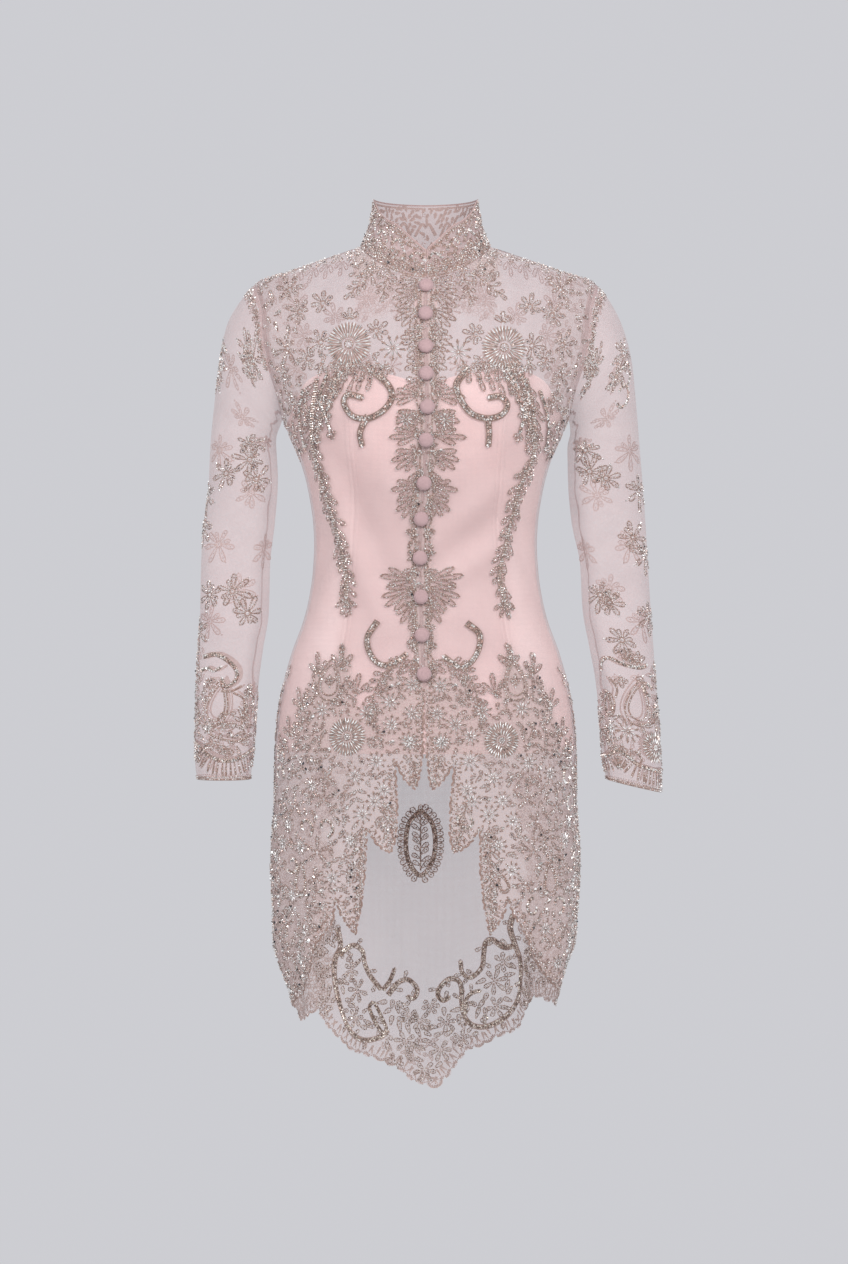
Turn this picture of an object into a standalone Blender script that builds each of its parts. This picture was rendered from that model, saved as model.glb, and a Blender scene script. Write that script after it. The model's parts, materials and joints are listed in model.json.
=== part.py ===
"""Kebaya blouse: a sheer net blouse with raised lace, a fitted split lining and twelve buttons.

Metres, +Z up. +X is the wearer's left, the front faces -Y. The origin is on the neck axis at
the height of the side neck points. Every cloth piece is a thin wall made from a pattern: a flat
outline in (s, z), where s is the distance round the body from the centre line and z the height.
"""

import math
from functools import lru_cache

import bmesh
import bpy
from mathutils import Vector
from mathutils.bvhtree import BVHTree
from mathutils.geometry import delaunay_2d_cdt, intersect_point_line

for startup_object in list(bpy.data.objects):
    bpy.data.objects.remove(startup_object, do_unlink=True)

# ---------------------------------------------------------------- driving dimensions (metres)
NET_WALL = 0.0011
LINING_WALL = 0.0016
PLACKET_WALL = 0.0012
COLLAR_WALL = 0.0016
LAYER_GAP = 0.0004
SEAM_GAP = 0.0003
LATTICE = 0.0272
PLACKET_HALF_WIDTH = 0.0125
SLIT_TOP_Z = -0.515
PLACKET_TOP_Z = -0.058
SHOULDER_TIP_Z = -0.0433
UNDERARM_Z = -0.2024
ARMHOLE_HALF_DEPTH = 0.047
SIDE_HEM_Z = {1: -0.885, -1: -0.893}
SLEEVE_SEGMENTS = 16
RING_SPACING = 0.0265
BUTTON_RADIUS = 0.0085
BUTTON_HEIGHT = 0.0068
BUTTON_SEGMENTS = 10
LACE_LIFT = 0.0008
MEDALLION_LIFT = 0.0014

# Sections of the body. Columns: z, half width, front depth, back depth, squareness.
BODY_SECTIONS = [
    (-1.0300, 0.1410, 0.1230, 0.1340, 2.10),
    (-0.9100, 0.1500, 0.1230, 0.1330, 2.10),
    (-0.8750, 0.1560, 0.1230, 0.1320, 2.10),
    (-0.8420, 0.1660, 0.1230, 0.1315, 2.15),
    (-0.8070, 0.1763, 0.1225, 0.1310, 2.20),
    (-0.7710, 0.1775, 0.1210, 0.1300, 2.20),
    (-0.7170, 0.1800, 0.1180, 0.1290, 2.25),
    (-0.6470, 0.1763, 0.1130, 0.1280, 2.30),
    (-0.5830, 0.1755, 0.1085, 0.1265, 2.30),
    (-0.5460, 0.1725, 0.1065, 0.1240, 2.28),
    (-0.5110, 0.1660, 0.1040, 0.1195, 2.25),
    (-0.4750, 0.1560, 0.1010, 0.1125, 2.22),
    (-0.4364, 0.1420, 0.0985, 0.1030, 2.18),
    (-0.4130, 0.1363, 0.0970, 0.0975, 2.15),
    (-0.3814, 0.1315, 0.0955, 0.0915, 2.12),
    (-0.3487, 0.1297, 0.0960, 0.0895, 2.10),
    (-0.3290, 0.1305, 0.0980, 0.0900, 2.10),
    (-0.2830, 0.1372, 0.1060, 0.0945, 2.10),
    (-0.2480, 0.1470, 0.1130, 0.0990, 2.12),
    (-0.2258, 0.1565, 0.1170, 0.1015, 2.15),
    (-0.2024, 0.1670, 0.1185, 0.1040, 2.20),
    (-0.1750, 0.1770, 0.1165, 0.1055, 2.25),
    (-0.1440, 0.1915, 0.1090, 0.1055, 2.30),
    (-0.1000, 0.2050, 0.0960, 0.1010, 2.25),
    (-0.0600, 0.2040, 0.0820, 0.0915, 2.12),
    (-0.0433, 0.1980, 0.0725, 0.0850, 2.05),
    (-0.0300, 0.1610, 0.0609, 0.0765, 2.02),
    (-0.0200, 0.1330, 0.0507, 0.0680, 2.00),
    (-0.0100, 0.1045, 0.0347, 0.0515, 2.00),
    (-0.0050, 0.0905, 0.0290, 0.0400, 2.00),
    (0.0000, 0.0760, 0.0220, 0.0240, 2.00),
]

# The closing line at the centre front. Columns: z, s.
CLOSING_LINE = [
    (-0.600, 0.0032), (-0.550, 0.0015), (-0.515, -0.0008), (-0.498, -0.0018),
    (-0.454, -0.0040), (-0.411, -0.0052), (-0.367, -0.0062), (-0.323, -0.0050),
    (-0.283, -0.0018), (-0.245, 0.0000), (-0.200, 0.0020), (-0.160, 0.0008),
    (-0.090, 0.0000), (-0.040, 0.0012),
]

# The shaped seam of the lining fronts, the same on both sides. Columns: z, s.
PRINCESS_LINE = [
    (-0.600, 0.112), (-0.520, 0.105), (-0.460, 0.096), (-0.400, 0.089),
    (-0.350, 0.086), (-0.300, 0.087), (-0.240, 0.090), (-0.150, 0.090),
]

# The lining's top edge. Columns: distance from the centre line, z in front, z at the back.
LINING_TOP = [
    (0.000, -0.176, -0.200), (0.020, -0.168, -0.200), (0.050, -0.160, -0.201),
    (0.080, -0.157, -0.202), (0.115, -0.158, -0.204), (0.140, -0.166, -0.206),
    (0.160, -0.184, -0.207), (0.180, -0.201, -0.209), (0.200, -0.208, -0.210),
    (0.260, -0.212, -0.212),
]
LINING_BOTTOM_Z = -0.588
LINING_SIDE_Z = -0.2115

# The seam between neck and collar. Columns: angle from the centre line, z.
NECK_FRONT = [(0, -0.047), (7.5, -0.0463), (15, -0.0445), (30, -0.037), (45, -0.027),
              (60, -0.0165), (75, -0.007), (90, 0.0)]
NECK_BACK = [(0, -0.018), (15, -0.0172), (30, -0.0148), (45, -0.0113), (60, -0.007),
             (75, -0.003), (90, 0.0)]
NECK_HALF_WIDTH = 0.076

# The collar's top edge. Columns: angle from the centre front, half-ellipse x, y, z of the edge.
COLLAR_TOP_HALF_WIDTH = 0.061
COLLAR_TOP_FRONT_DEPTH = 0.060
COLLAR_TOP_BACK_DEPTH = 0.056
COLLAR_TOP = [
    (0, -0.0130), (7.5, -0.0050), (15, 0.0020), (30, 0.0165), (45, 0.0250), (60, 0.0360),
    (75, 0.0510), (90, 0.0560), (105, 0.0572), (120, 0.0576), (135, 0.0580), (150, 0.0583),
    (165, 0.0585), (180, 0.0585),
]

# The front hem from the side seam to the slit, tongue by tongue. Columns: s, z.
FRONT_HEM = {
    1: [
        (0.1835, -0.8695), (0.1643, -0.8538), (0.1487, -0.8403), (0.1346, -0.8249),
        (0.1252, -0.8116), (0.1193, -0.7976), (0.1106, -0.7848), (0.0993, -0.7685),
        (0.0931, -0.7514), (0.0895, -0.7670), (0.0824, -0.7802), (0.0730, -0.7911),
        (0.0661, -0.7573), (0.0618, -0.7181), (0.0615, -0.6722), (0.0523, -0.6866),
        (0.0410, -0.6955), (0.0308, -0.6987), (0.0268, -0.6786), (0.0280, -0.6395),
        (0.0331, -0.5969), (0.0225, -0.6140), (0.0150, -0.6240), (0.0075, -0.6283),
        (0.0044, -0.6190), (0.0024, -0.6040), (0.0006, -0.5850), (0.0002, -0.5450),
    ],
    -1: [
        (-0.1662, -0.8660), (-0.1566, -0.8541), (-0.1434, -0.8421), (-0.1371, -0.8310),
        (-0.1295, -0.8062), (-0.1213, -0.7966), (-0.1128, -0.7860), (-0.1070, -0.7767),
        (-0.1031, -0.7507), (-0.0995, -0.7663), (-0.0911, -0.7805), (-0.0803, -0.7913),
        (-0.0728, -0.7575), (-0.0682, -0.7182), (-0.0663, -0.6723), (-0.0571, -0.6867),
        (-0.0480, -0.6955), (-0.0389, -0.6988), (-0.0322, -0.6786), (-0.0318, -0.6395),
        (-0.0345, -0.5969), (-0.0232, -0.6182), (-0.0119, -0.6283), (-0.0082, -0.6180),
        (-0.0050, -0.6040), (-0.0028, -0.5850), (-0.0022, -0.5450),
    ],
}

# The tail's hem from the side seam to the tip. Columns: s, z.
TAIL_TIP = (0.0141, -1.0093)
BACK_HEM = {
    1: [
        (0.2012, -0.8890), (0.1750, -0.8880), (0.1622, -0.8843), (0.1515, -0.8868),
        (0.1350, -0.9050), (0.1225, -0.9259), (0.1060, -0.9350), (0.0897, -0.9413),
        (0.0760, -0.9505), (0.0629, -0.9561), (0.0540, -0.9570), (0.0433, -0.9698),
        (0.0351, -0.9799), (0.0283, -0.9911), (0.0205, -0.9985),
    ],
    -1: [
        (-0.2133, -0.9050), (-0.1836, -0.9084), (-0.1615, -0.9080), (-0.1442, -0.9031),
        (-0.1343, -0.9210), (-0.1240, -0.9330), (-0.1110, -0.9440), (-0.0970, -0.9563),
        (-0.0748, -0.9643), (-0.0514, -0.9743), (-0.0313, -0.9837), (-0.0165, -0.9975),
        (-0.0010, -1.0030),
    ],
}

# Soft folds. Columns: s and z where a fold starts, s and z where it ends, width, height.
FRONT_FOLDS = [
    (-0.100, -0.268, -0.030, -0.415, 0.016, -0.0026), (-0.118, -0.300, -0.052, -0.430, 0.015, 0.0022),
    (-0.060, -0.250, -0.012, -0.340, 0.013, 0.0016), (0.012, -0.405, 0.088, -0.352, 0.012, 0.0020),
    (0.010, -0.375, 0.092, -0.318, 0.012, -0.0020), (0.010, -0.345, 0.085, -0.288, 0.013, 0.0020),
    (0.105, -0.335, 0.150, -0.395, 0.014, -0.0022), (0.030, -0.430, 0.100, -0.470, 0.015, 0.0016),
    (-0.125, -0.345, -0.165, -0.420, 0.014, -0.0020), (-0.028, -0.430, -0.095, -0.480, 0.015, 0.0015),
    (0.060, -0.062, 0.110, -0.150, 0.016, 0.0018), (-0.065, -0.060, -0.118, -0.155, 0.016, 0.0020),
    (0.150, -0.220, 0.112, -0.300, 0.014, 0.0020), (-0.152, -0.222, -0.118, -0.292, 0.014, 0.0022),
]
BACK_FOLDS = [
    (-0.110, -0.290, -0.020, -0.345, 0.014, -0.0024), (0.115, -0.300, 0.022, -0.352, 0.014, -0.0026),
    (-0.120, -0.325, -0.030, -0.378, 0.014, 0.0022), (0.118, -0.335, 0.028, -0.385, 0.014, 0.0024),
    (-0.090, -0.375, -0.015, -0.425, 0.016, -0.0018), (0.095, -0.385, 0.018, -0.432, 0.016, -0.0020),
    (0.000, -0.050, 0.006, -0.170, 0.016, -0.0016), (0.150, -0.215, 0.110, -0.290, 0.014, 0.0020),
    (-0.148, -0.218, -0.105, -0.285, 0.014, 0.0018), (0.070, -0.080, 0.115, -0.170, 0.016, 0.0016),
    (-0.068, -0.082, -0.112, -0.168, 0.016, 0.0018),
]

# Flutes of the loose skirt. Columns: s, width, height at the hem, z where they start.
FRONT_FLUTES = [
    (-0.205, 0.020, 0.0045, -0.56), (-0.165, 0.016, -0.0040, -0.60), (-0.125, 0.016, 0.0040, -0.60),
    (-0.088, 0.015, -0.0030, -0.62), (-0.050, 0.016, 0.0034, -0.60), (-0.018, 0.014, -0.0022, -0.56),
    (0.024, 0.015, 0.0030, -0.56), (0.058, 0.015, -0.0030, -0.60), (0.098, 0.017, 0.0042, -0.60),
    (0.140, 0.015, -0.0045, -0.62), (0.176, 0.016, 0.0038, -0.60), (0.212, 0.016, -0.0045, -0.60),
]
BACK_FLUTES = [
    (-0.200, 0.018, -0.0050, -0.62), (-0.158, 0.018, 0.0056, -0.60), (-0.112, 0.018, -0.0050, -0.62),
    (-0.066, 0.018, 0.0052, -0.64), (-0.022, 0.016, -0.0040, -0.64), (0.020, 0.017, 0.0046, -0.62),
    (0.064, 0.018, -0.0052, -0.64), (0.108, 0.017, 0.0050, -0.60), (0.152, 0.017, -0.0050, -0.62),
    (0.194, 0.018, 0.0048, -0.62),
]

# Thick round motifs. Columns: s, z, radius.
FRONT_MEDALLIONS = [(-0.0900, -0.1253, 0.026), (0.0915, -0.1298, 0.026),
                    (-0.0905, -0.5688, 0.023), (0.0880, -0.5720, 0.022)]
BACK_MEDALLIONS = [(-0.0880, -0.1300, 0.026), (0.0880, -0.1300, 0.026), (0.0000, -0.5700, 0.026),
                   (-0.1300, -0.6400, 0.022), (0.1300, -0.6400, 0.022)]

# Raised sprays of lace. Each row is the run of a stem as (s, z) pairs.
FRONT_SPRAYS = [
    [(-0.130, -0.165), (-0.126, -0.230), (-0.118, -0.285), (-0.100, -0.345), (-0.092, -0.412)],
    [(0.132, -0.165), (0.126, -0.235), (0.112, -0.290), (0.100, -0.345), (0.096, -0.415)],
    [(-0.150, -0.500), (-0.112, -0.455), (-0.095, -0.450)],
    [(0.150, -0.505), (0.112, -0.462), (0.094, -0.455)],
]
BACK_SPRAYS = [
    [(-0.125, -0.160), (-0.120, -0.235), (-0.108, -0.300), (-0.090, -0.360), (-0.085, -0.420)],
    [(0.125, -0.160), (0.120, -0.235), (0.108, -0.300), (0.090, -0.360), (0.085, -0.420)],
    [(-0.140, -0.540), (-0.105, -0.480), (-0.080, -0.462)],
    [(0.140, -0.540), (0.105, -0.480), (0.080, -0.462)],
]
SPRAY_HALF_WIDTH = 0.012

# Sleeve rings. Columns: outer x, outer z, inner x, inner z, half depth, centre y.
SLEEVE_RINGS = {
    1: [
        (0.1980, -0.0433, 0.1670, -0.2024, 0.0470, 0.0000),
        (0.2123, -0.0600, 0.1678, -0.2045, 0.0480, 0.0000),
        (0.2295, -0.0930, 0.1684, -0.2075, 0.0485, 0.0000),
        (0.2405, -0.1340, 0.1688, -0.2120, 0.0480, 0.0000),
        (0.2458, -0.1849, 0.1690, -0.2185, 0.0470, 0.0000),
        (0.2500, -0.2365, 0.1672, -0.2340, 0.0450, -0.0010),
        (0.2538, -0.2845, 0.1680, -0.2760, 0.0430, -0.0023),
        (0.2571, -0.3313, 0.1721, -0.3230, 0.0415, -0.0035),
        (0.2597, -0.3805, 0.1819, -0.3723, 0.0400, -0.0064),
        (0.2627, -0.4307, 0.1840, -0.4202, 0.0388, -0.0105),
        (0.2656, -0.4773, 0.1907, -0.4656, 0.0372, -0.0142),
        (0.2683, -0.5237, 0.1980, -0.5110, 0.0355, -0.0184),
        (0.2722, -0.5758, 0.2024, -0.5596, 0.0338, -0.0236),
        (0.2731, -0.6105, 0.2048, -0.5966, 0.0330, -0.0270),
        (0.2731, -0.6358, 0.2094, -0.6208, 0.0328, -0.0296),
    ],
    -1: [
        (0.1980, -0.0433, 0.1670, -0.2024, 0.0470, 0.0000),
        (0.2140, -0.0609, 0.1680, -0.2042, 0.0480, 0.0000),
        (0.2326, -0.0948, 0.1690, -0.2070, 0.0485, 0.0000),
        (0.2401, -0.1346, 0.1705, -0.2110, 0.0480, 0.0000),
        (0.2467, -0.1861, 0.1730, -0.2170, 0.0470, 0.0000),
        (0.2513, -0.2365, 0.1760, -0.2316, 0.0450, -0.0010),
        (0.2534, -0.2845, 0.1740, -0.2728, 0.0430, -0.0023),
        (0.2596, -0.3313, 0.1772, -0.3208, 0.0415, -0.0035),
        (0.2619, -0.3805, 0.1828, -0.3723, 0.0400, -0.0064),
        (0.2625, -0.4307, 0.1839, -0.4260, 0.0388, -0.0105),
        (0.2653, -0.4773, 0.1895, -0.4715, 0.0372, -0.0142),
        (0.2668, -0.5237, 0.1947, -0.5179, 0.0355, -0.0184),
        (0.2673, -0.5701, 0.1978, -0.5666, 0.0335, -0.0230),
        (0.2670, -0.6012, 0.2007, -0.6012, 0.0325, -0.0261),
        (0.2645, -0.6208, 0.2029, -0.6208, 0.0320, -0.0281),
    ],
}

# Long soft folds of a sleeve. Columns: angle from the outer side, start, end, width, height.
SLEEVE_FOLDS = [
    (150, 0.16, 0.95, 16, -0.0032), (186, 0.24, 0.80, 16, 0.0026), (118, 0.30, 0.90, 17, 0.0024),
    (222, 0.20, 0.92, 17, -0.0030), (262, 0.34, 0.86, 20, 0.0018), (78, 0.10, 0.40, 20, -0.0018),
]

# Buttons down the closing line. Column: z.
BUTTON_Z = [-0.0569, -0.0900, -0.1284, -0.1600, -0.1978, -0.2348,
            -0.2827, -0.3228, -0.3668, -0.4109, -0.4539, -0.4980]

NET_COLOUR = (0.72, 0.50, 0.48, 1.0)
LACE_COLOUR = (0.55, 0.42, 0.38, 1.0)
LINING_COLOUR = (0.80, 0.50, 0.49, 1.0)
BUTTON_COLOUR = (0.66, 0.40, 0.42, 1.0)


# ---------------------------------------------------------------- curves
def monotone(rows, column, x):
    """Smooth value of a table column at x, where the first column rises."""
    count = len(rows)
    if x <= rows[0][0]:
        return rows[0][column]
    if x >= rows[-1][0]:
        return rows[-1][column]
    i = max(k for k in range(count - 1) if rows[k][0] <= x)

    def slope(k):
        return (rows[k + 1][column] - rows[k][column]) / (rows[k + 1][0] - rows[k][0])

    def tangent(k):
        if k == 0:
            return slope(0)
        if k == count - 1:
            return slope(count - 2)
        a, b = slope(k - 1), slope(k)
        if a * b <= 0:
            return 0.0
        h0, h1 = rows[k][0] - rows[k - 1][0], rows[k + 1][0] - rows[k][0]
        w0, w1 = 2 * h1 + h0, h1 + 2 * h0
        return (w0 + w1) / (w0 / a + w1 / b)

    h = rows[i + 1][0] - rows[i][0]
    t = (x - rows[i][0]) / h
    return ((2 * t ** 3 - 3 * t ** 2 + 1) * rows[i][column]
            + (t ** 3 - 2 * t ** 2 + t) * h * tangent(i)
            + (3 * t ** 2 - 2 * t ** 3) * rows[i + 1][column]
            + (t ** 3 - t ** 2) * h * tangent(i + 1))


def eased(x, low, high):
    """0 below low, 1 above high, soft between."""
    t = min(1.0, max(0.0, (x - low) / (high - low)))
    return t * t * (3 - 2 * t)


def closing_s(z):
    return monotone(CLOSING_LINE, 1, z)


def princess_s(z):
    return monotone(PRINCESS_LINE, 1, z)


def lining_top_z(s, back):
    return monotone(LINING_TOP, 2 if back else 1, abs(s))


# ---------------------------------------------------------------- the body's surface
QUARTER_STEPS = 72


@lru_cache(maxsize=None)
def quarter(z, back):
    """A quarter section from the centre line to the side: x, y and length at each step."""
    half_width = monotone(BODY_SECTIONS, 1, z)
    depth = monotone(BODY_SECTIONS, 3 if back else 2, z)
    power = 2.0 / monotone(BODY_SECTIONS, 4, z)
    xs, ys, run = [], [], []
    total = 0.0
    for k in range(QUARTER_STEPS + 1):
        angle = math.pi / 2 * k / QUARTER_STEPS
        x = half_width * math.sin(angle) ** power
        y = depth * max(0.0, math.cos(angle)) ** power
        if k:
            total += math.hypot(x - xs[-1], y - ys[-1])
        xs.append(x)
        ys.append(y)
        run.append(total)
    return xs, ys, run


def side_s(z, back):
    return quarter(round(z, 6), back)[2][-1]


def place(values, keys, key):
    """Linear value at key, where keys rise."""
    low, high = 0, len(keys) - 1
    while high - low > 1:
        mid = (low + high) // 2
        if keys[mid] <= key:
            low = mid
        else:
            high = mid
    t = (key - keys[low]) / max(1e-12, keys[high] - keys[low])
    return values[low] + (values[high] - values[low]) * min(1.0, max(0.0, t))


def s_at_x(x, z, back):
    xs, _, run = quarter(round(z, 6), back)
    return math.copysign(place(run, xs, min(abs(x), xs[-1])), x)


def fold_height(s, z, back):
    """Height of the soft folds and flutes at a point of the cloth."""
    height = 0.0
    point = Vector((s, z))
    for s0, z0, s1, z1, width, top in (BACK_FOLDS if back else FRONT_FOLDS):
        near, t = intersect_point_line(point, Vector((s0, z0)), Vector((s1, z1)))
        along = min(1.0, max(0.0, t))
        foot = Vector((s0, z0)).lerp(Vector((s1, z1)), along)
        away = (point - foot).length
        height += top * math.exp(-(away / width) ** 2) * (0.55 + 0.45 * math.sin(math.pi * along))
    fade = eased(side_s(z, back) - abs(s), 0.0, 0.03)
    for s0, width, top, start in (BACK_FLUTES if back else FRONT_FLUTES):
        grow = eased(-z, -start, 0.88)
        height += top * grow * fade * math.exp(-((s - s0) / width) ** 2)
    side_flute = -0.0035 * eased(-z, 0.74, 0.90)
    height += side_flute * math.exp(-((side_s(z, back) - abs(s)) / 0.02) ** 2)
    return height


@lru_cache(maxsize=None)
def body_point(s, z, back):
    """The outer face of the net at (s, z), folds included."""
    xs, ys, run = quarter(round(z, 6), back)
    reach = min(abs(s), run[-1])
    x, y = place(xs, run, reach), place(ys, run, reach)
    step = 0.002
    a, b = max(0.0, reach - step), min(run[-1], reach + step)
    tangent_x = place(xs, run, b) - place(xs, run, a)
    tangent_y = place(ys, run, b) - place(ys, run, a)
    length = math.hypot(tangent_x, tangent_y)
    height = fold_height(s, z, back)
    x += -tangent_y / length * height
    y += tangent_x / length * height
    return Vector((math.copysign(x, s) if s else 0.0, y if back else -y, z))


def body_normal(s, z, back):
    """Outward normal of the cloth at (s, z)."""
    step = 0.0015
    top = min(-1e-6, z + step)
    limit = side_s(z, back)
    s0, s1 = max(-limit, s - step), min(limit, s + step)
    across = body_point(s1, z, back) - body_point(s0, z, back)
    up = body_point(s, top, back) - body_point(s, z - step, back)
    normal = across.cross(up)
    if back:
        normal = -normal
    if abs(s) > limit - 1e-5:
        normal.y = 0.0
    return normal.normalized()


def lace_lift(s, z, back):
    """How far the thick lace stands out of the net at a point."""
    lift = 0.0
    for cs, cz, radius in (BACK_MEDALLIONS if back else FRONT_MEDALLIONS):
        away = math.hypot(s - cs, z - cz)
        lift = max(lift, MEDALLION_LIFT * (1 - eased(away, 0.45 * radius, 1.05 * radius)))
    point = Vector((s, z))
    for stem in (BACK_SPRAYS if back else FRONT_SPRAYS):
        for a, b in zip(stem[:-1], stem[1:]):
            start, end = Vector(a), Vector(b)
            _, t = intersect_point_line(point, start, end)
            away = (point - start.lerp(end, min(1.0, max(0.0, t)))).length
            lift = max(lift, LACE_LIFT * (1 - eased(away, 0.003, SPRAY_HALF_WIDTH)))
    middle = abs(s) if back else abs(s - closing_s(z))
    if not back:
        spread = 0.030 + 0.014 * math.sin((z + 0.05) * 46.0) ** 2 + 0.05 * eased(-z, 0.40, 0.56)
        lift = max(lift, LACE_LIFT * (1 - eased(middle, spread - 0.012, spread + 0.006)))
    hem_start = 0.60 if back else 0.545
    lift = max(lift, 0.85 * LACE_LIFT * eased(-z, hem_start, hem_start + 0.05))
    lift = max(lift, LACE_LIFT * eased(z, -0.030, -0.012))
    return lift


# ---------------------------------------------------------------- pattern space
def stretch(z):
    """Height in the flat pattern, where the shoulders are opened out."""
    return z if z < -0.06 else -0.06 + (z + 0.06) * 1.8


def unstretch(t):
    return t if t < -0.06 else -0.06 + (t + 0.06) / 1.8


def run_of(values):
    return list(zip(values[:-1], values[1:]))


def inside(point, loop):
    """Whether a point lies in a closed outline."""
    hit = False
    for (x0, y0), (x1, y1) in zip(loop, loop[1:] + loop[:1]):
        if (y0 > point[1]) != (y1 > point[1]):
            if point[0] < (x1 - x0) * (point[1] - y0) / (y1 - y0) + x0:
                hit = not hit
    return hit


def broken(marks):
    """Values from the first mark to the last that hold every mark, about a lattice step apart."""
    out = [marks[0]]
    for a, b in run_of(marks):
        steps = max(1, round(abs(b - a) / LATTICE))
        out.extend(a + (b - a) * k / steps for k in range(1, steps))
        out.append(b)
    return out


def distance_to(point, start, end):
    p, a, b = Vector(point), Vector(start), Vector(end)
    _, t = intersect_point_line(p, a, b)
    return (p - a.lerp(b, min(1.0, max(0.0, t)))).length


def thinned(loop, spacing):
    """The same line with extra points, so that no step is longer than spacing."""
    out = [loop[0]]
    for a, b in run_of(loop):
        steps = max(1, math.ceil(math.hypot(b[0] - a[0], b[1] - a[1]) / spacing - 0.15))
        for k in range(1, steps + 1):
            out.append((a[0] + (b[0] - a[0]) * k / steps, a[1] + (b[1] - a[1]) * k / steps))
    return out


def lay_pattern(outline, lines, extra_points):
    """Triangles of a flat pattern with seam lines and a lattice of points inside."""
    loop = [(s, stretch(z)) for s, z in outline]
    seams = [[(s, stretch(z)) for s, z in line] for line in lines]
    points = list(loop)
    edges = [(k, (k + 1) % len(loop)) for k in range(len(loop))]
    for seam in seams:
        first = len(points)
        points.extend(seam)
        edges.extend((first + k, first + k + 1) for k in range(len(seam) - 1))
    segments = [(points[a], points[b]) for a, b in edges]
    fixed = [(s, stretch(z)) for s, z in extra_points]
    fixed = [p for p in fixed if min(distance_to(p, a, b) for a, b in segments) > 0.006]
    points.extend(fixed)
    low_s, high_s = min(p[0] for p in loop), max(p[0] for p in loop)
    low_t, high_t = min(p[1] for p in loop), max(p[1] for p in loop)
    row_step = LATTICE * math.sqrt(3) / 2
    row, t = 0, low_t + 0.4 * row_step
    while t < high_t:
        columns = int((high_s - low_s) / LATTICE) + 3
        for k in range(columns):
            s = (k - columns / 2 + 0.5 * (row % 2)) * LATTICE
            p = (s, t)
            if not inside(p, loop):
                continue
            if min(distance_to(p, a, b) for a, b in segments) < 0.45 * LATTICE:
                continue
            if any(math.hypot(s - q[0], t - q[1]) < 0.5 * LATTICE for q in fixed):
                continue
            points.append(p)
        row += 1
        t += row_step
    flat, _, faces, _, _, _ = delaunay_2d_cdt([Vector(p) for p in points], edges, [], 0, 1e-6)
    kept = []
    for face in faces:
        a, b, c = (flat[i] for i in face)
        middle = (a + b + c) / 3
        area = abs((b - a).cross(c - a)) / 2
        if area > 1e-9 and inside((middle.x, middle.y), loop):
            kept.append(tuple(face) if (b - a).cross(c - a) > 0 else tuple(reversed(face)))
    return [(p.x, unstretch(p.y)) for p in flat], kept


# ---------------------------------------------------------------- walls
def add_material(obj, colour, name, roughness=0.6):
    material = bpy.data.materials.get(name)
    if material is None:
        material = bpy.data.materials.new(name)
        material.use_nodes = True
        shader = material.node_tree.nodes["Principled BSDF"]
        shader.inputs["Base Color"].default_value = colour
        shader.inputs["Roughness"].default_value = roughness
    obj.data.materials.append(material)


def make_object(name, points, faces, colour, material_name):
    mesh = bpy.data.meshes.new(name)
    mesh.from_pydata([tuple(p) for p in points], [], faces)
    mesh.update()
    obj = bpy.data.objects.new(name, mesh)
    bpy.context.scene.collection.objects.link(obj)
    bm = bmesh.new()
    bm.from_mesh(mesh)
    bmesh.ops.recalc_face_normals(bm, faces=bm.faces)
    bm.to_mesh(mesh)
    bm.free()
    add_material(obj, colour, material_name)
    return obj


def wall_from_pattern(name, flat, faces, back, depth, wall, colour, material_name,
                      seam_lines=(), lifted=False):
    """A closed cloth wall over some triangles of a pattern.

    depth is how far its outer face lies inside the net's outer face. seam_lines are functions of
    z that name the inner seams, along which the wall is drawn back so that pieces stay apart.
    """
    used = sorted({i for face in faces for i in face})
    index = {v: k for k, v in enumerate(used)}
    middle = {}
    for face in faces:
        mean = sum(flat[i][0] for i in face) / 3
        for i in face:
            middle.setdefault(i, []).append(mean)
    outer, inner = [], []
    sign = 1.0 if back else -1.0
    for i in used:
        s, z = flat[i]
        for line in seam_lines:
            if abs(s - line(z)) < 6e-4:
                mean = sum(middle[i]) / len(middle[i])
                s = line(z) + math.copysign(SEAM_GAP / 2 + 5e-5, mean - line(z))
                break
        normal = body_normal(s, z, back)
        base = body_point(s, z, back)
        top = base + normal * (lace_lift(s, z, back) if lifted else 0.0) - normal * depth
        low = base - normal * (depth + wall)
        for p in (top, low):
            if sign * p.y < SEAM_GAP / 2 + 2e-5:
                p.y = sign * (SEAM_GAP / 2 + 2e-5)
        outer.append(top)
        inner.append(low)
    n = len(used)
    solid = []
    edge_use = {}
    for face in faces:
        a, b, c = (index[i] for i in face)
        solid.append((a, b, c))
        solid.append((n + c, n + b, n + a))
        for e in ((a, b), (b, c), (c, a)):
            edge_use.setdefault(tuple(sorted(e)), []).append(e)
    for uses in edge_use.values():
        if len(uses) == 1:
            a, b = uses[0]
            solid.append((b, a, n + a, n + b))
    return make_object(name, outer + inner, solid, colour, material_name)


def grid_normals(grid, closed):
    """Outward normals of a grid of points, rows by columns."""
    rows, columns = len(grid), len(grid[0])
    out = []
    for r in range(rows):
        line = []
        for c in range(columns):
            if closed:
                before, after = grid[r][(c - 1) % columns], grid[r][(c + 1) % columns]
            else:
                before, after = grid[r][max(0, c - 1)], grid[r][min(columns - 1, c + 1)]
            down, up = grid[min(rows - 1, r + 1)][c], grid[max(0, r - 1)][c]
            line.append((after - before).cross(down - up).normalized())
        out.append(line)
    return out


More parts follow.
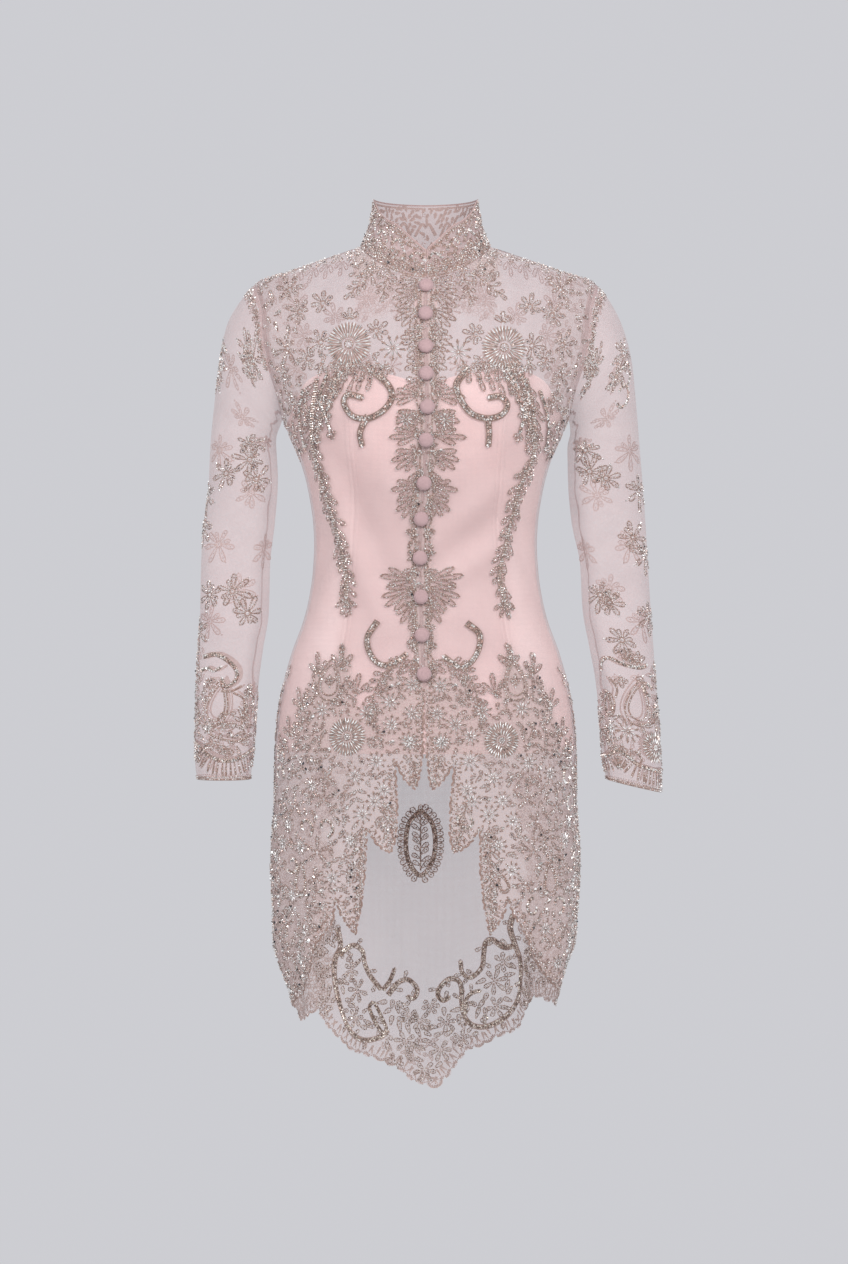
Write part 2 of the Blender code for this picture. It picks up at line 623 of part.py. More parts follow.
def wall_from_grid(name, grid, wall, closed, flip, colour, material_name, lifts=None):
    """A closed wall along a grid of points, which are its outer face."""
    rows, columns = len(grid), len(grid[0])
    normals = grid_normals(grid, closed)
    turn = -1.0 if flip else 1.0
    outer, inner = [], []
    for r in range(rows):
        for c in range(columns):
            lift = lifts[r][c] if lifts else 0.0
            outer.append(grid[r][c] + normals[r][c] * turn * lift)
            inner.append(grid[r][c] - normals[r][c] * turn * wall)
    n = rows * columns
    span = columns if closed else columns - 1
    faces = []
    for r in range(rows - 1):
        for c in range(span):
            a, b = r * columns + c, r * columns + (c + 1) % columns
            d, e = a + columns, r * columns + columns + (c + 1) % columns
            faces.extend([(a, b, e), (a, e, d), (n + e, n + b, n + a), (n + d, n + e, n + a)])
    for c in range(span):
        a, b = c, (c + 1) % columns
        faces.append((b, a, n + a, n + b))
        a, b = (rows - 1) * columns + c, (rows - 1) * columns + (c + 1) % columns
        faces.append((a, b, n + b, n + a))
    if not closed:
        for r in range(rows - 1):
            a, d = r * columns, (r + 1) * columns
            faces.append((a, d, n + d, n + a))
            a, d = a + columns - 1, d + columns - 1
            faces.append((d, a, n + a, n + d))
    return make_object(name, outer + inner, faces, colour, material_name)


# ---------------------------------------------------------------- outlines of the body pieces
def neck_front(side):
    """The neck edge from the centre front to the shoulder."""
    out = []
    for angle, z in NECK_FRONT:
        if angle == 0:
            out.append((closing_s(z), z))
            continue
        if angle == 90:
            out.append((side * side_s(z, False), z))
            continue
        x = side * NECK_HALF_WIDTH * math.sin(math.radians(angle))
        out.append((s_at_x(x, z, False), z))
    return out


def neck_back(side):
    out = []
    for angle, z in NECK_BACK:
        if angle == 90:
            out.append((side * side_s(z, True), z))
            continue
        x = side * NECK_HALF_WIDTH * math.sin(math.radians(angle))
        out.append((s_at_x(x, z, True) if angle else 0.0, z))
    return out


def shoulder_run(side, back):
    """The shoulder seam below the neck point, down to the shoulder tip."""
    count = 5
    return [(side * side_s(z, back), z) for z in
            (SHOULDER_TIP_Z * k / count for k in range(1, count + 1))]


def armhole_angle_point(side, k):
    """The armhole at ring position k: 0 is the shoulder tip, half way round is the underarm."""
    angle = 2 * math.pi * k / SLEEVE_SEGMENTS
    mid = (SHOULDER_TIP_Z + UNDERARM_Z) / 2
    z = mid + (SHOULDER_TIP_Z - UNDERARM_Z) / 2 * math.cos(angle)
    back = k > SLEEVE_SEGMENTS / 2
    y = ARMHOLE_HALF_DEPTH * abs(math.sin(angle))
    xs, ys, run = quarter(round(z, 6), back)
    s = place(run[::-1], ys[::-1], y)
    return side * s, z, back


def armhole_run(side, back):
    """The armhole edge below the shoulder tip, down to the underarm."""
    half = SLEEVE_SEGMENTS // 2
    keys = range(1, half) if not back else range(SLEEVE_SEGMENTS - 1, half, -1)
    out = [armhole_angle_point(side, k)[:2] for k in keys]
    out.append((side * side_s(UNDERARM_Z, back), UNDERARM_Z))
    return out


def side_run(side, back):
    """The side seam below the underarm, down to the hem."""
    heights = [UNDERARM_Z, LINING_SIDE_Z, LINING_BOTTOM_Z, SIDE_HEM_Z[side]]
    return [(side * side_s(z, back), z) for z in broken(heights)[1:]]


def half_outline(side, back):
    """One half from the centre of the neck, round by the shoulder and side to the hem's middle."""
    if back:
        return neck_back(side) + shoulder_run(side, True) + armhole_run(side, True) + \
            side_run(side, True) + BACK_HEM[side]
    return neck_front(side) + shoulder_run(side, False) + armhole_run(side, False) + \
        side_run(side, False) + FRONT_HEM[side]


def sampled_line(function, heights):
    """A seam line that has a point at each of the given heights, and others between."""
    return [(function(z), z) for z in broken(heights)]


def meeting_z(function, back):
    """Height at which a seam line meets the lining's top edge."""
    z = -0.17
    for _ in range(20):
        z = lining_top_z(function(z), back)
    return z


def lining_edge(side, back, bottom, functions):
    """Half of the lining's top or bottom edge, with a point where each seam line meets it."""
    marks = []
    for function in functions:
        z = LINING_BOTTOM_Z if bottom else meeting_z(function, back)
        marks.append((function(z), z))
    end_z = LINING_BOTTOM_Z if bottom else LINING_SIDE_Z
    end = (side * side_s(end_z, back), end_z)
    out = []
    for a, b in run_of(marks + [end]):
        out.append(a)
        for s in broken([a[0], b[0]])[1:-1]:
            z = LINING_BOTTOM_Z if bottom else lining_top_z(s, back)
            if not bottom and b is end:
                share = (s - a[0]) / (b[0] - a[0])
                z += (end_z - lining_top_z(end[0], back)) * share ** 2
            out.append((s, z))
    return out + [end]


def medallion_points(rows):
    out = []
    for s, z, radius in rows:
        out.append((s, z))
        for share, count in ((0.55, 6), (1.05, 9)):
            for k in range(count):
                angle = 2 * math.pi * (k + 0.3) / count
                out.append((s + share * radius * math.cos(angle), z + share * radius * math.sin(angle)))
    return out


def spray_points(rows):
    out = []
    for stem in rows:
        out.extend(thinned(stem, 0.030))
    return out


def slit_edge(half, apex, low):
    """The slit's edge on one side, from its apex down to a height."""
    rows = [apex]
    for s, z in reversed(half):
        if z < low:
            share = (rows[-1][1] - low) / (rows[-1][1] - z)
            rows.append((rows[-1][0] + (s - rows[-1][0]) * share, low))
            return rows
        rows.append((s, z))
    return rows


def faces_between(flat, loop):
    """Triangles that close a gap in a pattern, on the points already round its edge."""
    index = [min(range(len(flat)), key=lambda k: math.hypot(flat[k][0] - s, flat[k][1] - z)) for s, z in loop]
    corners = [Vector(flat[k]) for k in index]
    edges = [(k, (k + 1) % len(loop)) for k in range(len(loop))]
    _, _, faces, _, _, _ = delaunay_2d_cdt(corners, edges, [], 1, 1e-7)
    out = []
    for face in faces:
        a, b, c = (index[k] for k in face)
        turn = (Vector(flat[b]) - Vector(flat[a])).cross(Vector(flat[c]) - Vector(flat[a]))
        out.append((a, b, c) if turn > 0 else (c, b, a))
    return out


def build_front():
    right = half_outline(-1, False)
    left = half_outline(1, False)
    apex = (closing_s(SLIT_TOP_Z), SLIT_TOP_Z)
    outline = left + [apex] + right[:0:-1]
    edge_low = LINING_BOTTOM_Z

    def placket_left(z):
        return closing_s(z) + PLACKET_HALF_WIDTH

    def placket_right(z):
        return closing_s(z) - PLACKET_HALF_WIDTH

    def princess_right(z):
        return -princess_s(z)

    neck_z = NECK_FRONT[0][1]
    lines = [sampled_line(closing_s, [neck_z, PLACKET_TOP_Z, SLIT_TOP_Z])]
    for side, edge, shaped in ((1, placket_left, princess_s), (-1, placket_right, princess_right)):
        lines.append(sampled_line(edge, [PLACKET_TOP_Z, meeting_z(edge, False), SLIT_TOP_Z, edge_low]))
        lines.append(sampled_line(shaped, [meeting_z(shaped, False), edge_low]))
        lines.append(lining_edge(side, False, False, (edge, shaped)))
        lines.append(lining_edge(side, False, True, (edge, shaped)))
    lines.append([(placket_right(PLACKET_TOP_Z), PLACKET_TOP_Z), (closing_s(PLACKET_TOP_Z), PLACKET_TOP_Z),
                  (placket_left(PLACKET_TOP_Z), PLACKET_TOP_Z)])
    slit_left = slit_edge(left, apex, edge_low)
    slit_right = slit_edge(right, apex, edge_low)
    lines.append([(placket_left(edge_low), edge_low), slit_left[-1]])
    lines.append([slit_right[-1], (placket_right(edge_low), edge_low)])
    extra = medallion_points(FRONT_MEDALLIONS) + spray_points(FRONT_SPRAYS)
    flat, faces = lay_pattern(outline, lines, extra)
    slit_faces = faces_between(flat, slit_left + slit_right[:0:-1])

    def centre(face):
        return (sum(flat[i][0] for i in face) / 3, sum(flat[i][1] for i in face) / 3)

    def in_lining(face):
        s, z = centre(face)
        return edge_low < z < lining_top_z(s, False)

    panels = {"front_left": 1, "front_right": -1}
    for name, side in panels.items():
        part = [f for f in faces if side * (centre(f)[0] - closing_s(centre(f)[1])) > 0]
        wall_from_pattern(name, flat, part, False, 0.0, NET_WALL, NET_COLOUR, "net_lace",
                          (closing_s,), lifted=True)
    depth = NET_WALL + LAYER_GAP
    strip = slit_faces + [f for f in faces
                          if abs(centre(f)[0] - closing_s(centre(f)[1])) < PLACKET_HALF_WIDTH
                          and edge_low < centre(f)[1] < PLACKET_TOP_Z]
    wall_from_pattern("placket", flat, strip, False, depth, PLACKET_WALL, LINING_COLOUR, "lining_satin",
                      (placket_left, placket_right))
    for name, side in (("left", 1), ("right", -1)):
        edge = placket_left if side > 0 else placket_right
        shaped = princess_s if side > 0 else princess_right
        cover = [f for f in faces if in_lining(f) and side * (centre(f)[0] - edge(centre(f)[1])) > 0]
        middle = [f for f in cover if side * (centre(f)[0] - shaped(centre(f)[1])) < 0]
        outer = [f for f in cover if side * (centre(f)[0] - shaped(centre(f)[1])) >= 0]
        wall_from_pattern("lining_front_" + name, flat, middle, False, depth, LINING_WALL,
                          LINING_COLOUR, "lining_satin", (edge, shaped))
        wall_from_pattern("lining_side_" + name, flat, outer, False, depth, LINING_WALL,
                          LINING_COLOUR, "lining_satin", (shaped,))


def build_back():
    outline = half_outline(1, True) + [TAIL_TIP] + half_outline(-1, True)[:0:-1]

    def middle(z):
        return 0.0

    lines = []
    for side in (1, -1):
        lines.append(lining_edge(side, True, False, (middle,)))
        lines.append(lining_edge(side, True, True, (middle,)))
    extra = medallion_points(BACK_MEDALLIONS) + spray_points(BACK_SPRAYS)
    flat, faces = lay_pattern(outline, lines, extra)
    wall_from_pattern("back", flat, faces, True, 0.0, NET_WALL, NET_COLOUR, "net_lace", lifted=True)
    cover = []
    for face in faces:
        s = sum(flat[i][0] for i in face) / 3
        z = sum(flat[i][1] for i in face) / 3
        if LINING_BOTTOM_Z < z < lining_top_z(s, True):
            cover.append(face)
    wall_from_pattern("lining_back", flat, cover, True, NET_WALL + LAYER_GAP, LINING_WALL,
                      LINING_COLOUR, "lining_satin")


# ---------------------------------------------------------------- sleeves
def sleeve_fold(angle, along):
    height = 0.0
    for centre, start, end, width, top in SLEEVE_FOLDS:
        away = (math.degrees(angle) - centre - 14 * math.sin(5.0 * along + centre) + 180) % 360 - 180
        fade = eased(along, start, start + 0.12) * (1 - eased(along, end - 0.12, end))
        height += top * fade * math.exp(-(away / width) ** 2)
    return height


def build_sleeve(side):
    rows = SLEEVE_RINGS[side]
    lengths = [0.0]
    for a, b in run_of(rows):
        lengths.append(lengths[-1] + math.hypot(b[0] - a[0], b[1] - a[1]))
    table = [(lengths[k],) + rows[k] for k in range(len(rows))]
    count = round(lengths[-1] / RING_SPACING)
    seam_points = []
    for k in range(SLEEVE_SEGMENTS):
        s, z, back = armhole_angle_point(side, k)
        seam_points.append(body_point(s, z, back))
    grid, lifts = [], []
    for r in range(count + 1):
        run = lengths[-1] * r / count
        along = r / count
        ox, oz, ix, iz, depth, cy = (monotone(table, c, run) for c in range(1, 7))
        centre = Vector(((ox + ix) / 2, cy, (oz + iz) / 2))
        across = Vector(((ox - ix) / 2, 0.0, (oz - iz) / 2))
        line, lift_line = [], []
        for k in range(SLEEVE_SEGMENTS):
            angle = 2 * math.pi * k / SLEEVE_SEGMENTS
            square = 0.94
            ca, sa = math.cos(angle), math.sin(angle)
            shape = (abs(ca) ** 2.2 + abs(sa) ** 2.2) ** (-1 / 2.2) * square + (1 - square)
            radial = across * ca + Vector((0.0, -depth * sa, 0.0))
            height = sleeve_fold(angle, along)
            p = centre + radial * shape + radial.normalized() * height
            p = Vector((side * p.x, p.y, p.z))
            hold = 1 - eased(along, 0.0, 0.16)
            if hold > 0:
                first = table[0]
                base_centre = Vector(((first[1] + first[3]) / 2, 0.0, (first[2] + first[4]) / 2))
                base_across = Vector(((first[1] - first[3]) / 2, 0.0, (first[2] - first[4]) / 2))
                q = base_centre + (base_across * ca + Vector((0.0, -first[5] * sa, 0.0))) * shape
                q = Vector((side * q.x, q.y, q.z))
                p += (seam_points[k] - q) * hold
            line.append(p)
            cuff = 0.9 * LACE_LIFT * eased(along, 0.78, 0.84)
            trim = LACE_LIFT * (1 - eased(along, 0.02, 0.10)) * eased(ca, 0.2, 0.8)
            lift_line.append(max(cuff, trim))
        grid.append(line)
        lifts.append(lift_line)
    away = Vector((side * 0.981, 0.0, -0.191))
    grid[0] = [p + away * (SEAM_GAP + 0.0001) for p in grid[0]]
    name = "sleeve_left" if side > 0 else "sleeve_right"
    wall_from_grid(name, grid, NET_WALL, True, side < 0, NET_COLOUR, "net_lace", lifts)


# ---------------------------------------------------------------- collar
def build_collar():
    rows = 3
    columns = []
    front = {1: neck_front(1), -1: neck_front(-1)}
    back = {1: neck_back(1), -1: neck_back(-1)}
    for side in (1, -1):
        half = []
        for k, (angle, _) in enumerate(NECK_FRONT):
            s, z = front[side][k]
            if angle == 0:
                s += side * (SEAM_GAP / 2 + 5e-5)
            half.append((angle, body_point(s, z, False), body_normal(s, z, False)))
        for k in range(len(NECK_BACK) - 2, -1, -1):
            s, z = back[side][k]
            half.append((180 - NECK_BACK[k][0], body_point(s, z, True), body_normal(s, z, True)))
        line = []
        for angle, base, normal in half:
            rad = math.radians(angle)
            depth = COLLAR_TOP_FRONT_DEPTH if angle < 90 else COLLAR_TOP_BACK_DEPTH
            top_x = COLLAR_TOP_HALF_WIDTH * math.sin(rad)
            if angle == 0:
                top_x = SEAM_GAP / 2 + 1e-4
            top = Vector((side * top_x, -depth * math.cos(rad), monotone(COLLAR_TOP, 1, angle)))
            if angle == 0:
                top.x = closing_s(-0.04) + side * (SEAM_GAP / 2 + 1e-4)
            start = base + (top - base).normalized() * (SEAM_GAP + 0.0002)
            run = []
            for r in range(rows, -1, -1):
                v = r / rows
                p = start.lerp(top, v)
                inward = Vector((-p.x, -p.y, 0.0)).normalized()
                p += inward * 0.0035 * math.sin(math.pi * v)
                if angle == 0:
                    p.x = start.x + (top.x - start.x) * v
                run.append(p)
            line.append(run)
        columns.append(line)
    ring = columns[1] + columns[0][-2::-1]
    grid = [[column[r] for column in ring] for r in range(rows + 1)]
    lifts = [[0.0004 if 0 < r < rows else 0.0 for _ in ring] for r in range(rows + 1)]
    wall_from_grid("collar", grid, COLLAR_WALL, False, False, LACE_COLOUR, "dense_lace", lifts)


# ---------------------------------------------------------------- buttons
BUTTON_PROFILE = [(0.30, 0.985), (0.62, 0.86), (0.88, 0.60), (1.0, 0.32), (0.93, 0.10), (0.62, 0.0)]


def cloth_tree(names):
    """One search tree of the named cloth pieces."""
    points, faces = [], []
    for name in names:
        mesh = bpy.data.objects[name].data
        first = len(points)
        points.extend(v.co.copy() for v in mesh.vertices)
        faces.extend([first + i for i in polygon.vertices] for polygon in mesh.polygons)
    return BVHTree.FromPolygons(points, faces)


def build_button(number, z, cloth):
    """A cloth-covered dome, seated just above the highest cloth under it."""
    s = closing_s(z)
    normal = body_normal(s, z, False)
    across = Vector((1.0, 0.0, 0.0))
    up = normal.cross(across).normalized()
    across = up.cross(normal).normalized()
    base = body_point(s, z, False)
    seat = -1.0
    for share, height in [(0.0, 0.0)] + BUTTON_PROFILE[:2:-1]:
        for k in range(24):
            angle = 2 * math.pi * k / 24
            spot = base + (across * math.cos(angle) + up * math.sin(angle)) * BUTTON_RADIUS * share
            hit = cloth.ray_cast(spot + normal * 0.02, -normal)
            if hit[0] is not None:
                seat = max(seat, 0.02 - hit[3] - BUTTON_HEIGHT * height)
    base += normal * (seat + SEAM_GAP + 5e-5)
    points = [base + normal * BUTTON_HEIGHT]
    for radius, height in BUTTON_PROFILE:
        for k in range(BUTTON_SEGMENTS):
            angle = 2 * math.pi * k / BUTTON_SEGMENTS
            points.append(base + normal * (BUTTON_HEIGHT * height)
                          + (across * math.cos(angle) + up * math.sin(angle)) * BUTTON_RADIUS * radius)
    points.append(base.copy())
    n, last = BUTTON_SEGMENTS, len(points) - 1
    faces = [(0, 1 + k, 1 + (k + 1) % n) for k in range(n)]
    for r in range(len(BUTTON_PROFILE) - 1):
        for k in range(n):
            a, b = 1 + r * n + k, 1 + r * n + (k + 1) % n
            faces.append((a, a + n, b + n, b))
    low = 1 + (len(BUTTON_PROFILE) - 1) * n
    faces.extend((last, low + (k + 1) % n, low + k) for k in range(n))
    make_object("button_%02d" % number, points, faces, BUTTON_COLOUR, "covered_button")


build_front()
build_back()
build_sleeve(1)
build_sleeve(-1)
build_collar()
fronts = cloth_tree(["front_left", "front_right", "collar"])
for button_number, button_z in enumerate(BUTTON_Z, start=1):
    build_button(button_number, button_z, fronts)
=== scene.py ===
"""Visual model of a kebaya blouse: sheer net, beaded lace, a split satin lining and covered buttons.

Metres, +Z up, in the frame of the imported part. Every cloth piece is laid out flat in a pattern of
two lengths and then bent onto one of three surfaces: the body, a sleeve or the collar. The lace is
drawn in the same patterns, from a small set of motifs: cords, petals, fans, vines, wheels and beads.
"""

import json
import logging
import math
from dataclasses import dataclass
from enum import Enum
from typing import Callable, Iterable, Sequence

import bpy
import numpy as np
from mathutils import Vector
from mathutils.geometry import delaunay_2d_cdt
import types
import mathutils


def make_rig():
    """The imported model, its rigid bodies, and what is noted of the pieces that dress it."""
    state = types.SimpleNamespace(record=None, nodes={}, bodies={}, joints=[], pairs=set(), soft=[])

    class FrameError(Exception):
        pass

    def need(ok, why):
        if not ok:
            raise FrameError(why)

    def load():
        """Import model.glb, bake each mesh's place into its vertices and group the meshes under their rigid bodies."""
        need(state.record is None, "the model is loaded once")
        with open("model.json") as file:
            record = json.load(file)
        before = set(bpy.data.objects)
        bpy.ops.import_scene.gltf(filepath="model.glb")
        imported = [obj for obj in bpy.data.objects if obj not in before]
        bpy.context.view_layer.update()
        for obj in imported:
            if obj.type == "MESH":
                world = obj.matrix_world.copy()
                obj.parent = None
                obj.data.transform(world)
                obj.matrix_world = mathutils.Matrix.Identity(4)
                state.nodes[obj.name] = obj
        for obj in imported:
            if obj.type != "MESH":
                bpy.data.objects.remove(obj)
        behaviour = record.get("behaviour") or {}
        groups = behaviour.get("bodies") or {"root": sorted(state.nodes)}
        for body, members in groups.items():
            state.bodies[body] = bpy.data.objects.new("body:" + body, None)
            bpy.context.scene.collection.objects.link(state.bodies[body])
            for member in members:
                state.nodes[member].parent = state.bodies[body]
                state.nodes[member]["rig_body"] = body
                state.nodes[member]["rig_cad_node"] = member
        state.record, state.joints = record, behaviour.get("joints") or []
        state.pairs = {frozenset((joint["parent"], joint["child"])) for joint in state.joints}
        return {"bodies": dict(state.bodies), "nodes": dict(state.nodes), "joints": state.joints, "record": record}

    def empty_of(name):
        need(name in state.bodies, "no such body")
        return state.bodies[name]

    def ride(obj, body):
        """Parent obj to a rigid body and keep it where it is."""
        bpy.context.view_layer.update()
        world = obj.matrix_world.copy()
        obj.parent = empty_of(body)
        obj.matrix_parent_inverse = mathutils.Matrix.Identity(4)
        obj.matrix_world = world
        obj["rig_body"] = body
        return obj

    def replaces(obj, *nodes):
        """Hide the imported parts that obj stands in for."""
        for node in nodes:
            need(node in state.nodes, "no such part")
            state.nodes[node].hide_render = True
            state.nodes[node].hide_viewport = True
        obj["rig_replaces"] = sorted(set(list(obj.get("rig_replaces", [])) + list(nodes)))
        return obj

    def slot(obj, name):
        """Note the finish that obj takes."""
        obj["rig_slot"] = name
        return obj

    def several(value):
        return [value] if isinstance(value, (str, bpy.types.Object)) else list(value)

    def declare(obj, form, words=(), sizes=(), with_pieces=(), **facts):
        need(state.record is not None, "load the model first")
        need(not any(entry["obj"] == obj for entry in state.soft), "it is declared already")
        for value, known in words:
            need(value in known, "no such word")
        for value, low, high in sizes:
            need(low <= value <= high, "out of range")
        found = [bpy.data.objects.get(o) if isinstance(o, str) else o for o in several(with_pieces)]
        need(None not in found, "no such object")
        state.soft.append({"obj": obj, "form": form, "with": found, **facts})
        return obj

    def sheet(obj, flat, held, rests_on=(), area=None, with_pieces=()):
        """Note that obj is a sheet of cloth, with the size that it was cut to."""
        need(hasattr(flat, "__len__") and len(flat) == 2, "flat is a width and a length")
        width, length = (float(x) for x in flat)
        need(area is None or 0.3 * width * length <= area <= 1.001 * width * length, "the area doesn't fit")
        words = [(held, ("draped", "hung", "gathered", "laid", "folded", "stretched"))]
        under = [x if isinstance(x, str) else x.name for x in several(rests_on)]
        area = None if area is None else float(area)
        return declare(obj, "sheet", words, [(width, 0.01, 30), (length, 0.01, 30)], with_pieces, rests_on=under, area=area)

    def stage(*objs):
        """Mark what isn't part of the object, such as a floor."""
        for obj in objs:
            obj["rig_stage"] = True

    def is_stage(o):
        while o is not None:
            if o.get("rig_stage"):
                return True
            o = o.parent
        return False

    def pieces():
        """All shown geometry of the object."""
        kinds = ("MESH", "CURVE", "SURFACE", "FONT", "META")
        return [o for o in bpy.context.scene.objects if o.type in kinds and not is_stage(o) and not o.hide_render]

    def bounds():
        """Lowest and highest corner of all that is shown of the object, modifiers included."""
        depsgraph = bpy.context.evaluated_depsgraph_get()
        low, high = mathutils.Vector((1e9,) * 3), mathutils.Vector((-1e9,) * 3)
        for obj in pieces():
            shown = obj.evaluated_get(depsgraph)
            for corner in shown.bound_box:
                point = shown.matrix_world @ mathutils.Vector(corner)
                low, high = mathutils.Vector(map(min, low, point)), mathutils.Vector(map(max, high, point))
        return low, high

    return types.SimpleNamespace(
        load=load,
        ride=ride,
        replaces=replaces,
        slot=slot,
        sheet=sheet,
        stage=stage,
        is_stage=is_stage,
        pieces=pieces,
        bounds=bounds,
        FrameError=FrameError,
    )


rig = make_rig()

LOG = logging.getLogger("kebaya")
Array = np.ndarray
Line = Sequence[tuple[float, float]]
Mask = Callable[[Array, Array], Array]
Box = tuple[float, float, float, float]
Place = tuple[float, float, float]
Colour = tuple[float, float, float]

# Heights between which the body's surface is defined, and how many steps its sections are cut into.
LOWEST_Z = -1.05
HIGHEST_Z = -1e-6
QUARTER_STEPS = 180
SHARE_STEPS = 120
# Above this height a flat pattern is stretched, since the shoulders slope.
SHOULDER_Z = -0.06
SHOULDER_STRETCH = 1.8
# The least and the greatest share of its box that a flat cut may fill.
LEAST_FILL = 0.301
GREATEST_FILL = 0.999

# ================================================================ measured tables
# Sections of the body. Columns: z, half width, front depth, back depth, squareness.
BODY_SECTIONS = [
    (-1.0300, 0.1410, 0.1230, 0.1340, 2.10), (-0.9100, 0.1500, 0.1230, 0.1330, 2.10),
    (-0.8750, 0.1560, 0.1230, 0.1320, 2.10), (-0.8420, 0.1660, 0.1230, 0.1315, 2.15),
    (-0.8070, 0.1763, 0.1225, 0.1310, 2.20), (-0.7710, 0.1775, 0.1210, 0.1300, 2.20),
    (-0.7170, 0.1800, 0.1180, 0.1290, 2.25), (-0.6470, 0.1763, 0.1130, 0.1280, 2.30),
    (-0.5830, 0.1755, 0.1085, 0.1265, 2.30), (-0.5460, 0.1725, 0.1065, 0.1240, 2.28),
    (-0.5110, 0.1660, 0.1040, 0.1195, 2.25), (-0.4750, 0.1560, 0.1010, 0.1125, 2.22),
    (-0.4364, 0.1420, 0.0985, 0.1030, 2.18), (-0.4130, 0.1363, 0.0970, 0.0975, 2.15),
    (-0.3814, 0.1315, 0.0955, 0.0915, 2.12), (-0.3487, 0.1297, 0.0960, 0.0895, 2.10),
    (-0.3290, 0.1305, 0.0980, 0.0900, 2.10), (-0.2830, 0.1372, 0.1060, 0.0945, 2.10),
    (-0.2480, 0.1470, 0.1130, 0.0990, 2.12), (-0.2258, 0.1565, 0.1170, 0.1015, 2.15),
    (-0.2024, 0.1670, 0.1185, 0.1040, 2.20), (-0.1750, 0.1770, 0.1165, 0.1055, 2.25),
    (-0.1440, 0.1915, 0.1090, 0.1055, 2.30), (-0.1000, 0.2050, 0.0960, 0.1010, 2.25),
    (-0.0600, 0.2040, 0.0820, 0.0915, 2.12), (-0.0433, 0.1980, 0.0725, 0.0850, 2.05),
    (-0.0300, 0.1610, 0.0609, 0.0765, 2.02), (-0.0200, 0.1330, 0.0507, 0.0680, 2.00),
    (-0.0100, 0.1045, 0.0347, 0.0515, 2.00), (-0.0050, 0.0905, 0.0290, 0.0400, 2.00),
    (0.0000, 0.0760, 0.0220, 0.0240, 2.00),
]

# The closing line at the centre front. Columns: z, s.
CLOSING_LINE = [
    (-0.600, 0.0032), (-0.550, 0.0015), (-0.515, -0.0008), (-0.498, -0.0018),
    (-0.454, -0.0040), (-0.411, -0.0052), (-0.367, -0.0062), (-0.323, -0.0050),
    (-0.283, -0.0018), (-0.245, 0.0000), (-0.200, 0.0020), (-0.160, 0.0008),
    (-0.090, 0.0000), (-0.040, 0.0012),
]

# The shaped seam of the lining fronts. Columns: z, s.
PRINCESS_LINE = [
    (-0.600, 0.112), (-0.520, 0.105), (-0.460, 0.096), (-0.400, 0.089),
    (-0.350, 0.086), (-0.300, 0.087), (-0.240, 0.090), (-0.150, 0.090),
]

# The lining's top edge. Columns: distance from the centre line, z in front, z at the back.
LINING_TOP = [
    (0.000, -0.176, -0.200), (0.020, -0.168, -0.200), (0.050, -0.160, -0.201),
    (0.080, -0.157, -0.202), (0.115, -0.158, -0.204), (0.140, -0.166, -0.206),
    (0.160, -0.184, -0.207), (0.180, -0.201, -0.209), (0.200, -0.208, -0.210),
    (0.260, -0.212, -0.212),
]

# The seam between neck and collar. Columns: angle from the centre line, z.
NECK_FRONT = [(0, -0.047), (7.5, -0.0463), (15, -0.0445), (30, -0.037), (45, -0.027),
              (60, -0.0165), (75, -0.007), (90, 0.0)]
NECK_BACK = [(0, -0.018), (15, -0.0172), (30, -0.0148), (45, -0.0113), (60, -0.007),
             (75, -0.003), (90, 0.0)]

# The collar's top edge. Columns: angle from the centre front, z.
COLLAR_TOP = [
    (0, -0.0130), (7.5, -0.0050), (15, 0.0020), (30, 0.0165), (45, 0.0250), (60, 0.0360),
    (75, 0.0510), (90, 0.0560), (105, 0.0572), (120, 0.0576), (135, 0.0580), (150, 0.0583),
    (165, 0.0585), (180, 0.0585),
]

# The front hem from the side seam to the slit, tongue by tongue. Columns: s, z.
FRONT_HEM = {
    1: [
        (0.1835, -0.8695), (0.1643, -0.8538), (0.1487, -0.8403), (0.1346, -0.8249),
        (0.1252, -0.8116), (0.1193, -0.7976), (0.1106, -0.7848), (0.0993, -0.7685),
        (0.0931, -0.7514), (0.0895, -0.7670), (0.0824, -0.7802), (0.0730, -0.7911),
        (0.0661, -0.7573), (0.0618, -0.7181), (0.0615, -0.6722), (0.0523, -0.6866),
        (0.0410, -0.6955), (0.0308, -0.6987), (0.0268, -0.6786), (0.0280, -0.6395),
        (0.0331, -0.5969), (0.0225, -0.6140), (0.0150, -0.6240), (0.0075, -0.6283),
        (0.0044, -0.6190), (0.0024, -0.6040), (0.0006, -0.5850), (0.0002, -0.5450),
    ],
    -1: [
        (-0.1662, -0.8660), (-0.1566, -0.8541), (-0.1434, -0.8421), (-0.1371, -0.8310),
        (-0.1295, -0.8062), (-0.1213, -0.7966), (-0.1128, -0.7860), (-0.1070, -0.7767),
        (-0.1031, -0.7507), (-0.0995, -0.7663), (-0.0911, -0.7805), (-0.0803, -0.7913),
        (-0.0728, -0.7575), (-0.0682, -0.7182), (-0.0663, -0.6723), (-0.0571, -0.6867),
        (-0.0480, -0.6955), (-0.0389, -0.6988), (-0.0322, -0.6786), (-0.0318, -0.6395),
        (-0.0345, -0.5969), (-0.0232, -0.6182), (-0.0119, -0.6283), (-0.0082, -0.6180),
        (-0.0050, -0.6040), (-0.0028, -0.5850), (-0.0022, -0.5450),
    ],
}

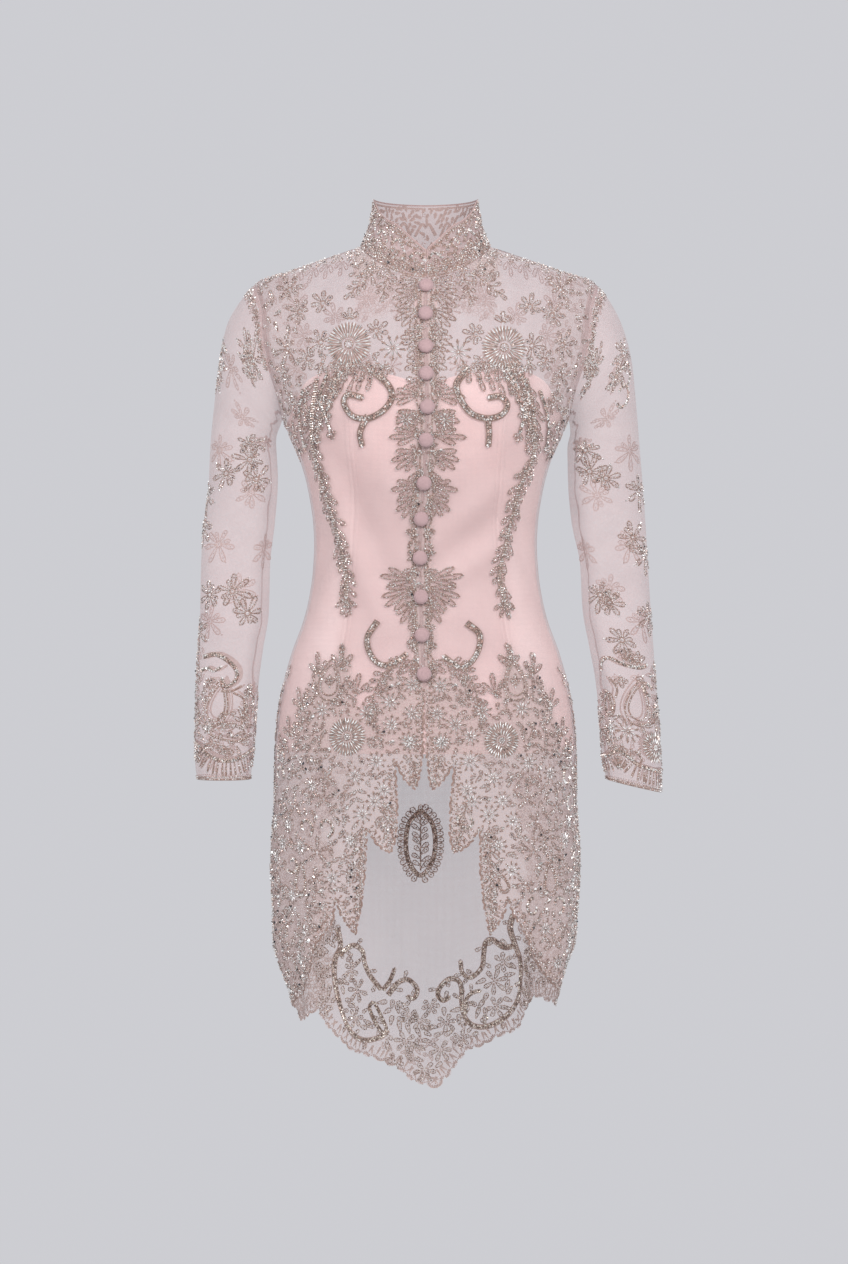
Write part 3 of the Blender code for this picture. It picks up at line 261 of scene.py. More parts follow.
# The tail's hem from the side seam to the tip. Columns: s, z.
BACK_HEM = {
    1: [
        (0.2012, -0.8890), (0.1750, -0.8880), (0.1622, -0.8843), (0.1515, -0.8868),
        (0.1350, -0.9050), (0.1225, -0.9259), (0.1060, -0.9350), (0.0897, -0.9413),
        (0.0760, -0.9505), (0.0629, -0.9561), (0.0540, -0.9570), (0.0433, -0.9698),
        (0.0351, -0.9799), (0.0283, -0.9911), (0.0205, -0.9985),
    ],
    -1: [
        (-0.2133, -0.9050), (-0.1836, -0.9084), (-0.1615, -0.9080), (-0.1442, -0.9031),
        (-0.1343, -0.9210), (-0.1240, -0.9330), (-0.1110, -0.9440), (-0.0970, -0.9563),
        (-0.0748, -0.9643), (-0.0514, -0.9743), (-0.0313, -0.9837), (-0.0165, -0.9975),
        (-0.0010, -1.0030),
    ],
}
TAIL_TIP = (0.0141, -1.0093)

# Soft folds. Columns: s and z where a fold starts, s and z where it ends, width, height.
FRONT_FOLDS = [
    (-0.100, -0.268, -0.030, -0.415, 0.016, -0.0039), (-0.118, -0.300, -0.052, -0.430, 0.015, 0.0033),
    (-0.060, -0.250, -0.012, -0.340, 0.013, 0.0024), (0.012, -0.405, 0.088, -0.352, 0.012, 0.0030),
    (0.010, -0.375, 0.092, -0.318, 0.012, -0.0030), (0.010, -0.345, 0.085, -0.288, 0.013, 0.0030),
    (0.105, -0.335, 0.150, -0.395, 0.014, -0.0033), (0.030, -0.430, 0.100, -0.470, 0.015, 0.0024),
    (-0.125, -0.345, -0.165, -0.420, 0.014, -0.0030), (-0.028, -0.430, -0.095, -0.480, 0.015, 0.0023),
    (0.060, -0.062, 0.110, -0.150, 0.016, 0.0018), (-0.065, -0.060, -0.118, -0.155, 0.016, 0.0020),
    (0.150, -0.220, 0.112, -0.300, 0.014, 0.0030), (-0.152, -0.222, -0.118, -0.292, 0.014, 0.0033),
]
BACK_FOLDS = [
    (-0.110, -0.290, -0.020, -0.345, 0.014, -0.0036), (0.115, -0.300, 0.022, -0.352, 0.014, -0.0039),
    (-0.120, -0.325, -0.030, -0.378, 0.014, 0.0033), (0.118, -0.335, 0.028, -0.385, 0.014, 0.0036),
    (-0.090, -0.375, -0.015, -0.425, 0.016, -0.0027), (0.095, -0.385, 0.018, -0.432, 0.016, -0.0030),
    (0.000, -0.050, 0.006, -0.170, 0.016, -0.0016), (0.150, -0.215, 0.110, -0.290, 0.014, 0.0030),
    (-0.148, -0.218, -0.105, -0.285, 0.014, 0.0027), (0.070, -0.080, 0.115, -0.170, 0.016, 0.0016),
    (-0.068, -0.082, -0.112, -0.168, 0.016, 0.0018),
]

# Flutes of the loose skirt. Columns: s, width, height at the hem, z where they start.
FRONT_FLUTES = [
    (-0.205, 0.020, 0.0045, -0.56), (-0.165, 0.016, -0.0040, -0.60), (-0.125, 0.016, 0.0040, -0.60),
    (-0.088, 0.015, -0.0030, -0.62), (-0.050, 0.016, 0.0034, -0.60), (-0.018, 0.014, -0.0022, -0.56),
    (0.024, 0.015, 0.0030, -0.56), (0.058, 0.015, -0.0030, -0.60), (0.098, 0.017, 0.0042, -0.60),
    (0.140, 0.015, -0.0045, -0.62), (0.176, 0.016, 0.0038, -0.60), (0.212, 0.016, -0.0045, -0.60),
]
BACK_FLUTES = [
    (-0.200, 0.018, -0.0050, -0.62), (-0.158, 0.018, 0.0056, -0.60), (-0.112, 0.018, -0.0050, -0.62),
    (-0.066, 0.018, 0.0052, -0.64), (-0.022, 0.016, -0.0040, -0.64), (0.020, 0.017, 0.0046, -0.62),
    (0.064, 0.018, -0.0052, -0.64), (0.108, 0.017, 0.0050, -0.60), (0.152, 0.017, -0.0050, -0.62),
    (0.194, 0.018, 0.0048, -0.62),
]

# Sleeve rings. Columns: outer x, outer z, inner x, inner z, half depth, centre y.
SLEEVE_RINGS = {
    1: [
        (0.1980, -0.0433, 0.1670, -0.2024, 0.0470, 0.0000), (0.2123, -0.0600, 0.1678, -0.2045, 0.0480, 0.0000),
        (0.2295, -0.0930, 0.1684, -0.2075, 0.0485, 0.0000), (0.2405, -0.1340, 0.1688, -0.2120, 0.0480, 0.0000),
        (0.2458, -0.1849, 0.1690, -0.2185, 0.0470, 0.0000), (0.2500, -0.2365, 0.1672, -0.2340, 0.0450, -0.0010),
        (0.2538, -0.2845, 0.1680, -0.2760, 0.0430, -0.0023), (0.2571, -0.3313, 0.1721, -0.3230, 0.0415, -0.0035),
        (0.2597, -0.3805, 0.1819, -0.3723, 0.0400, -0.0064), (0.2627, -0.4307, 0.1840, -0.4202, 0.0388, -0.0105),
        (0.2656, -0.4773, 0.1907, -0.4656, 0.0372, -0.0142), (0.2683, -0.5237, 0.1980, -0.5110, 0.0355, -0.0184),
        (0.2722, -0.5758, 0.2024, -0.5596, 0.0338, -0.0236), (0.2731, -0.6105, 0.2048, -0.5966, 0.0330, -0.0270),
        (0.2731, -0.6358, 0.2094, -0.6208, 0.0328, -0.0296),
    ],
    -1: [
        (0.1980, -0.0433, 0.1670, -0.2024, 0.0470, 0.0000), (0.2140, -0.0609, 0.1680, -0.2042, 0.0480, 0.0000),
        (0.2326, -0.0948, 0.1690, -0.2070, 0.0485, 0.0000), (0.2401, -0.1346, 0.1705, -0.2110, 0.0480, 0.0000),
        (0.2467, -0.1861, 0.1730, -0.2170, 0.0470, 0.0000), (0.2513, -0.2365, 0.1760, -0.2316, 0.0450, -0.0010),
        (0.2534, -0.2845, 0.1740, -0.2728, 0.0430, -0.0023), (0.2596, -0.3313, 0.1772, -0.3208, 0.0415, -0.0035),
        (0.2619, -0.3805, 0.1828, -0.3723, 0.0400, -0.0064), (0.2625, -0.4307, 0.1839, -0.4260, 0.0388, -0.0105),
        (0.2653, -0.4773, 0.1895, -0.4715, 0.0372, -0.0142), (0.2668, -0.5237, 0.1947, -0.5179, 0.0355, -0.0184),
        (0.2673, -0.5701, 0.1978, -0.5666, 0.0335, -0.0230), (0.2670, -0.6012, 0.2007, -0.6012, 0.0325, -0.0261),
        (0.2645, -0.6208, 0.2029, -0.6208, 0.0320, -0.0281),
    ],
}

# Long soft folds of a sleeve. Columns: angle from the outer side, start, end, width, height.
SLEEVE_FOLDS = [
    (150, 0.16, 0.95, 16, -0.0032), (186, 0.24, 0.80, 16, 0.0026), (118, 0.30, 0.90, 17, 0.0024),
    (222, 0.20, 0.92, 17, -0.0030), (262, 0.34, 0.86, 20, 0.0018), (78, 0.10, 0.40, 20, -0.0018),
]

# The back lining's dart. Columns: s, z.
DART = [(0.082, -0.23), (0.075, -0.33), (0.078, -0.45)]

# The beaded vine down a front. Columns: depth below the shoulder line, distance from the centre.
VINE_EDGE = [(0.16, 0.128), (0.24, 0.136), (0.28, 0.126), (0.32, 0.112), (0.36, 0.100), (0.42, 0.098), (0.60, 0.112)]

# A covered button's section. Columns: share of the radius, share of the height.
BUTTON_PROFILE = [(0.06, 1.0), (0.16, 0.992), (0.34, 0.965), (0.52, 0.91), (0.68, 0.83), (0.81, 0.71), (0.91, 0.55),
                  (0.975, 0.37), (1.0, 0.22), (0.975, 0.09), (0.90, 0.02), (0.72, 0.0), (0.4, 0.012)]

BUTTON_Z = [-0.0569, -0.0900, -0.1284, -0.1600, -0.1978, -0.2348,
            -0.2827, -0.3228, -0.3668, -0.4109, -0.4539, -0.4980]


class Side(Enum):
    """The wearer's sides, as the sign of x."""

    LEFT = 1
    RIGHT = -1

    @property
    def word(self) -> str:
        """Returns: the side's name in lower case."""
        return self.name.lower()


class Slot(Enum):
    """The record's material slots."""

    NET = "net_lace"
    DENSE = "dense_lace"
    SATIN = "lining_satin"
    BUTTON = "covered_button"


@dataclass(frozen=True)
class BlouseSize:
    """Sizes shared by every sub-assembly, in metres."""

    lining_depth: float = 0.0023
    placket_depth: float = 0.0018
    placket_half_width: float = 0.0125
    placket_top_z: float = -0.058
    slit_top_z: float = -0.515
    lining_bottom_z: float = -0.588
    lining_side_z: float = -0.2115
    shoulder_tip_z: float = -0.0433
    underarm_z: float = -0.2024
    armhole_half_depth: float = 0.047
    neck_half_width: float = 0.076
    collar_half_width: float = 0.061
    collar_front_depth: float = 0.060
    collar_back_depth: float = 0.056
    side_hem_left_z: float = -0.885
    side_hem_right_z: float = -0.893

    def side_hem_z(self, side: Side) -> float:
        """Height of the hem at a side seam.

        Args:
            side: the wearer's side.

        Returns:
            The height in metres.
        """
        return self.side_hem_left_z if side is Side.LEFT else self.side_hem_right_z


SIZE = BlouseSize()


# ================================================================ curves
def eased(x: Array | float, low: float, high: float) -> Array:
    """0 below low, 1 above high, soft between."""
    t = np.clip((np.asarray(x, float) - low) / (high - low), 0.0, 1.0)
    return t * t * (3 - 2 * t)


class Curve:
    """A smooth curve through a table's column that never overshoots its rows."""

    def __init__(self, keys: Sequence[float], values: Sequence[float]) -> None:
        """Args:
        keys: rising keys.
        values: a value for each key.
        """
        self.keys = np.asarray(keys, float)
        self.values = np.asarray(values, float)
        step = np.diff(self.keys)
        slope = np.diff(self.values) / step
        tangent = np.zeros_like(self.keys)
        tangent[0], tangent[-1] = slope[0], slope[-1]
        same = slope[:-1] * slope[1:] > 0
        w0, w1 = 2 * step[1:] + step[:-1], step[1:] + 2 * step[:-1]
        safe = np.where(same, slope[:-1], 1.0), np.where(same, slope[1:], 1.0)
        tangent[1:-1] = np.where(same, (w0 + w1) / (w0 / safe[0] + w1 / safe[1]), 0.0)
        self.tangents = tangent

    def __call__(self, x: Array | float) -> Array:
        """Returns: the curve's values at x, held at both ends."""
        x = np.clip(np.asarray(x, float), self.keys[0], self.keys[-1])
        i = np.clip(np.searchsorted(self.keys, x, side="right") - 1, 0, len(self.keys) - 2)
        h = self.keys[i + 1] - self.keys[i]
        t = (x - self.keys[i]) / h
        return ((2 * t ** 3 - 3 * t ** 2 + 1) * self.values[i]
                + (t ** 3 - 2 * t ** 2 + t) * h * self.tangents[i]
                + (3 * t ** 2 - 2 * t ** 3) * self.values[i + 1]
                + (t ** 3 - t ** 2) * h * self.tangents[i + 1])


def table_curve(rows: Sequence[Sequence[float]], column: int) -> Curve:
    """Returns: the curve of one column of a table over its first column."""
    return Curve([row[0] for row in rows], [row[column] for row in rows])


closing_s = table_curve(CLOSING_LINE, 1)
princess_s = table_curve(PRINCESS_LINE, 1)
LINING_TOP_CURVES = {False: table_curve(LINING_TOP, 1), True: table_curve(LINING_TOP, 2)}
NECK_CURVES = {False: table_curve(NECK_FRONT, 1), True: table_curve(NECK_BACK, 1)}


def lining_top_z(s: Array | float, back: bool) -> Array:
    """Height of the lining's top edge at a distance round the body."""
    return LINING_TOP_CURVES[back](np.abs(s))


def run_along(line: Array) -> Array:
    """Returns: the length of a line up to each of its points."""
    return np.concatenate([[0.0], np.cumsum(np.hypot(*np.diff(line, axis=0).T))])


def smooth_line(points: Line, step: float, closed: bool = False) -> Array:
    """A soft line through a few points.

    Args:
        points: the points to pass through.
        step: the distance between the new points.
        closed: whether the last point joins the first.

    Returns:
        An array of points, n by 2.
    """
    p = np.asarray(points, float)
    if closed:
        p = np.vstack([p[-1:], p, p[:2]])
    else:
        p = np.vstack([2 * p[0] - p[1], p, 2 * p[-1] - p[-2]])
    fine = []
    for k in range(1, len(p) - 2):
        t = np.linspace(0, 1, 9)[:-1, None]
        a, b, c, d = p[k - 1], p[k], p[k + 1], p[k + 2]
        fine.append(0.5 * (2 * b + (c - a) * t + (2 * a - 5 * b + 4 * c - d) * t ** 2
                           + (3 * b - a - 3 * c + d) * t ** 3))
    line = np.vstack(fine + [p[-2:-1]])
    run = run_along(line)
    count = max(2, int(round(run[-1] / step)) + 1)
    at = np.linspace(0, run[-1], count)
    return np.column_stack([np.interp(at, run, line[:, 0]), np.interp(at, run, line[:, 1])])


def straight_line(points: Line, step: float) -> Array:
    """The same broken line with extra points about a step apart.

    Args:
        points: the corners, which all stay.
        step: the distance between the new points.

    Returns:
        An array of points, n by 2.
    """
    out = [np.asarray(points[0], float)]
    for a, b in zip(points[:-1], points[1:]):
        a, b = np.asarray(a, float), np.asarray(b, float)
        count = max(1, int(round(float(np.hypot(*(b - a))) / step)))
        out.extend(a + (b - a) * k / count for k in range(1, count + 1))
    return np.array(out)


def headings(line: Array) -> Array:
    """Returns: the angle of travel at each point of a line."""
    d = np.gradient(line, axis=0)
    return np.arctan2(d[:, 1], d[:, 0])


def leftward(heading: Array) -> Array:
    """Returns: unit steps to the left of each heading, n by 2."""
    return np.column_stack([-np.sin(heading), np.cos(heading)])


def moved(a: float, b: float, turn: float, along: float | Array, off: float | Array = 0.0) -> tuple:
    """A point reached from another one.

    Args:
        a: pattern place.
        b: pattern place.
        turn: a heading.
        along: how far to go along it.
        off: how far to go to its left.

    Returns:
        The new pattern place.
    """
    ca, sa = math.cos(turn), math.sin(turn)
    return a + along * ca - off * sa, b + along * sa + off * ca


class Track:
    """A line that is read at lengths along it."""

    def __init__(self, line: Array) -> None:
        """Args:
        line: the line's points, n by 2.
        """
        self.line = line
        self.run = run_along(line)
        self.length = self.run[-1]
        self.heading = np.unwrap(headings(line))

    def at(self, along: Array | float) -> tuple[Array, Array, Array]:
        """Returns: the pattern place and the heading at lengths along the line."""
        return tuple(np.interp(along, self.run, v) for v in (self.line[:, 0], self.line[:, 1], self.heading))


def contains(loop: Array, points: Array) -> Array:
    """Whether each point lies inside a closed outline.

    Args:
        loop: the outline, m by 2.
        points: the points, n by 2.

    Returns:
        n truth values.
    """
    hit = np.zeros(len(points), bool)
    px, py = points[:, 0], points[:, 1]
    for (x0, y0), (x1, y1) in zip(loop, np.roll(loop, -1, axis=0)):
        if y0 == y1:
            continue
        crosses = (y0 > py) != (y1 > py)
        hit ^= crosses & (px < (x1 - x0) * (py - y0) / (y1 - y0) + x0)
    return hit


def within(loops: Sequence[Array], points: Array) -> Array:
    """Returns: whether each point lies inside any of some closed outlines."""
    return np.any([contains(loop, points) for loop in loops], axis=0)


def near_line(points: Array, line: Array) -> Array:
    """Distance from each point to a broken line.

    Args:
        points: the points, n by 2.
        line: the line's corners, m by 2.

    Returns:
        n distances.
    """
    best = np.full(len(points), 1e9)
    for a, b in zip(line[:-1], line[1:]):
        d = b - a
        t = np.clip(((points - a) @ d) / max(1e-12, float(d @ d)), 0, 1)
        best = np.minimum(best, np.hypot(*(points - a - t[:, None] * d).T))
    return best


# ================================================================ surfaces
def quarter(z: float, back: bool) -> tuple[Array, Array, Array]:
    """A quarter section of the body from the centre line to the side.

    Args:
        z: the height.
        back: whether it is behind.

    Returns:
        x, y and length at each step.
    """
    angle = np.linspace(0, math.pi / 2, QUARTER_STEPS + 1)
    power = 2.0 / table_curve(BODY_SECTIONS, 4)(z)
    x = table_curve(BODY_SECTIONS, 1)(z) * np.sin(angle) ** power
    y = table_curve(BODY_SECTIONS, 3 if back else 2)(z) * np.maximum(0, np.cos(angle)) ** power
    return x, y, run_along(np.column_stack([x, y]))


class BodyHalf:
    """The front or the back of the worn body: angle, side length and folds over (s, z)."""

    def __init__(self, back: bool) -> None:
        """Args:
        back: whether this is the back.
        """
        self.back = back
        self.half_width = table_curve(BODY_SECTIONS, 1)
        self.depth = table_curve(BODY_SECTIONS, 3 if back else 2)
        self.squareness = table_curve(BODY_SECTIONS, 4)
        self.rows = np.concatenate([np.arange(LOWEST_Z, -0.061, 0.004), np.arange(-0.06, 1e-6, 0.001)])
        self.rows[-1] = 0.0
        share = np.linspace(0, 1, SHARE_STEPS + 1)
        angle = np.linspace(0, math.pi / 2, QUARTER_STEPS + 1)
        table, sides = [], []
        for z in self.rows:
            run = quarter(float(z), back)[2]
            table.append(np.interp(share * run[-1], run, angle))
            sides.append(run[-1])
        self.angles = np.array(table)
        self.side_lengths = np.array(sides)
        self.folds = BACK_FOLDS if back else FRONT_FOLDS
        self.flutes = BACK_FLUTES if back else FRONT_FLUTES

    def side(self, z: Array | float) -> Array:
        """Returns: the distance from the centre line to the side seam at z."""
        return np.interp(z, self.rows, self.side_lengths)

    def plan(self, share: Array, z: Array) -> tuple[Array, Array]:
        """Returns: x and y of the plain section at a share of the way to the side."""
        row = np.interp(z, self.rows, np.arange(len(self.rows)))
        r0 = np.clip(row.astype(int), 0, len(self.rows) - 2)
        column = np.clip(share, 0, 1) * SHARE_STEPS
        c0 = np.clip(column.astype(int), 0, SHARE_STEPS - 1)
        fr, fc = row - r0, column - c0
        a = ((self.angles[r0, c0] * (1 - fr) + self.angles[r0 + 1, c0] * fr) * (1 - fc)
             + (self.angles[r0, c0 + 1] * (1 - fr) + self.angles[r0 + 1, c0 + 1] * fr) * fc)
        power = 2.0 / self.squareness(z)
        return (self.half_width(z) * np.sin(a) ** power,
                self.depth(z) * np.maximum(0, np.cos(a)) ** power)

    def fold_height(self, s: Array, z: Array) -> Array:
        """Returns: the height of the soft folds and flutes."""
        height = np.zeros_like(s)
        for s0, z0, s1, z1, width, top in self.folds:
            ds, dz = s1 - s0, z1 - z0
            t = np.clip(((s - s0) * ds + (z - z0) * dz) / (ds * ds + dz * dz), 0, 1)
            away = np.hypot(s - s0 - t * ds, z - z0 - t * dz)
            height += top * np.exp(-(away / width) ** 2) * (0.55 + 0.45 * np.sin(math.pi * t))
        to_side = self.side(z) - np.abs(s)
        fade = eased(to_side, 0.0, 0.03)
        for s0, width, top, start in self.flutes:
            height += top * eased(-z, -start, 0.88) * fade * np.exp(-((s - s0) / width) ** 2)
        return height - 0.0035 * eased(-z, 0.74, 0.90) * np.exp(-(to_side / 0.02) ** 2)

    def point(self, s: Array, z: Array) -> Array:
        """Returns: points of the net's outer face, n by 3."""
        z = np.clip(z, LOWEST_Z, HIGHEST_Z)
        share = np.clip(np.abs(s) / self.side(z), 0, 1)
        x, y = self.plan(share, z)
        ax, ay = self.plan(np.maximum(0, share - 0.006), z)
        bx, by = self.plan(np.minimum(1, share + 0.006), z)
        tx, ty = bx - ax, by - ay
        length = np.maximum(1e-9, np.hypot(tx, ty))
        height = self.fold_height(s, z)
        x = x - ty / length * height
        y = y + tx / length * height
        return np.column_stack([np.where(s < 0, -x, x), y if self.back else -y, z])


class Surface:
    """A bent surface that patterns are laid on. flip says that its two axes run left-handed."""

    flip = False

    def point(self, a: Array, b: Array) -> Array:
        """Returns: points at pattern coordinates a and b, n by 3."""
        raise NotImplementedError

    def faced(self, faces: Array) -> Array:
        """Returns: faces that run left-handed round the pattern where the surface is flipped."""
        return faces[:, ::-1] if self.flip else faces

    def frame(self, a: Array, b: Array) -> tuple[Array, Array, Array, Array]:
        """Points with their local axes.

        Args:
            a: first pattern coordinate.
            b: second pattern coordinate.

        Returns:
            Points, unit direction of rising a, unit direction across it, and outward normal.
        """
        e = 0.0012
        p = self.point(a, b)
        da = self.point(a + e, b) - self.point(a - e, b)
        db = self.point(a, b + e) - self.point(a, b - e)
        normal = np.cross(da, db) * (-1.0 if self.flip else 1.0)
        normal /= np.maximum(1e-12, np.linalg.norm(normal, axis=1))[:, None]
        da /= np.maximum(1e-12, np.linalg.norm(da, axis=1))[:, None]
        db = np.cross(normal, da) * (-1.0 if self.flip else 1.0)
        return p, da, db, normal


class BodySurface(Surface):
    """The body seen from the front or the back. Past a side seam it runs on round the other half."""

    def __init__(self, halves: dict[bool, BodyHalf], back: bool) -> None:
        """Args:
        halves: the front under False and the back under True.
        back: whether the pattern starts at the centre back.
        """
        self.halves = halves
        self.back = back
        self.flip = back

    def point(self, a: Array, b: Array) -> Array:
        """Returns: points at distance a round the body and height b."""
        a, b = np.asarray(a, float), np.asarray(b, float)
        out = self.halves[self.back].point(a, b)
        side = self.halves[self.back].side(np.clip(b, LOWEST_Z, 0))
        over = np.abs(a) > side
        if over.any():
            other = self.halves[not self.back]
            left = other.side(np.clip(b[over], LOWEST_Z, 0)) - (np.abs(a[over]) - side[over])
            out[over] = other.point(np.sign(a[over]) * left, b[over])
        return out


def armhole_point(side: Side, angle: float) -> tuple[float, float, bool]:
    """The armhole at an angle: 0 is the shoulder tip, a half turn is the underarm.

    Args:
        side: the wearer's side.
        angle: the angle in radians, in front for the first half turn.

    Returns:
        s, z and whether the point is at the back.
    """
    mid = (SIZE.shoulder_tip_z + SIZE.underarm_z) / 2
    z = mid + (SIZE.shoulder_tip_z - SIZE.underarm_z) / 2 * math.cos(angle)
    back = angle > math.pi
    y = SIZE.armhole_half_depth * abs(math.sin(angle))
    _, ys, run = quarter(z, back)
    return side.value * float(np.interp(y, ys[::-1], run[::-1])), z, back


def neck_point(sign: int, angle: float, back: bool) -> tuple[float, float]:
    """The neck seam at an angle from its centre line.

    Args:
        sign: 1 on the wearer's left, -1 on their right.
        angle: the angle in degrees.
        back: whether it is behind.

    Returns:
        s and z.
    """
    z = float(NECK_CURVES[back](angle))
    if angle == 0:
        return (0.0 if back else float(closing_s(z))), z
    xs, _, run = quarter(min(z, HIGHEST_Z), back)
    x = min(SIZE.neck_half_width * math.sin(math.radians(angle)), xs[-1])
    return sign * float(np.interp(x, xs, run)), z


class SleeveSurface(Surface):
    """A sleeve: a is the distance round from its outer side to the front, b the length down."""

    def __init__(self, halves: dict[bool, BodyHalf], side: Side) -> None:
        """Args:
        halves: the body's halves, which carry the armhole.
        side: the wearer's side.
        """
        self.side = side
        self.flip = side is Side.RIGHT
        rows = np.array(SLEEVE_RINGS[side.value])
        run = run_along(rows[:, :2])
        self.length = float(run[-1])
        self.curves = [Curve(run, rows[:, c]) for c in range(6)]
        self.first = rows[0]
        self.seam_angles = np.linspace(0, 2 * math.pi, 97)
        seam = []
        for angle in self.seam_angles[:-1]:
            s, z, back = armhole_point(side, float(angle))
            seam.append(halves[back].point(np.array([s]), np.array([z]))[0])
        self.seam = np.array(seam + seam[:1])
        self.radius = Curve([0.0, 0.08, 0.2, 0.4, self.length], [0.0660, 0.0540, 0.0430, 0.0385, 0.0328])

    def fold_height(self, angle: Array, along: Array) -> Array:
        """Returns: the height of the long soft folds."""
        height = np.zeros_like(angle)
        for centre, start, end, width, top in SLEEVE_FOLDS:
            away = (np.degrees(angle) - centre - 14 * np.sin(5.0 * along + centre) + 180) % 360 - 180
            fade = eased(along, start, start + 0.12) * (1 - eased(along, end - 0.12, end))
            height += top * fade * np.exp(-(away / width) ** 2)
        return height

    def ring(self, ox: Array, oz: Array, ix: Array, iz: Array, depth: Array, cy: Array,
             angle: Array) -> tuple[Array, Array]:
        """Returns: a plain ring's points and their directions from its middle."""
        ca, sa = np.cos(angle), np.sin(angle)
        shape = (np.abs(ca) ** 2.2 + np.abs(sa) ** 2.2) ** (-1 / 2.2) * 0.94 + 0.06
        radial = np.column_stack([(ox - ix) / 2 * ca, -depth * sa, (oz - iz) / 2 * ca])
        centre = np.column_stack([(ox + ix) / 2, cy + 0 * ca, (oz + iz) / 2])
        return centre + radial * shape[:, None], radial

    def at_angle(self, angle: Array, run: Array) -> Array:
        """Points of the sleeve.

        Args:
            angle: angles from the outer side.
            run: lengths down the sleeve.

        Returns:
            The points, n by 3.
        """
        angle, run = np.asarray(angle, float), np.asarray(run, float)
        along = np.clip(run / self.length, 0, 1)
        p, radial = self.ring(*(curve(run) for curve in self.curves), angle)
        radial /= np.linalg.norm(radial, axis=1)[:, None]
        p += radial * self.fold_height(angle % (2 * math.pi), along)[:, None]
        p[:, 0] *= self.side.value
        hold = (1 - eased(along, 0.0, 0.16))[:, None]
        first = [np.full_like(angle, v) for v in self.first]
        q = self.ring(*first[:5], 0 * angle, angle)[0]
        q[:, 0] *= self.side.value
        turned = angle % (2 * math.pi)
        seam = np.column_stack([np.interp(turned, self.seam_angles, self.seam[:, c]) for c in range(3)])
        return p + (seam - q) * hold

    def point(self, a: Array, b: Array) -> Array:
        """Returns: points at distance a round the sleeve and b down it."""
        return self.at_angle(np.asarray(a, float) / self.radius(b), np.asarray(b, float))


class CollarSurface(Surface):
    """The stand collar: a is the distance round from the centre front, b the height up its wall."""

    per_degree = 0.00115
    hollow = 0.0035

    def __init__(self, halves: dict[bool, BodyHalf]) -> None:
        """Args:
        halves: the body's halves, which carry the neck seam.
        """
        self.angles = np.arange(0, 181, 2.5)
        self.base: dict[int, Array] = {}
        for sign in (1, -1):
            base = []
            for angle in self.angles:
                back = angle > 90
                s, z = neck_point(sign, 180 - angle if back else angle, back)
                base.append(halves[back].point(np.array([s]), np.array([z]))[0])
            self.base[sign] = np.array(base)
        self.top_z = table_curve(COLLAR_TOP, 1)

    def height(self, a: Array | float) -> Array:
        """Returns: the collar's height at distance a."""
        start, top = self.ends(np.atleast_1d(np.abs(np.asarray(a, float)) / self.per_degree), 1)
        return np.linalg.norm(top - start, axis=1)

    def ends(self, angle: Array, sign: int) -> tuple[Array, Array]:
        """Returns: the seam's points and the top edge's points at angles on one side."""
        start = np.column_stack([np.interp(angle, self.angles, self.base[sign][:, c]) for c in range(3)])
        rad = np.radians(angle)
        depth = np.where(angle < 90, SIZE.collar_front_depth, SIZE.collar_back_depth)
        x = sign * SIZE.collar_half_width * np.sin(rad) + float(closing_s(-0.04)) * (angle < 2)
        return start, np.column_stack([x, -depth * np.cos(rad), self.top_z(angle)])

    def point(self, a: Array, b: Array) -> Array:
        """Points of the collar, whose wall is a little hollow.

        Args:
            a: distances round from the centre front.
            b: heights up the wall.

        Returns:
            The points, n by 3.
        """
        a, b = np.asarray(a, float), np.asarray(b, float)
        out = np.zeros((len(a), 3))
        for sign in (1, -1):
            mine = (a >= 0) if sign > 0 else (a < 0)
            if not mine.any():
                continue
            angle = np.clip(np.abs(a[mine]) / self.per_degree, 0, 180)
            start, top = self.ends(angle, sign)
            v = (b[mine] / np.linalg.norm(top - start, axis=1))[:, None]
            p = start + (top - start) * v
            inward = -p * np.array([1.0, 1.0, 0.0])
            inward /= np.maximum(1e-9, np.linalg.norm(inward, axis=1))[:, None]
            out[mine] = p + inward * self.hollow * np.sin(math.pi * np.clip(v, 0, 1))
        return out


# ================================================================ cut pieces
def stretched(z: Array) -> Array:
    """Heights in the flat pattern, where the shoulders are opened out."""
    z = np.asarray(z, float)
    return np.where(z < SHOULDER_Z, z, SHOULDER_Z + (z - SHOULDER_Z) * SHOULDER_STRETCH)


def unstretched(t: Array) -> Array:
    """The reverse of stretched."""
    t = np.asarray(t, float)
    return np.where(t < SHOULDER_Z, t, SHOULDER_Z + (t - SHOULDER_Z) / SHOULDER_STRETCH)


def scalloped(line: Array, body: Array, pitch: float, depth: float) -> Array:
    """A hem line with small round scallops that stand out of the cloth.

    Args:
        line: the plain hem.
        body: the piece's plain outline, which tells inside from outside.
        pitch: the length of a scallop.
        depth: how far each stands out.

    Returns:
        The new hem.
    """
    fine = straight_line(line, 0.0013)
    run = run_along(fine)
    count = max(1, round(run[-1] / pitch))
    out = leftward(headings(fine))
    middle = len(fine) // 2
    probe = fine[middle - 6:middle + 6:4]
    inside = contains(body, probe + out[middle - 6:middle + 6:4] * 0.002)
    if inside.mean() > 0.5:
        out = -out
    wave = np.abs(np.sin(math.pi * run / run[-1] * count)) ** 0.7 - 0.35
    fade = np.minimum(1, np.minimum(run, run[-1] - run) / 0.004)
    return fine + out * (wave * depth * fade)[:, None]


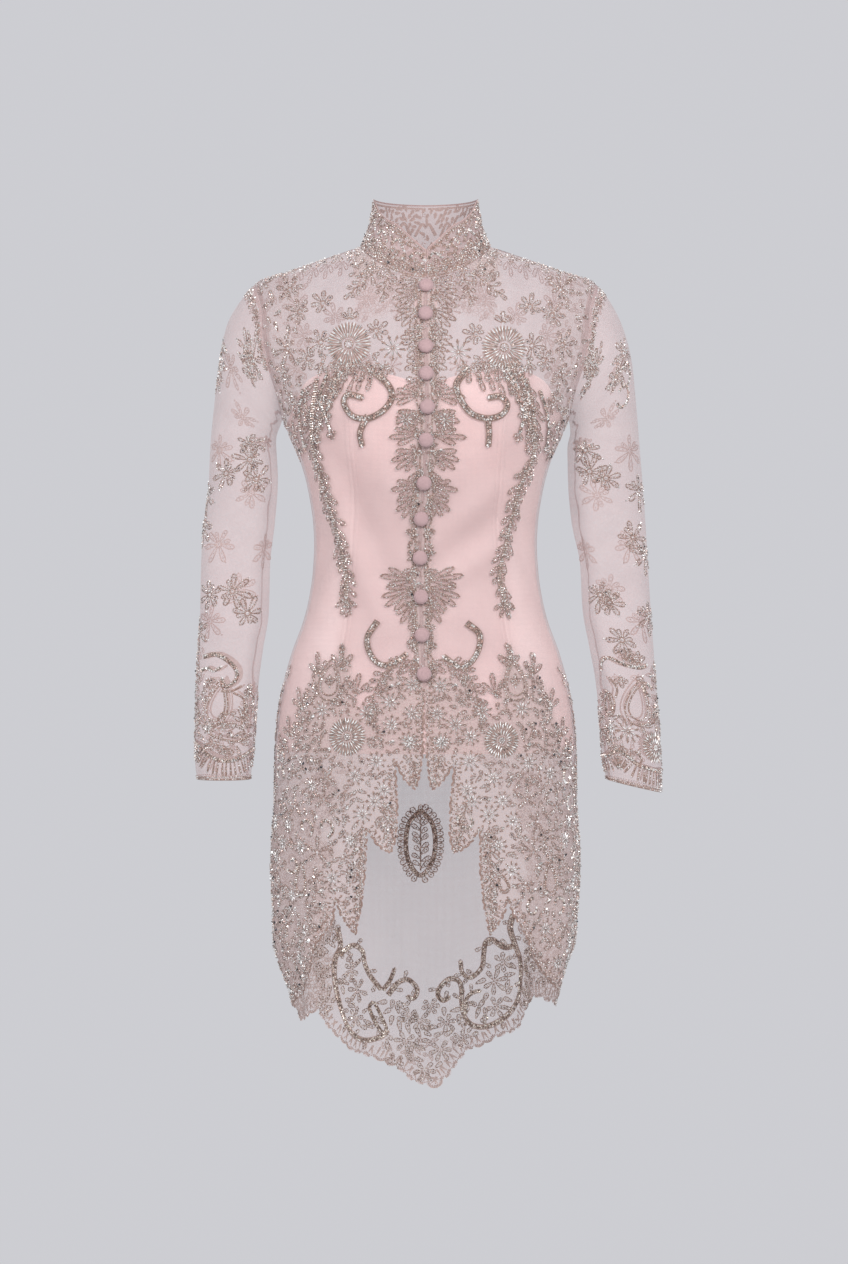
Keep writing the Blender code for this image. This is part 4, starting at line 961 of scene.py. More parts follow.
class BodyPattern:
    """Flat outlines of the body's cut pieces, in (s, z)."""

    def __init__(self, halves: dict[bool, BodyHalf]) -> None:
        """Args:
        halves: the body's halves.
        """
        self.halves = halves
        self.loops = {(side, back): self._half(side, back) for side in Side for back in (False, True)}

    def neck(self, side: Side, back: bool) -> Array:
        """Returns: the neck edge from the centre line to the shoulder."""
        return np.array([neck_point(side.value, float(angle), back) for angle in np.linspace(0, 90, 25)])

    def seam(self, side: Side, back: bool, heights: Sequence[float]) -> Array:
        """Returns: the body's side line at heights, for shoulder and side seams."""
        z = np.asarray(heights, float)
        return np.column_stack([side.value * self.halves[back].side(z), z])

    def armhole(self, side: Side, back: bool) -> Array:
        """Returns: the armhole edge from the shoulder tip to the underarm."""
        turn = np.linspace(0, math.pi, 33)
        angles = 2 * math.pi - turn[1:-1] if back else turn[1:-1]
        inner = [armhole_point(side, float(a))[:2] for a in angles]
        ends = self.seam(side, back, [SIZE.shoulder_tip_z, SIZE.underarm_z])
        return np.vstack([ends[:1], inner, ends[1:]])

    def hem(self, side: Side, back: bool) -> Array:
        """Returns: the plain hem from the side seam to the centre."""
        rows = (BACK_HEM if back else FRONT_HEM)[side.value]
        start = self.seam(side, back, [SIZE.side_hem_z(side)])
        end = [TAIL_TIP] if back else [(float(closing_s(SIZE.slit_top_z)), SIZE.slit_top_z)]
        return np.vstack([start, rows, end])

    def _half(self, side: Side, back: bool) -> Array:
        """One half's closed outline with its scallops.

        Args:
            side: the wearer's side.
            back: whether it is behind.

        Returns:
            The outline in (s, z).
        """
        shoulder = self.seam(side, back, np.linspace(-0.002, SIZE.shoulder_tip_z, 16))
        below = self.seam(side, back, np.linspace(SIZE.underarm_z, SIZE.side_hem_z(side), 60)[1:])
        hem = self.hem(side, back)
        centre_z = np.arange(hem[-1, 1], self.neck(side, back)[0, 1], 0.006)[1:]
        centre_s = np.zeros_like(centre_z) if back else closing_s(centre_z)
        if back:
            low = centre_z < -0.94
            centre_s = np.where(low, TAIL_TIP[0] * np.clip((-0.94 - centre_z) / 0.07, 0, 1), 0.0)
        centre = np.column_stack([centre_s, centre_z])
        top = [self.neck(side, back), shoulder, self.armhole(side, back), below]
        outline = np.vstack(top + [hem[1:], centre])
        pitch, depth = (0.0150, 0.0042) if back else (0.0080, 0.0017)
        return np.vstack(top + [scalloped(hem, outline, pitch, depth)[1:], centre])

    def panel(self, side: Side) -> Array:
        """Returns: a front's closed outline."""
        return self.loops[(side, False)]

    def whole_back(self) -> Array:
        """Returns: the back's closed outline."""
        halves = []
        for side in Side:
            loop = self.loops[(side, True)]
            tip = int(np.argmin(np.hypot(*(loop - TAIL_TIP).T)))
            halves.append(loop[:tip + 1])
        return np.vstack([halves[0], halves[1][::-1][1:-1]])

    def allowed(self, back: bool) -> Mask:
        """A test of whether pattern points lie on the body's cloth.

        Args:
            back: the half whose pattern the points are in.

        Returns:
            The test.
        """
        loops = {b: [self.loops[(side, b)] for side in Side] for b in (False, True)}

        def test(a: Array, b: Array) -> Array:
            """Returns: whether points lie on this half or, past a side seam, on the other one."""
            ok = within(loops[back], np.column_stack([a, b]))
            side = self.halves[back].side(np.clip(b, LOWEST_Z, 0))
            over = (np.abs(a) >= side) & (b < SIZE.underarm_z)
            if over.any():
                left = self.halves[not back].side(b[over]) - (np.abs(a[over]) - side[over])
                ok[over] = within(loops[not back], np.column_stack([np.sign(a[over]) * left, b[over]]))
            return ok

        return test


def outline_area(loop: Array) -> float:
    """Returns: the area inside a closed outline."""
    x, y = loop[:, 0], loop[:, 1]
    return float(abs(np.dot(x, np.roll(y, -1)) - np.dot(y, np.roll(x, -1)))) / 2


def cut_cloth(outline: Array, pitch: float) -> tuple[Array, Array]:
    """Triangles over a flat outline.

    Args:
        outline: the closed outline in (s, z).
        pitch: the distance between the points inside.

    Returns:
        The pattern points, n by 2, and the triangles, m by 3.
    """
    loop = np.column_stack([outline[:, 0], stretched(outline[:, 1])])
    step = np.hypot(*(loop - np.roll(loop, 1, axis=0)).T)
    loop = loop[step > 2e-4]
    closed = straight_line(np.vstack([loop, loop[:1]]), pitch * 0.8)[:-1]
    row = pitch * math.sqrt(3) / 2
    low, high = closed.min(axis=0), closed.max(axis=0)
    t = np.arange(low[1] + 0.4 * row, high[1], row)
    points = []
    for k, height in enumerate(t):
        s = np.arange(low[0] + (0.5 if k % 2 else 0.0) * pitch, high[0], pitch)
        points.append(np.column_stack([s, np.full_like(s, height)]))
    grid = np.vstack(points)
    grid = grid[contains(closed, grid)]
    grid = grid[near_line(grid, np.vstack([closed, closed[:1]])) > 0.45 * pitch]
    n = len(closed)
    edges = [(k, (k + 1) % n) for k in range(n)]
    flat, _, faces, *_ = delaunay_2d_cdt([Vector(p) for p in np.vstack([closed, grid])], edges, [], 0, 1e-6)
    flat = np.array([(p.x, p.y) for p in flat])
    tri = np.array([tuple(f) for f in faces if len(f) == 3])
    a, b, c = flat[tri[:, 0]], flat[tri[:, 1]], flat[tri[:, 2]]
    cross = (b[:, 0] - a[:, 0]) * (c[:, 1] - a[:, 1]) - (b[:, 1] - a[:, 1]) * (c[:, 0] - a[:, 0])
    keep = contains(closed, (a + b + c) / 3) & (np.abs(cross) > 1e-10)
    tri, cross = tri[keep], cross[keep]
    tri[cross < 0] = tri[cross < 0][:, ::-1]
    return np.column_stack([flat[:, 0], unstretched(flat[:, 1])]), tri


# ================================================================ meshes
def grey(values: Array) -> Array:
    """Returns: the values as shades of grey, n by 3."""
    return np.repeat(values[:, None], 3, axis=1)


def make_piece(name: str, points: Array, faces: Array | Sequence[Sequence[int]], material: bpy.types.Material,
               uv: Array | None = None, smooth: bool = True, tint: Array | None = None) -> bpy.types.Object:
    """A mesh object at the origin.

    Args:
        name: the piece's name.
        points: its points, n by 3.
        faces: its faces.
        material: its finish.
        uv: a pattern coordinate for each point, in metres.
        smooth: whether it is shaded smooth.
        tint: a colour for each point, or for each corner of each face, by 3.

    Returns:
        The object.
    """
    mesh = bpy.data.meshes.new(name)
    if isinstance(faces, np.ndarray):
        counts, loops = np.full(len(faces), faces.shape[1]), faces.astype(np.int32).ravel()
    else:
        counts, loops = np.array([len(f) for f in faces]), np.concatenate(faces).astype(np.int32)
    mesh.vertices.add(len(points))
    mesh.vertices.foreach_set("co", np.asarray(points, np.float32).ravel())
    mesh.loops.add(len(loops))
    mesh.loops.foreach_set("vertex_index", loops)
    mesh.polygons.add(len(counts))
    mesh.polygons.foreach_set("loop_start", np.concatenate([[0], np.cumsum(counts)[:-1]]).astype(np.int32))
    mesh.update(calc_edges=True)
    mesh.polygons.foreach_set("use_smooth", np.full(len(counts), smooth))
    if uv is not None:
        layer = mesh.uv_layers.new(name="pattern")
        layer.data.foreach_set("uv", np.asarray(uv, np.float32)[loops].ravel())
    if tint is not None:
        colour = mesh.attributes.new("tint", "FLOAT_COLOR", "POINT" if len(tint) == len(points) else "CORNER")
        rgba = np.column_stack([tint, np.ones(len(tint))]).astype(np.float32)
        colour.data.foreach_set("color", rgba.ravel())
    mesh.update()
    mesh.validate()
    obj = bpy.data.objects.new(name, mesh)
    bpy.context.scene.collection.objects.link(obj)
    obj.data.materials.append(material)
    return obj


def cloth_piece(name: str, surface: Surface, outline: Array, pitch: float, depth: float,
                material: bpy.types.Material, cover: Mask | None = None) -> bpy.types.Object:
    """A cut piece of cloth bent onto a surface.

    Args:
        name: the piece's name.
        surface: what it is bent onto.
        outline: its flat outline.
        pitch: the distance between its points.
        depth: how far it lies inside the surface.
        material: its finish.
        cover: how much lace each pattern point carries, from 0 to 1.

    Returns:
        The object.
    """
    flat, tri = cut_cloth(outline, pitch)
    p, _, _, normal = surface.frame(flat[:, 0], flat[:, 1])
    tint = grey(cover(flat[:, 0], flat[:, 1])) if cover else None
    return make_piece(name, p - normal * depth, surface.faced(tri), material, uv=flat, tint=tint)


def grid_faces(rows: int, columns: int, flip: bool) -> Array:
    """Returns: the quads of a grid of points, row by row."""
    r, c = np.meshgrid(np.arange(rows - 1), np.arange(columns - 1), indexing="ij")
    a = (r * columns + c).ravel()
    quads = np.column_stack([a, a + 1, a + columns + 1, a + columns])
    return quads[:, ::-1] if flip else quads


@dataclass
class Strip:
    """A narrow band of cloth or cord along a line of a pattern."""

    line: Array
    width: float
    height: float
    depth: float = 0.0


EDGE_LIFT = 0.00012


def strips_mesh(surface: Surface, strips: Sequence[Strip]) -> tuple[Array, Array, Array]:
    """Bands that are three points wide, with their middle raised.

    Args:
        surface: what they lie on.
        strips: the bands.

    Returns:
        Points, quads and pattern coordinates.
    """
    flat, lift, quads = [], [], []
    first = 0
    for strip in strips:
        line = strip.line
        n = len(line)
        if n < 2:
            continue
        across = leftward(headings(line)) * strip.width / 2
        flat.extend([line - across, line, line + across])
        edge = EDGE_LIFT - strip.depth
        lift.extend([np.full(n, edge), np.full(n, strip.height - strip.depth), np.full(n, edge)])
        k = np.arange(n - 1)
        for base in (first, first + n):
            quads.append(np.column_stack([base + k, base + k + 1, base + n + k + 1, base + n + k]))
        first += 3 * n
    uv = np.vstack(flat)
    p, _, _, normal = surface.frame(uv[:, 0], uv[:, 1])
    return p + normal * np.concatenate(lift)[:, None], surface.faced(np.vstack(quads)), uv


# ================================================================ beaded lace
class Bead(Enum):
    """The glass that is sewn on, by its colour."""

    SILVER = (0.60, 0.505, 0.46)
    # BRIGHT is white-silver glass, set as light as a colour can be and used on many beads, so it also paints the
    # sparkle of highlights.
    BRIGHT = (1.0, 0.97, 0.94)
    ROSE = (0.53, 0.375, 0.335)
    DARK = (0.05, 0.05, 0.06)
    # STITCH, the beads' reverse where the lace is seen from inside, is lighter than their own tone: painted light for
    # the shade in there.
    STITCH = (0.84, 0.69, 0.60)
    SHADE = (0.34, 0.25, 0.205)


@dataclass(frozen=True)
class LaceSize:
    """Sizes of the embroidery's parts, in metres."""

    bead_length: float = 0.0026
    bead_width: float = 0.0018
    bead_height: float = 0.0012
    bead_lift: float = 0.00045
    bead_pitch: float = 0.0028
    rim_pitch: float = 0.0027
    cord_width: float = 0.0021
    cord_height: float = 0.0006
    cord_step: float = 0.002
    petal_height: float = 0.00065
    petal_edge: float = 0.00015
    petal_blunt: float = 0.0003
    broad_petal: float = 0.0042
    stitch_height: float = 0.0003


LACE = LaceSize()
# Shares of a petal's length where its rim has points for beads, and where its mesh has rows.
PETAL_RIM = np.array([0.08, 0.25, 0.4, 0.55, 0.7, 0.8, 0.88, 0.94, 0.98, 0.998])
PETAL_ROWS = (0.0, 0.30, 0.54, 0.75, 0.89, 0.97, 1.0)
# Shares of a petal's length where it is widest, and where its open middle starts and ends.
PETAL_WIDEST = 0.74
PETAL_OPEN = (0.1, 0.95)
# How bright each of a bead's four facets is painted: a painted highlight on the brightest and painted shade on the
# darkest, for the glints and dark sides of lit glass.
FACET_PAINTED_LIGHT = np.array([1.65, 1.05, 0.40, 0.80])
# Where the lace ground is sampled round a point, which softens its border.
GROUND_STEPS = ((0, 0), (0.004, 0.001), (-0.003, 0.004), (0.001, -0.005), (-0.004, -0.002))


def club(share: Array) -> Array:
    """Returns: a petal's half width at shares of its length, 1 at the widest, near its round end."""
    neck = 0.20 + 0.80 * np.sin(np.minimum(share / PETAL_WIDEST, 1.0) * math.pi / 2) ** 1.4
    tip = np.sqrt(np.maximum(0.0, 1 - ((share - PETAL_WIDEST) / 0.26) ** 2))
    return np.where(share < PETAL_WIDEST, neck, tip)


class Lace:
    """Embroidery drawn in one pattern: cords, petals and beads, and the motifs made of them."""

    def __init__(self, name: str, surface: Surface, allowed: Mask, seed: int) -> None:
        """Args:
        name: the start of its pieces' names.
        surface: what it is sewn to.
        allowed: tells which pattern points lie on the cloth.
        seed: the seed of its small irregularities.
        """
        self.name = name
        self.surface = surface
        self.allowed = allowed
        self.rng = np.random.default_rng(seed)
        self.cords: list[Strip] = []
        self.petals: list[tuple[float, ...]] = []
        self.beads: list[tuple[float, ...]] = []
        self.tints: list[Bead] = []
        self.taken: list[tuple[float, float, float]] = []
        self.two_sided = False
        self.grounds: list[tuple[Mask, float]] = []

    def cover(self, a: Array, b: Array) -> Array:
        """How much lace ground lies at pattern points.

        Args:
            a: pattern places.
            b: pattern places.

        Returns:
            A share from 0 to 1 for each.
        """
        out = np.zeros(len(a))
        for da, db in GROUND_STEPS:
            best = np.zeros(len(a))
            for mask, weight in self.grounds:
                best = np.maximum(best, weight * mask(a + da, b + db))
            out += best / len(GROUND_STEPS)
        return out

    # ------------------------------------------------ parts
    def bead(self, a: float, b: float, heading: float, scale: float = 1.0, tint: Bead | None = None,
             long: float = 1.0) -> None:
        """One bead.

        Args:
            a: pattern place.
            b: pattern place.
            heading: the way it points.
            scale: its size against the usual one.
            tint: its glass, or None for a mixed one.
            long: its length against the usual one.
        """
        if tint is None:
            pick = self.rng.random()
            tint = Bead.BRIGHT if pick < 0.36 else Bead.ROSE if pick < 0.54 else Bead.SILVER
        turn = heading + self.rng.normal(0, 0.10)
        length, width = LACE.bead_length * scale * long, LACE.bead_width * scale
        self.beads.append((a, b, turn, length, width, LACE.bead_height * scale))
        self.tints.append(tint)
        if self.two_sided:
            self.beads.append((a, b, turn + 0.4, length, width, -LACE.bead_height * 0.7))
            self.tints.append(Bead.STITCH if self.rng.random() < 0.6 else Bead.SHADE)

    def bead_row(self, line: Array, pitch: float = LACE.bead_pitch, turn: float = 0.0, scale: float = 1.0) -> None:
        """Beads along a line.

        Args:
            line: the line's points.
            pitch: the distance from bead to bead.
            turn: how far each is turned from the line.
            scale: their size against the usual one.
        """
        track = Track(line)
        count = max(1, int(track.length / pitch))
        for a, b, heading in zip(*track.at((np.arange(count) + 0.5) * track.length / count)):
            self.bead(a, b, heading + turn, scale)

    def cord(self, points: Line, width: float = LACE.cord_width, closed: bool = False) -> None:
        """A cord with a row of beads on it.

        Args:
            points: the points it runs through.
            width: its width.
            closed: whether it is a ring.
        """
        line = smooth_line(points, LACE.cord_step, closed)
        self.cords.append(Strip(line, width, LACE.cord_height))
        self.bead_row(line)

    def stitch(self, place: tuple[float, float], heading: float, length: float, width: float, height: float,
               broad: bool = False) -> None:
        """Satin stitch in the shape of a petal.

        Args:
            place: its base.
            heading: the way its tip points.
            length: base to tip.
            width: its widest.
            height: its highest.
            broad: whether its middle is left open.
        """
        self.petals.append((*place, heading, length, width, height, float(broad)))

    def petal(self, a: float, b: float, heading: float, length: float, width: float) -> None:
        """A stitched petal with beads round its rim and one or two within.

        Args:
            a: place of its base.
            b: place of its base.
            heading: the way its tip points.
            length: base to tip.
            width: its widest.
        """
        broad = width > LACE.broad_petal
        self.stitch((a, b), heading, length, width, LACE.petal_height, broad)
        along = np.concatenate([PETAL_RIM, PETAL_RIM[::-1]]) * length
        off = 0.43 * width * np.concatenate([club(PETAL_RIM), -club(PETAL_RIM[::-1])])
        self.bead_row(np.column_stack(moved(a, b, heading, along, off)), LACE.rim_pitch, 0.0, 0.84)
        if broad:
            for share in ((0.62,) if length < 0.011 else (0.46, 0.74)):
                pick = self.rng.random()
                tint = Bead.BRIGHT if pick < 0.55 else Bead.ROSE if pick < 0.94 else Bead.DARK
                self.bead(*moved(a, b, heading, share * length), heading, 0.95, tint, 1.2)

    # ------------------------------------------------ motifs
    def fan(self, a: float, b: float, heading: float, count: int, length: float, spread: float,
            width: float = 0.0048) -> None:
        """Petals that spread from one point, angles in degrees.

        Args:
            a: the point.
            b: the point.
            heading: the middle petal's way.
            count: how many petals.
            length: the middle petal's length.
            spread: the angle from the first to the last.
            width: a petal's width.
        """
        for k in range(count):
            u = (k / (count - 1) - 0.5) if count > 1 else 0.0
            turn = math.radians(heading + u * spread)
            size = length * (1 - 0.45 * abs(u)) * self.rng.uniform(0.93, 1.05)
            self.petal(*moved(a, b, turn, 0.002), turn, size, width)
        self.bead(a, b, math.radians(heading), 1.3, Bead.BRIGHT)

    def sprig(self, a: float, b: float, heading: float, size: float) -> None:
        """A full sprig: a spread of petals, shorter ones behind it and beads at its heart.

        Args:
            a: its heart.
            b: its heart.
            heading: the way it points, in degrees.
            size: the middle petal's length.
        """
        self.fan(a, b, heading, 5, size, 205, 0.0066)
        self.fan(a, b, heading + 180, 3, size * 0.72, 95, 0.0054)
        for k in range(6):
            turn = k * math.pi / 3 + 0.4
            self.bead(*moved(a, b, turn, 0.0042), turn, 1.0)
        for k in (-1, 1):
            turn = math.radians(heading + 55 * k)
            self.bead(*moved(a, b, turn, size * 1.05), turn, 1.2, Bead.BRIGHT)

    def spray(self, points: Line, length: float, width: float, pitch: float, taper: float = 0.55,
              lean: float = 48) -> None:
        """A stem with pairs of petals and one more at its tip.

        Args:
            points: the points that the stem runs through.
            length: the first petals' length.
            width: their width.
            pitch: the distance from pair to pair.
            taper: the last petals' length against the first.
            lean: degrees from the stem to a petal.
        """
        track = Track(smooth_line(points, 0.0015))
        self.cord(points, 0.0018)
        count = max(1, int(track.length / pitch))
        for k in range(count):
            for side in (1, -1):
                at = (k + 0.5 + 0.22 * side) * track.length / count
                size = length * (1 + (taper - 1) * at / track.length)
                a, b, heading = track.at(at)
                turn = heading + side * math.radians(lean + self.rng.uniform(-12, 12))
                self.petal(*moved(a, b, turn, 0.0008), turn, size * self.rng.uniform(0.74, 1.2),
                           width * (0.7 + 0.3 * size / length))
        self.petal(*track.line[-1], track.heading[-1], length * taper * 1.25, width)

    def daisy(self, a: float, b: float, radius: float, count: int = 9) -> None:
        """A small round flower.

        Args:
            a: its middle.
            b: its middle.
            radius: its radius.
            count: how many petals.
        """
        start = self.rng.uniform(0, 1)
        for k in range(count):
            turn = 2 * math.pi * (k + start) / count
            self.stitch(moved(a, b, turn, 0.001), turn, radius * 0.97, radius * 0.12, LACE.stitch_height)
            self.bead(*moved(a, b, turn, radius * 0.44), turn, 0.92, Bead.BRIGHT, radius * 0.26 / 0.001)
            for side in (1, -1):
                self.bead(*moved(a, b, turn, radius * 0.84, side * radius * 0.10), turn + side * 0.4, 0.95, None, 0.9)
        self.bead(a, b, 0.4, 1.5, Bead.BRIGHT, 0.8)
        self.taken.append((a, b, radius))

    def wheel(self, a: float, b: float, radius: float, rays: int = 38) -> None:
        """A large round motif of bugle beads.

        Args:
            a: its middle.
            b: its middle.
            radius: its radius.
            rays: how many rays.
        """
        turn = np.linspace(0, 2 * math.pi, 16)
        ring = radius * 0.17
        hub = np.column_stack([a + ring * np.cos(turn), b + ring * np.sin(turn)])
        self.cords.append(Strip(hub, 0.0022, LACE.cord_height))
        for k in range(rays):
            turn = 2 * math.pi * k / rays
            between = turn + math.pi / rays
            self.stitch(moved(a, b, between, radius * 0.30), between, radius * 0.68, 0.0011, LACE.stitch_height)
            for share in (0.80,) if k % 2 else (0.86, 0.46):
                tint = Bead.BRIGHT if self.rng.random() < 0.9 else Bead.SILVER
                self.bead(*moved(a, b, turn, radius * share), turn, 1.1, tint, radius * 0.40 / 0.00286)
        for k in range(9):
            turn = 2 * math.pi * k / 9
            self.bead(*moved(a, b, turn, radius * 0.14), turn, 1.1, Bead.BRIGHT)
        self.bead(a, b, 0.0, 1.6, Bead.BRIGHT, 0.8)
        self.taken.append((a, b, radius * 1.08))

    def rope(self, points: Line, width: float = 0.0050, taper: float = 0.6) -> Array:
        """A thick scroll arm of slanted beads over cord.

        Args:
            points: the points it runs through.
            width: its width at the start.
            taper: its width at the end against the start.

        Returns:
            Its line.
        """
        line = smooth_line(points, 0.0017)
        heading = np.unwrap(headings(line))
        share = np.linspace(0, 1, len(line))
        half = width / 2 * (1 + (taper - 1) * share)
        across = leftward(heading)
        self.cords.append(Strip(line, width, LACE.stitch_height))
        for side in (1, -1):
            self.bead_row(line + across * (side * half * 0.48)[:, None], LACE.rim_pitch, side * 0.75, 1.5)
            self.cords.append(Strip(line + across * (side * half)[:, None], 0.0010, 0.0007))
        self.bead(line[-1, 0], line[-1, 1], heading[-1], 1.7, Bead.BRIGHT)
        for a, b in line[::4]:
            self.taken.append((float(a), float(b), width * 0.7))
        return line

    def paisley(self, a: float, b: float, length: float, width: float, tilt: float) -> None:
        """A clear drop-shaped window inside two beaded outlines.

        Args:
            a: its middle.
            b: its middle.
            length: its length.
            width: its width.
            tilt: degrees that its tip leans from straight up.
        """
        turn = math.radians(90 + tilt)
        for grow in (1.0, 1.32):
            loop = []
            for u in (2 * math.pi * k / 16 for k in range(16)):
                off = 0.5 * width * grow * math.sin(u) * (1 - 0.45 * math.cos(u))
                loop.append(moved(a, b, turn, 0.5 * length * grow * math.cos(u), off))
            self.cord(loop, closed=True)
        for share in (-0.22, 0.02, 0.26):
            self.taken.append((*moved(a, b, turn, share * length), width * 0.66))

    def rays(self, line: Array, reach: float, pitch: float, inward: int) -> None:
        """Short bars of beads that stand on a line like rungs.

        Args:
            line: the line.
            reach: a bar's length.
            pitch: the distance from bar to bar.
            inward: 1 for the left of the line's travel, -1 for its right.
        """
        track = Track(line)
        for at in np.arange(pitch / 2, track.length, pitch):
            a, b, heading = track.at(at)
            turn = heading + inward * math.pi / 2 + self.rng.normal(0, 0.06)
            self.stitch((a, b), turn, reach, 0.0020, 0.0004)
            for step in np.arange(0.0022, reach, 0.0034):
                self.bead(*moved(a, b, turn, step), turn, 0.95, None, 1.15)

    # ------------------------------------------------ fills
    def free(self, a: Array, b: Array, margin: float) -> Array:
        """Returns: whether points lie clear of the motifs placed so far."""
        ok = np.ones(len(a), bool)
        for ta, tb, radius in self.taken:
            ok &= (a - ta) ** 2 + (b - tb) ** 2 > (radius + margin) ** 2
        return ok

    def flow(self, a: Array, b: Array) -> Array:
        """Returns: a slowly winding direction for the fill's petals."""
        return (math.pi / 2 + 1.3 * np.sin(a * 61 + 1.7) + 1.1 * np.sin(b * 53 + a * 31)
                + 0.9 * np.sin(b * 97 - a * 71 + 0.8))

    def scatter(self, box: Box, pitch: float) -> tuple[Array, Array]:
        """Returns: an uneven lattice of points over a pattern box of a0, a1, b0 and b1."""
        a = np.arange(box[0], box[1], pitch)
        b = np.arange(box[2], box[3], pitch * 0.87)
        aa, bb = np.meshgrid(a, b, indexing="ij")
        aa = aa + (np.arange(len(b)) % 2)[None, :] * pitch / 2
        aa = aa + self.rng.uniform(-0.3, 0.3, aa.shape) * pitch
        bb = bb + self.rng.uniform(-0.3, 0.3, bb.shape) * pitch
        return aa.ravel(), bb.ravel()

    def spots(self, box: Box, mask: Mask, pitch: float, margin: float) -> tuple[Array, Array]:
        """Uneven places in a region that lie on the cloth and clear of the motifs.

        Args:
            box: pattern box of a0, a1, b0 and b1.
            mask: tells which points are in the region.
            pitch: the distance from place to place.
            margin: how far they stay off the motifs.

        Returns:
            The pattern places.
        """
        a, b = self.scatter(box, pitch)
        ok = mask(a, b) & self.free(a, b, margin)
        ok[ok] &= self.allowed(a[ok], b[ok])
        return a[ok], b[ok]

    def fill(self, box: Box, mask: Mask, pitch: float, length: float, width: float = 0.0045,
             crystals: float = 0.03, loose: float = 0.52, ground: float = 1.0) -> None:
        """Petals, a few large crystals and specks of glass over a region.

        Args:
            box: pattern box of a0, a1, b0 and b1.
            mask: tells which points are in the region.
            pitch: the distance from petal to petal.
            length: a petal's length.
            width: a petal's width.
            crystals: how many places carry a large crystal.
            loose: the specks' pitch against the petals'.
            ground: how strong the lace ground shows.
        """
        self.grounds.append((mask, ground * min(1.0, 0.0095 / pitch) ** 2))
        a, b = self.spots(box, mask, pitch, length * 0.28)
        size = length
        for x, y, way in zip(a, b, self.flow(a, b)):
            turn = float(way) + self.rng.normal(0, 0.25)
            size = length * self.rng.uniform(0.75, 1.1)
            self.petal(*moved(x, y, turn, -0.5 * size), turn, size, width)
            if self.rng.random() < crystals * 2.2:
                tint, long = (Bead.DARK, 0.8) if self.rng.random() < 0.45 else (Bead.BRIGHT, 1.1)
                self.bead(x + 0.003, y + 0.002, turn, 1.9, tint, long)
        # The specks are tiny: their scale is the last petal's length in metres.
        for x, y in zip(*self.spots(box, mask, pitch * loose, 0.0)):
            self.bead(x, y, float(self.rng.uniform(0, math.pi)), size)

    # ------------------------------------------------ meshes
    def _cut_cords(self) -> list[Strip]:
        """Returns: the stretches of the cords that lie on the cloth."""
        cut = []
        for strip in self.cords:
            ok = self.allowed(strip.line[:, 0], strip.line[:, 1])
            start = 0
            for stop in (*np.flatnonzero(~ok), len(ok)):
                if stop - start > 1:
                    cut.append(Strip(strip.line[start:stop], strip.width, strip.height))
                start = stop + 1
        return cut

    def _petal_mesh(self) -> tuple[Array, Array, Array, Array]:
        """Returns: the petals' points, quads and pattern coordinates, and how open each point is."""
        petals = np.array(self.petals)
        way = np.column_stack([np.cos(petals[:, 2]), np.sin(petals[:, 2])])
        middle, tip = (petals[:, :2] + share * petals[:, 3:4] * way for share in (0.5, 1.0))
        a, b, turn, length, width, height, broad = petals[self.allowed(*middle.T) & self.allowed(*tip.T)].T
        ca, sa = np.cos(turn), np.sin(turn)
        flat, lift, clear = [], [], []
        for t in PETAL_ROWS:
            half = 0.5 * width * float(club(np.array([t]))[0]) + LACE.petal_blunt
            rise = height * math.sin(math.pi * min(1.0, 0.12 + 0.76 * t))
            for side in (-1, 0, 1):
                along, off = t * length, side * half
                flat.append(np.column_stack([a + along * ca - off * sa, b + along * sa + off * ca]))
                lift.append(np.full(len(a), LACE.petal_edge) if side else rise)
                clear.append(broad * (side == 0 and PETAL_OPEN[0] < t < PETAL_OPEN[1]))
        each = len(flat)
        uv = np.stack(flat, axis=1).reshape(-1, 2)
        p, _, _, normal = self.surface.frame(uv[:, 0], uv[:, 1])
        p += normal * np.stack(lift, axis=1).reshape(-1)[:, None]
        corners = [row * 3 + column for row in range(len(PETAL_ROWS) - 1) for column in (0, 1)]
        unit = np.array([(c, c + 3, c + 4, c + 1) for c in corners])
        quads = (unit[None] + (np.arange(len(a)) * each)[:, None, None]).reshape(-1, 4)
        return p, self.surface.faced(quads), uv, np.stack(clear, axis=1).reshape(-1)

    def thread_mesh(self, material: bpy.types.Material) -> bpy.types.Object:
        """Returns: all cords and petals as one piece."""
        p, faces, uv = strips_mesh(self.surface, self._cut_cords())
        q, quads, places, clear = self._petal_mesh()
        return make_piece(self.name + "_thread", np.vstack([p, q]), np.vstack([faces, quads + len(p)]), material,
                          uv=np.vstack([uv, places]), tint=grey(np.concatenate([np.zeros(len(p)), clear])))

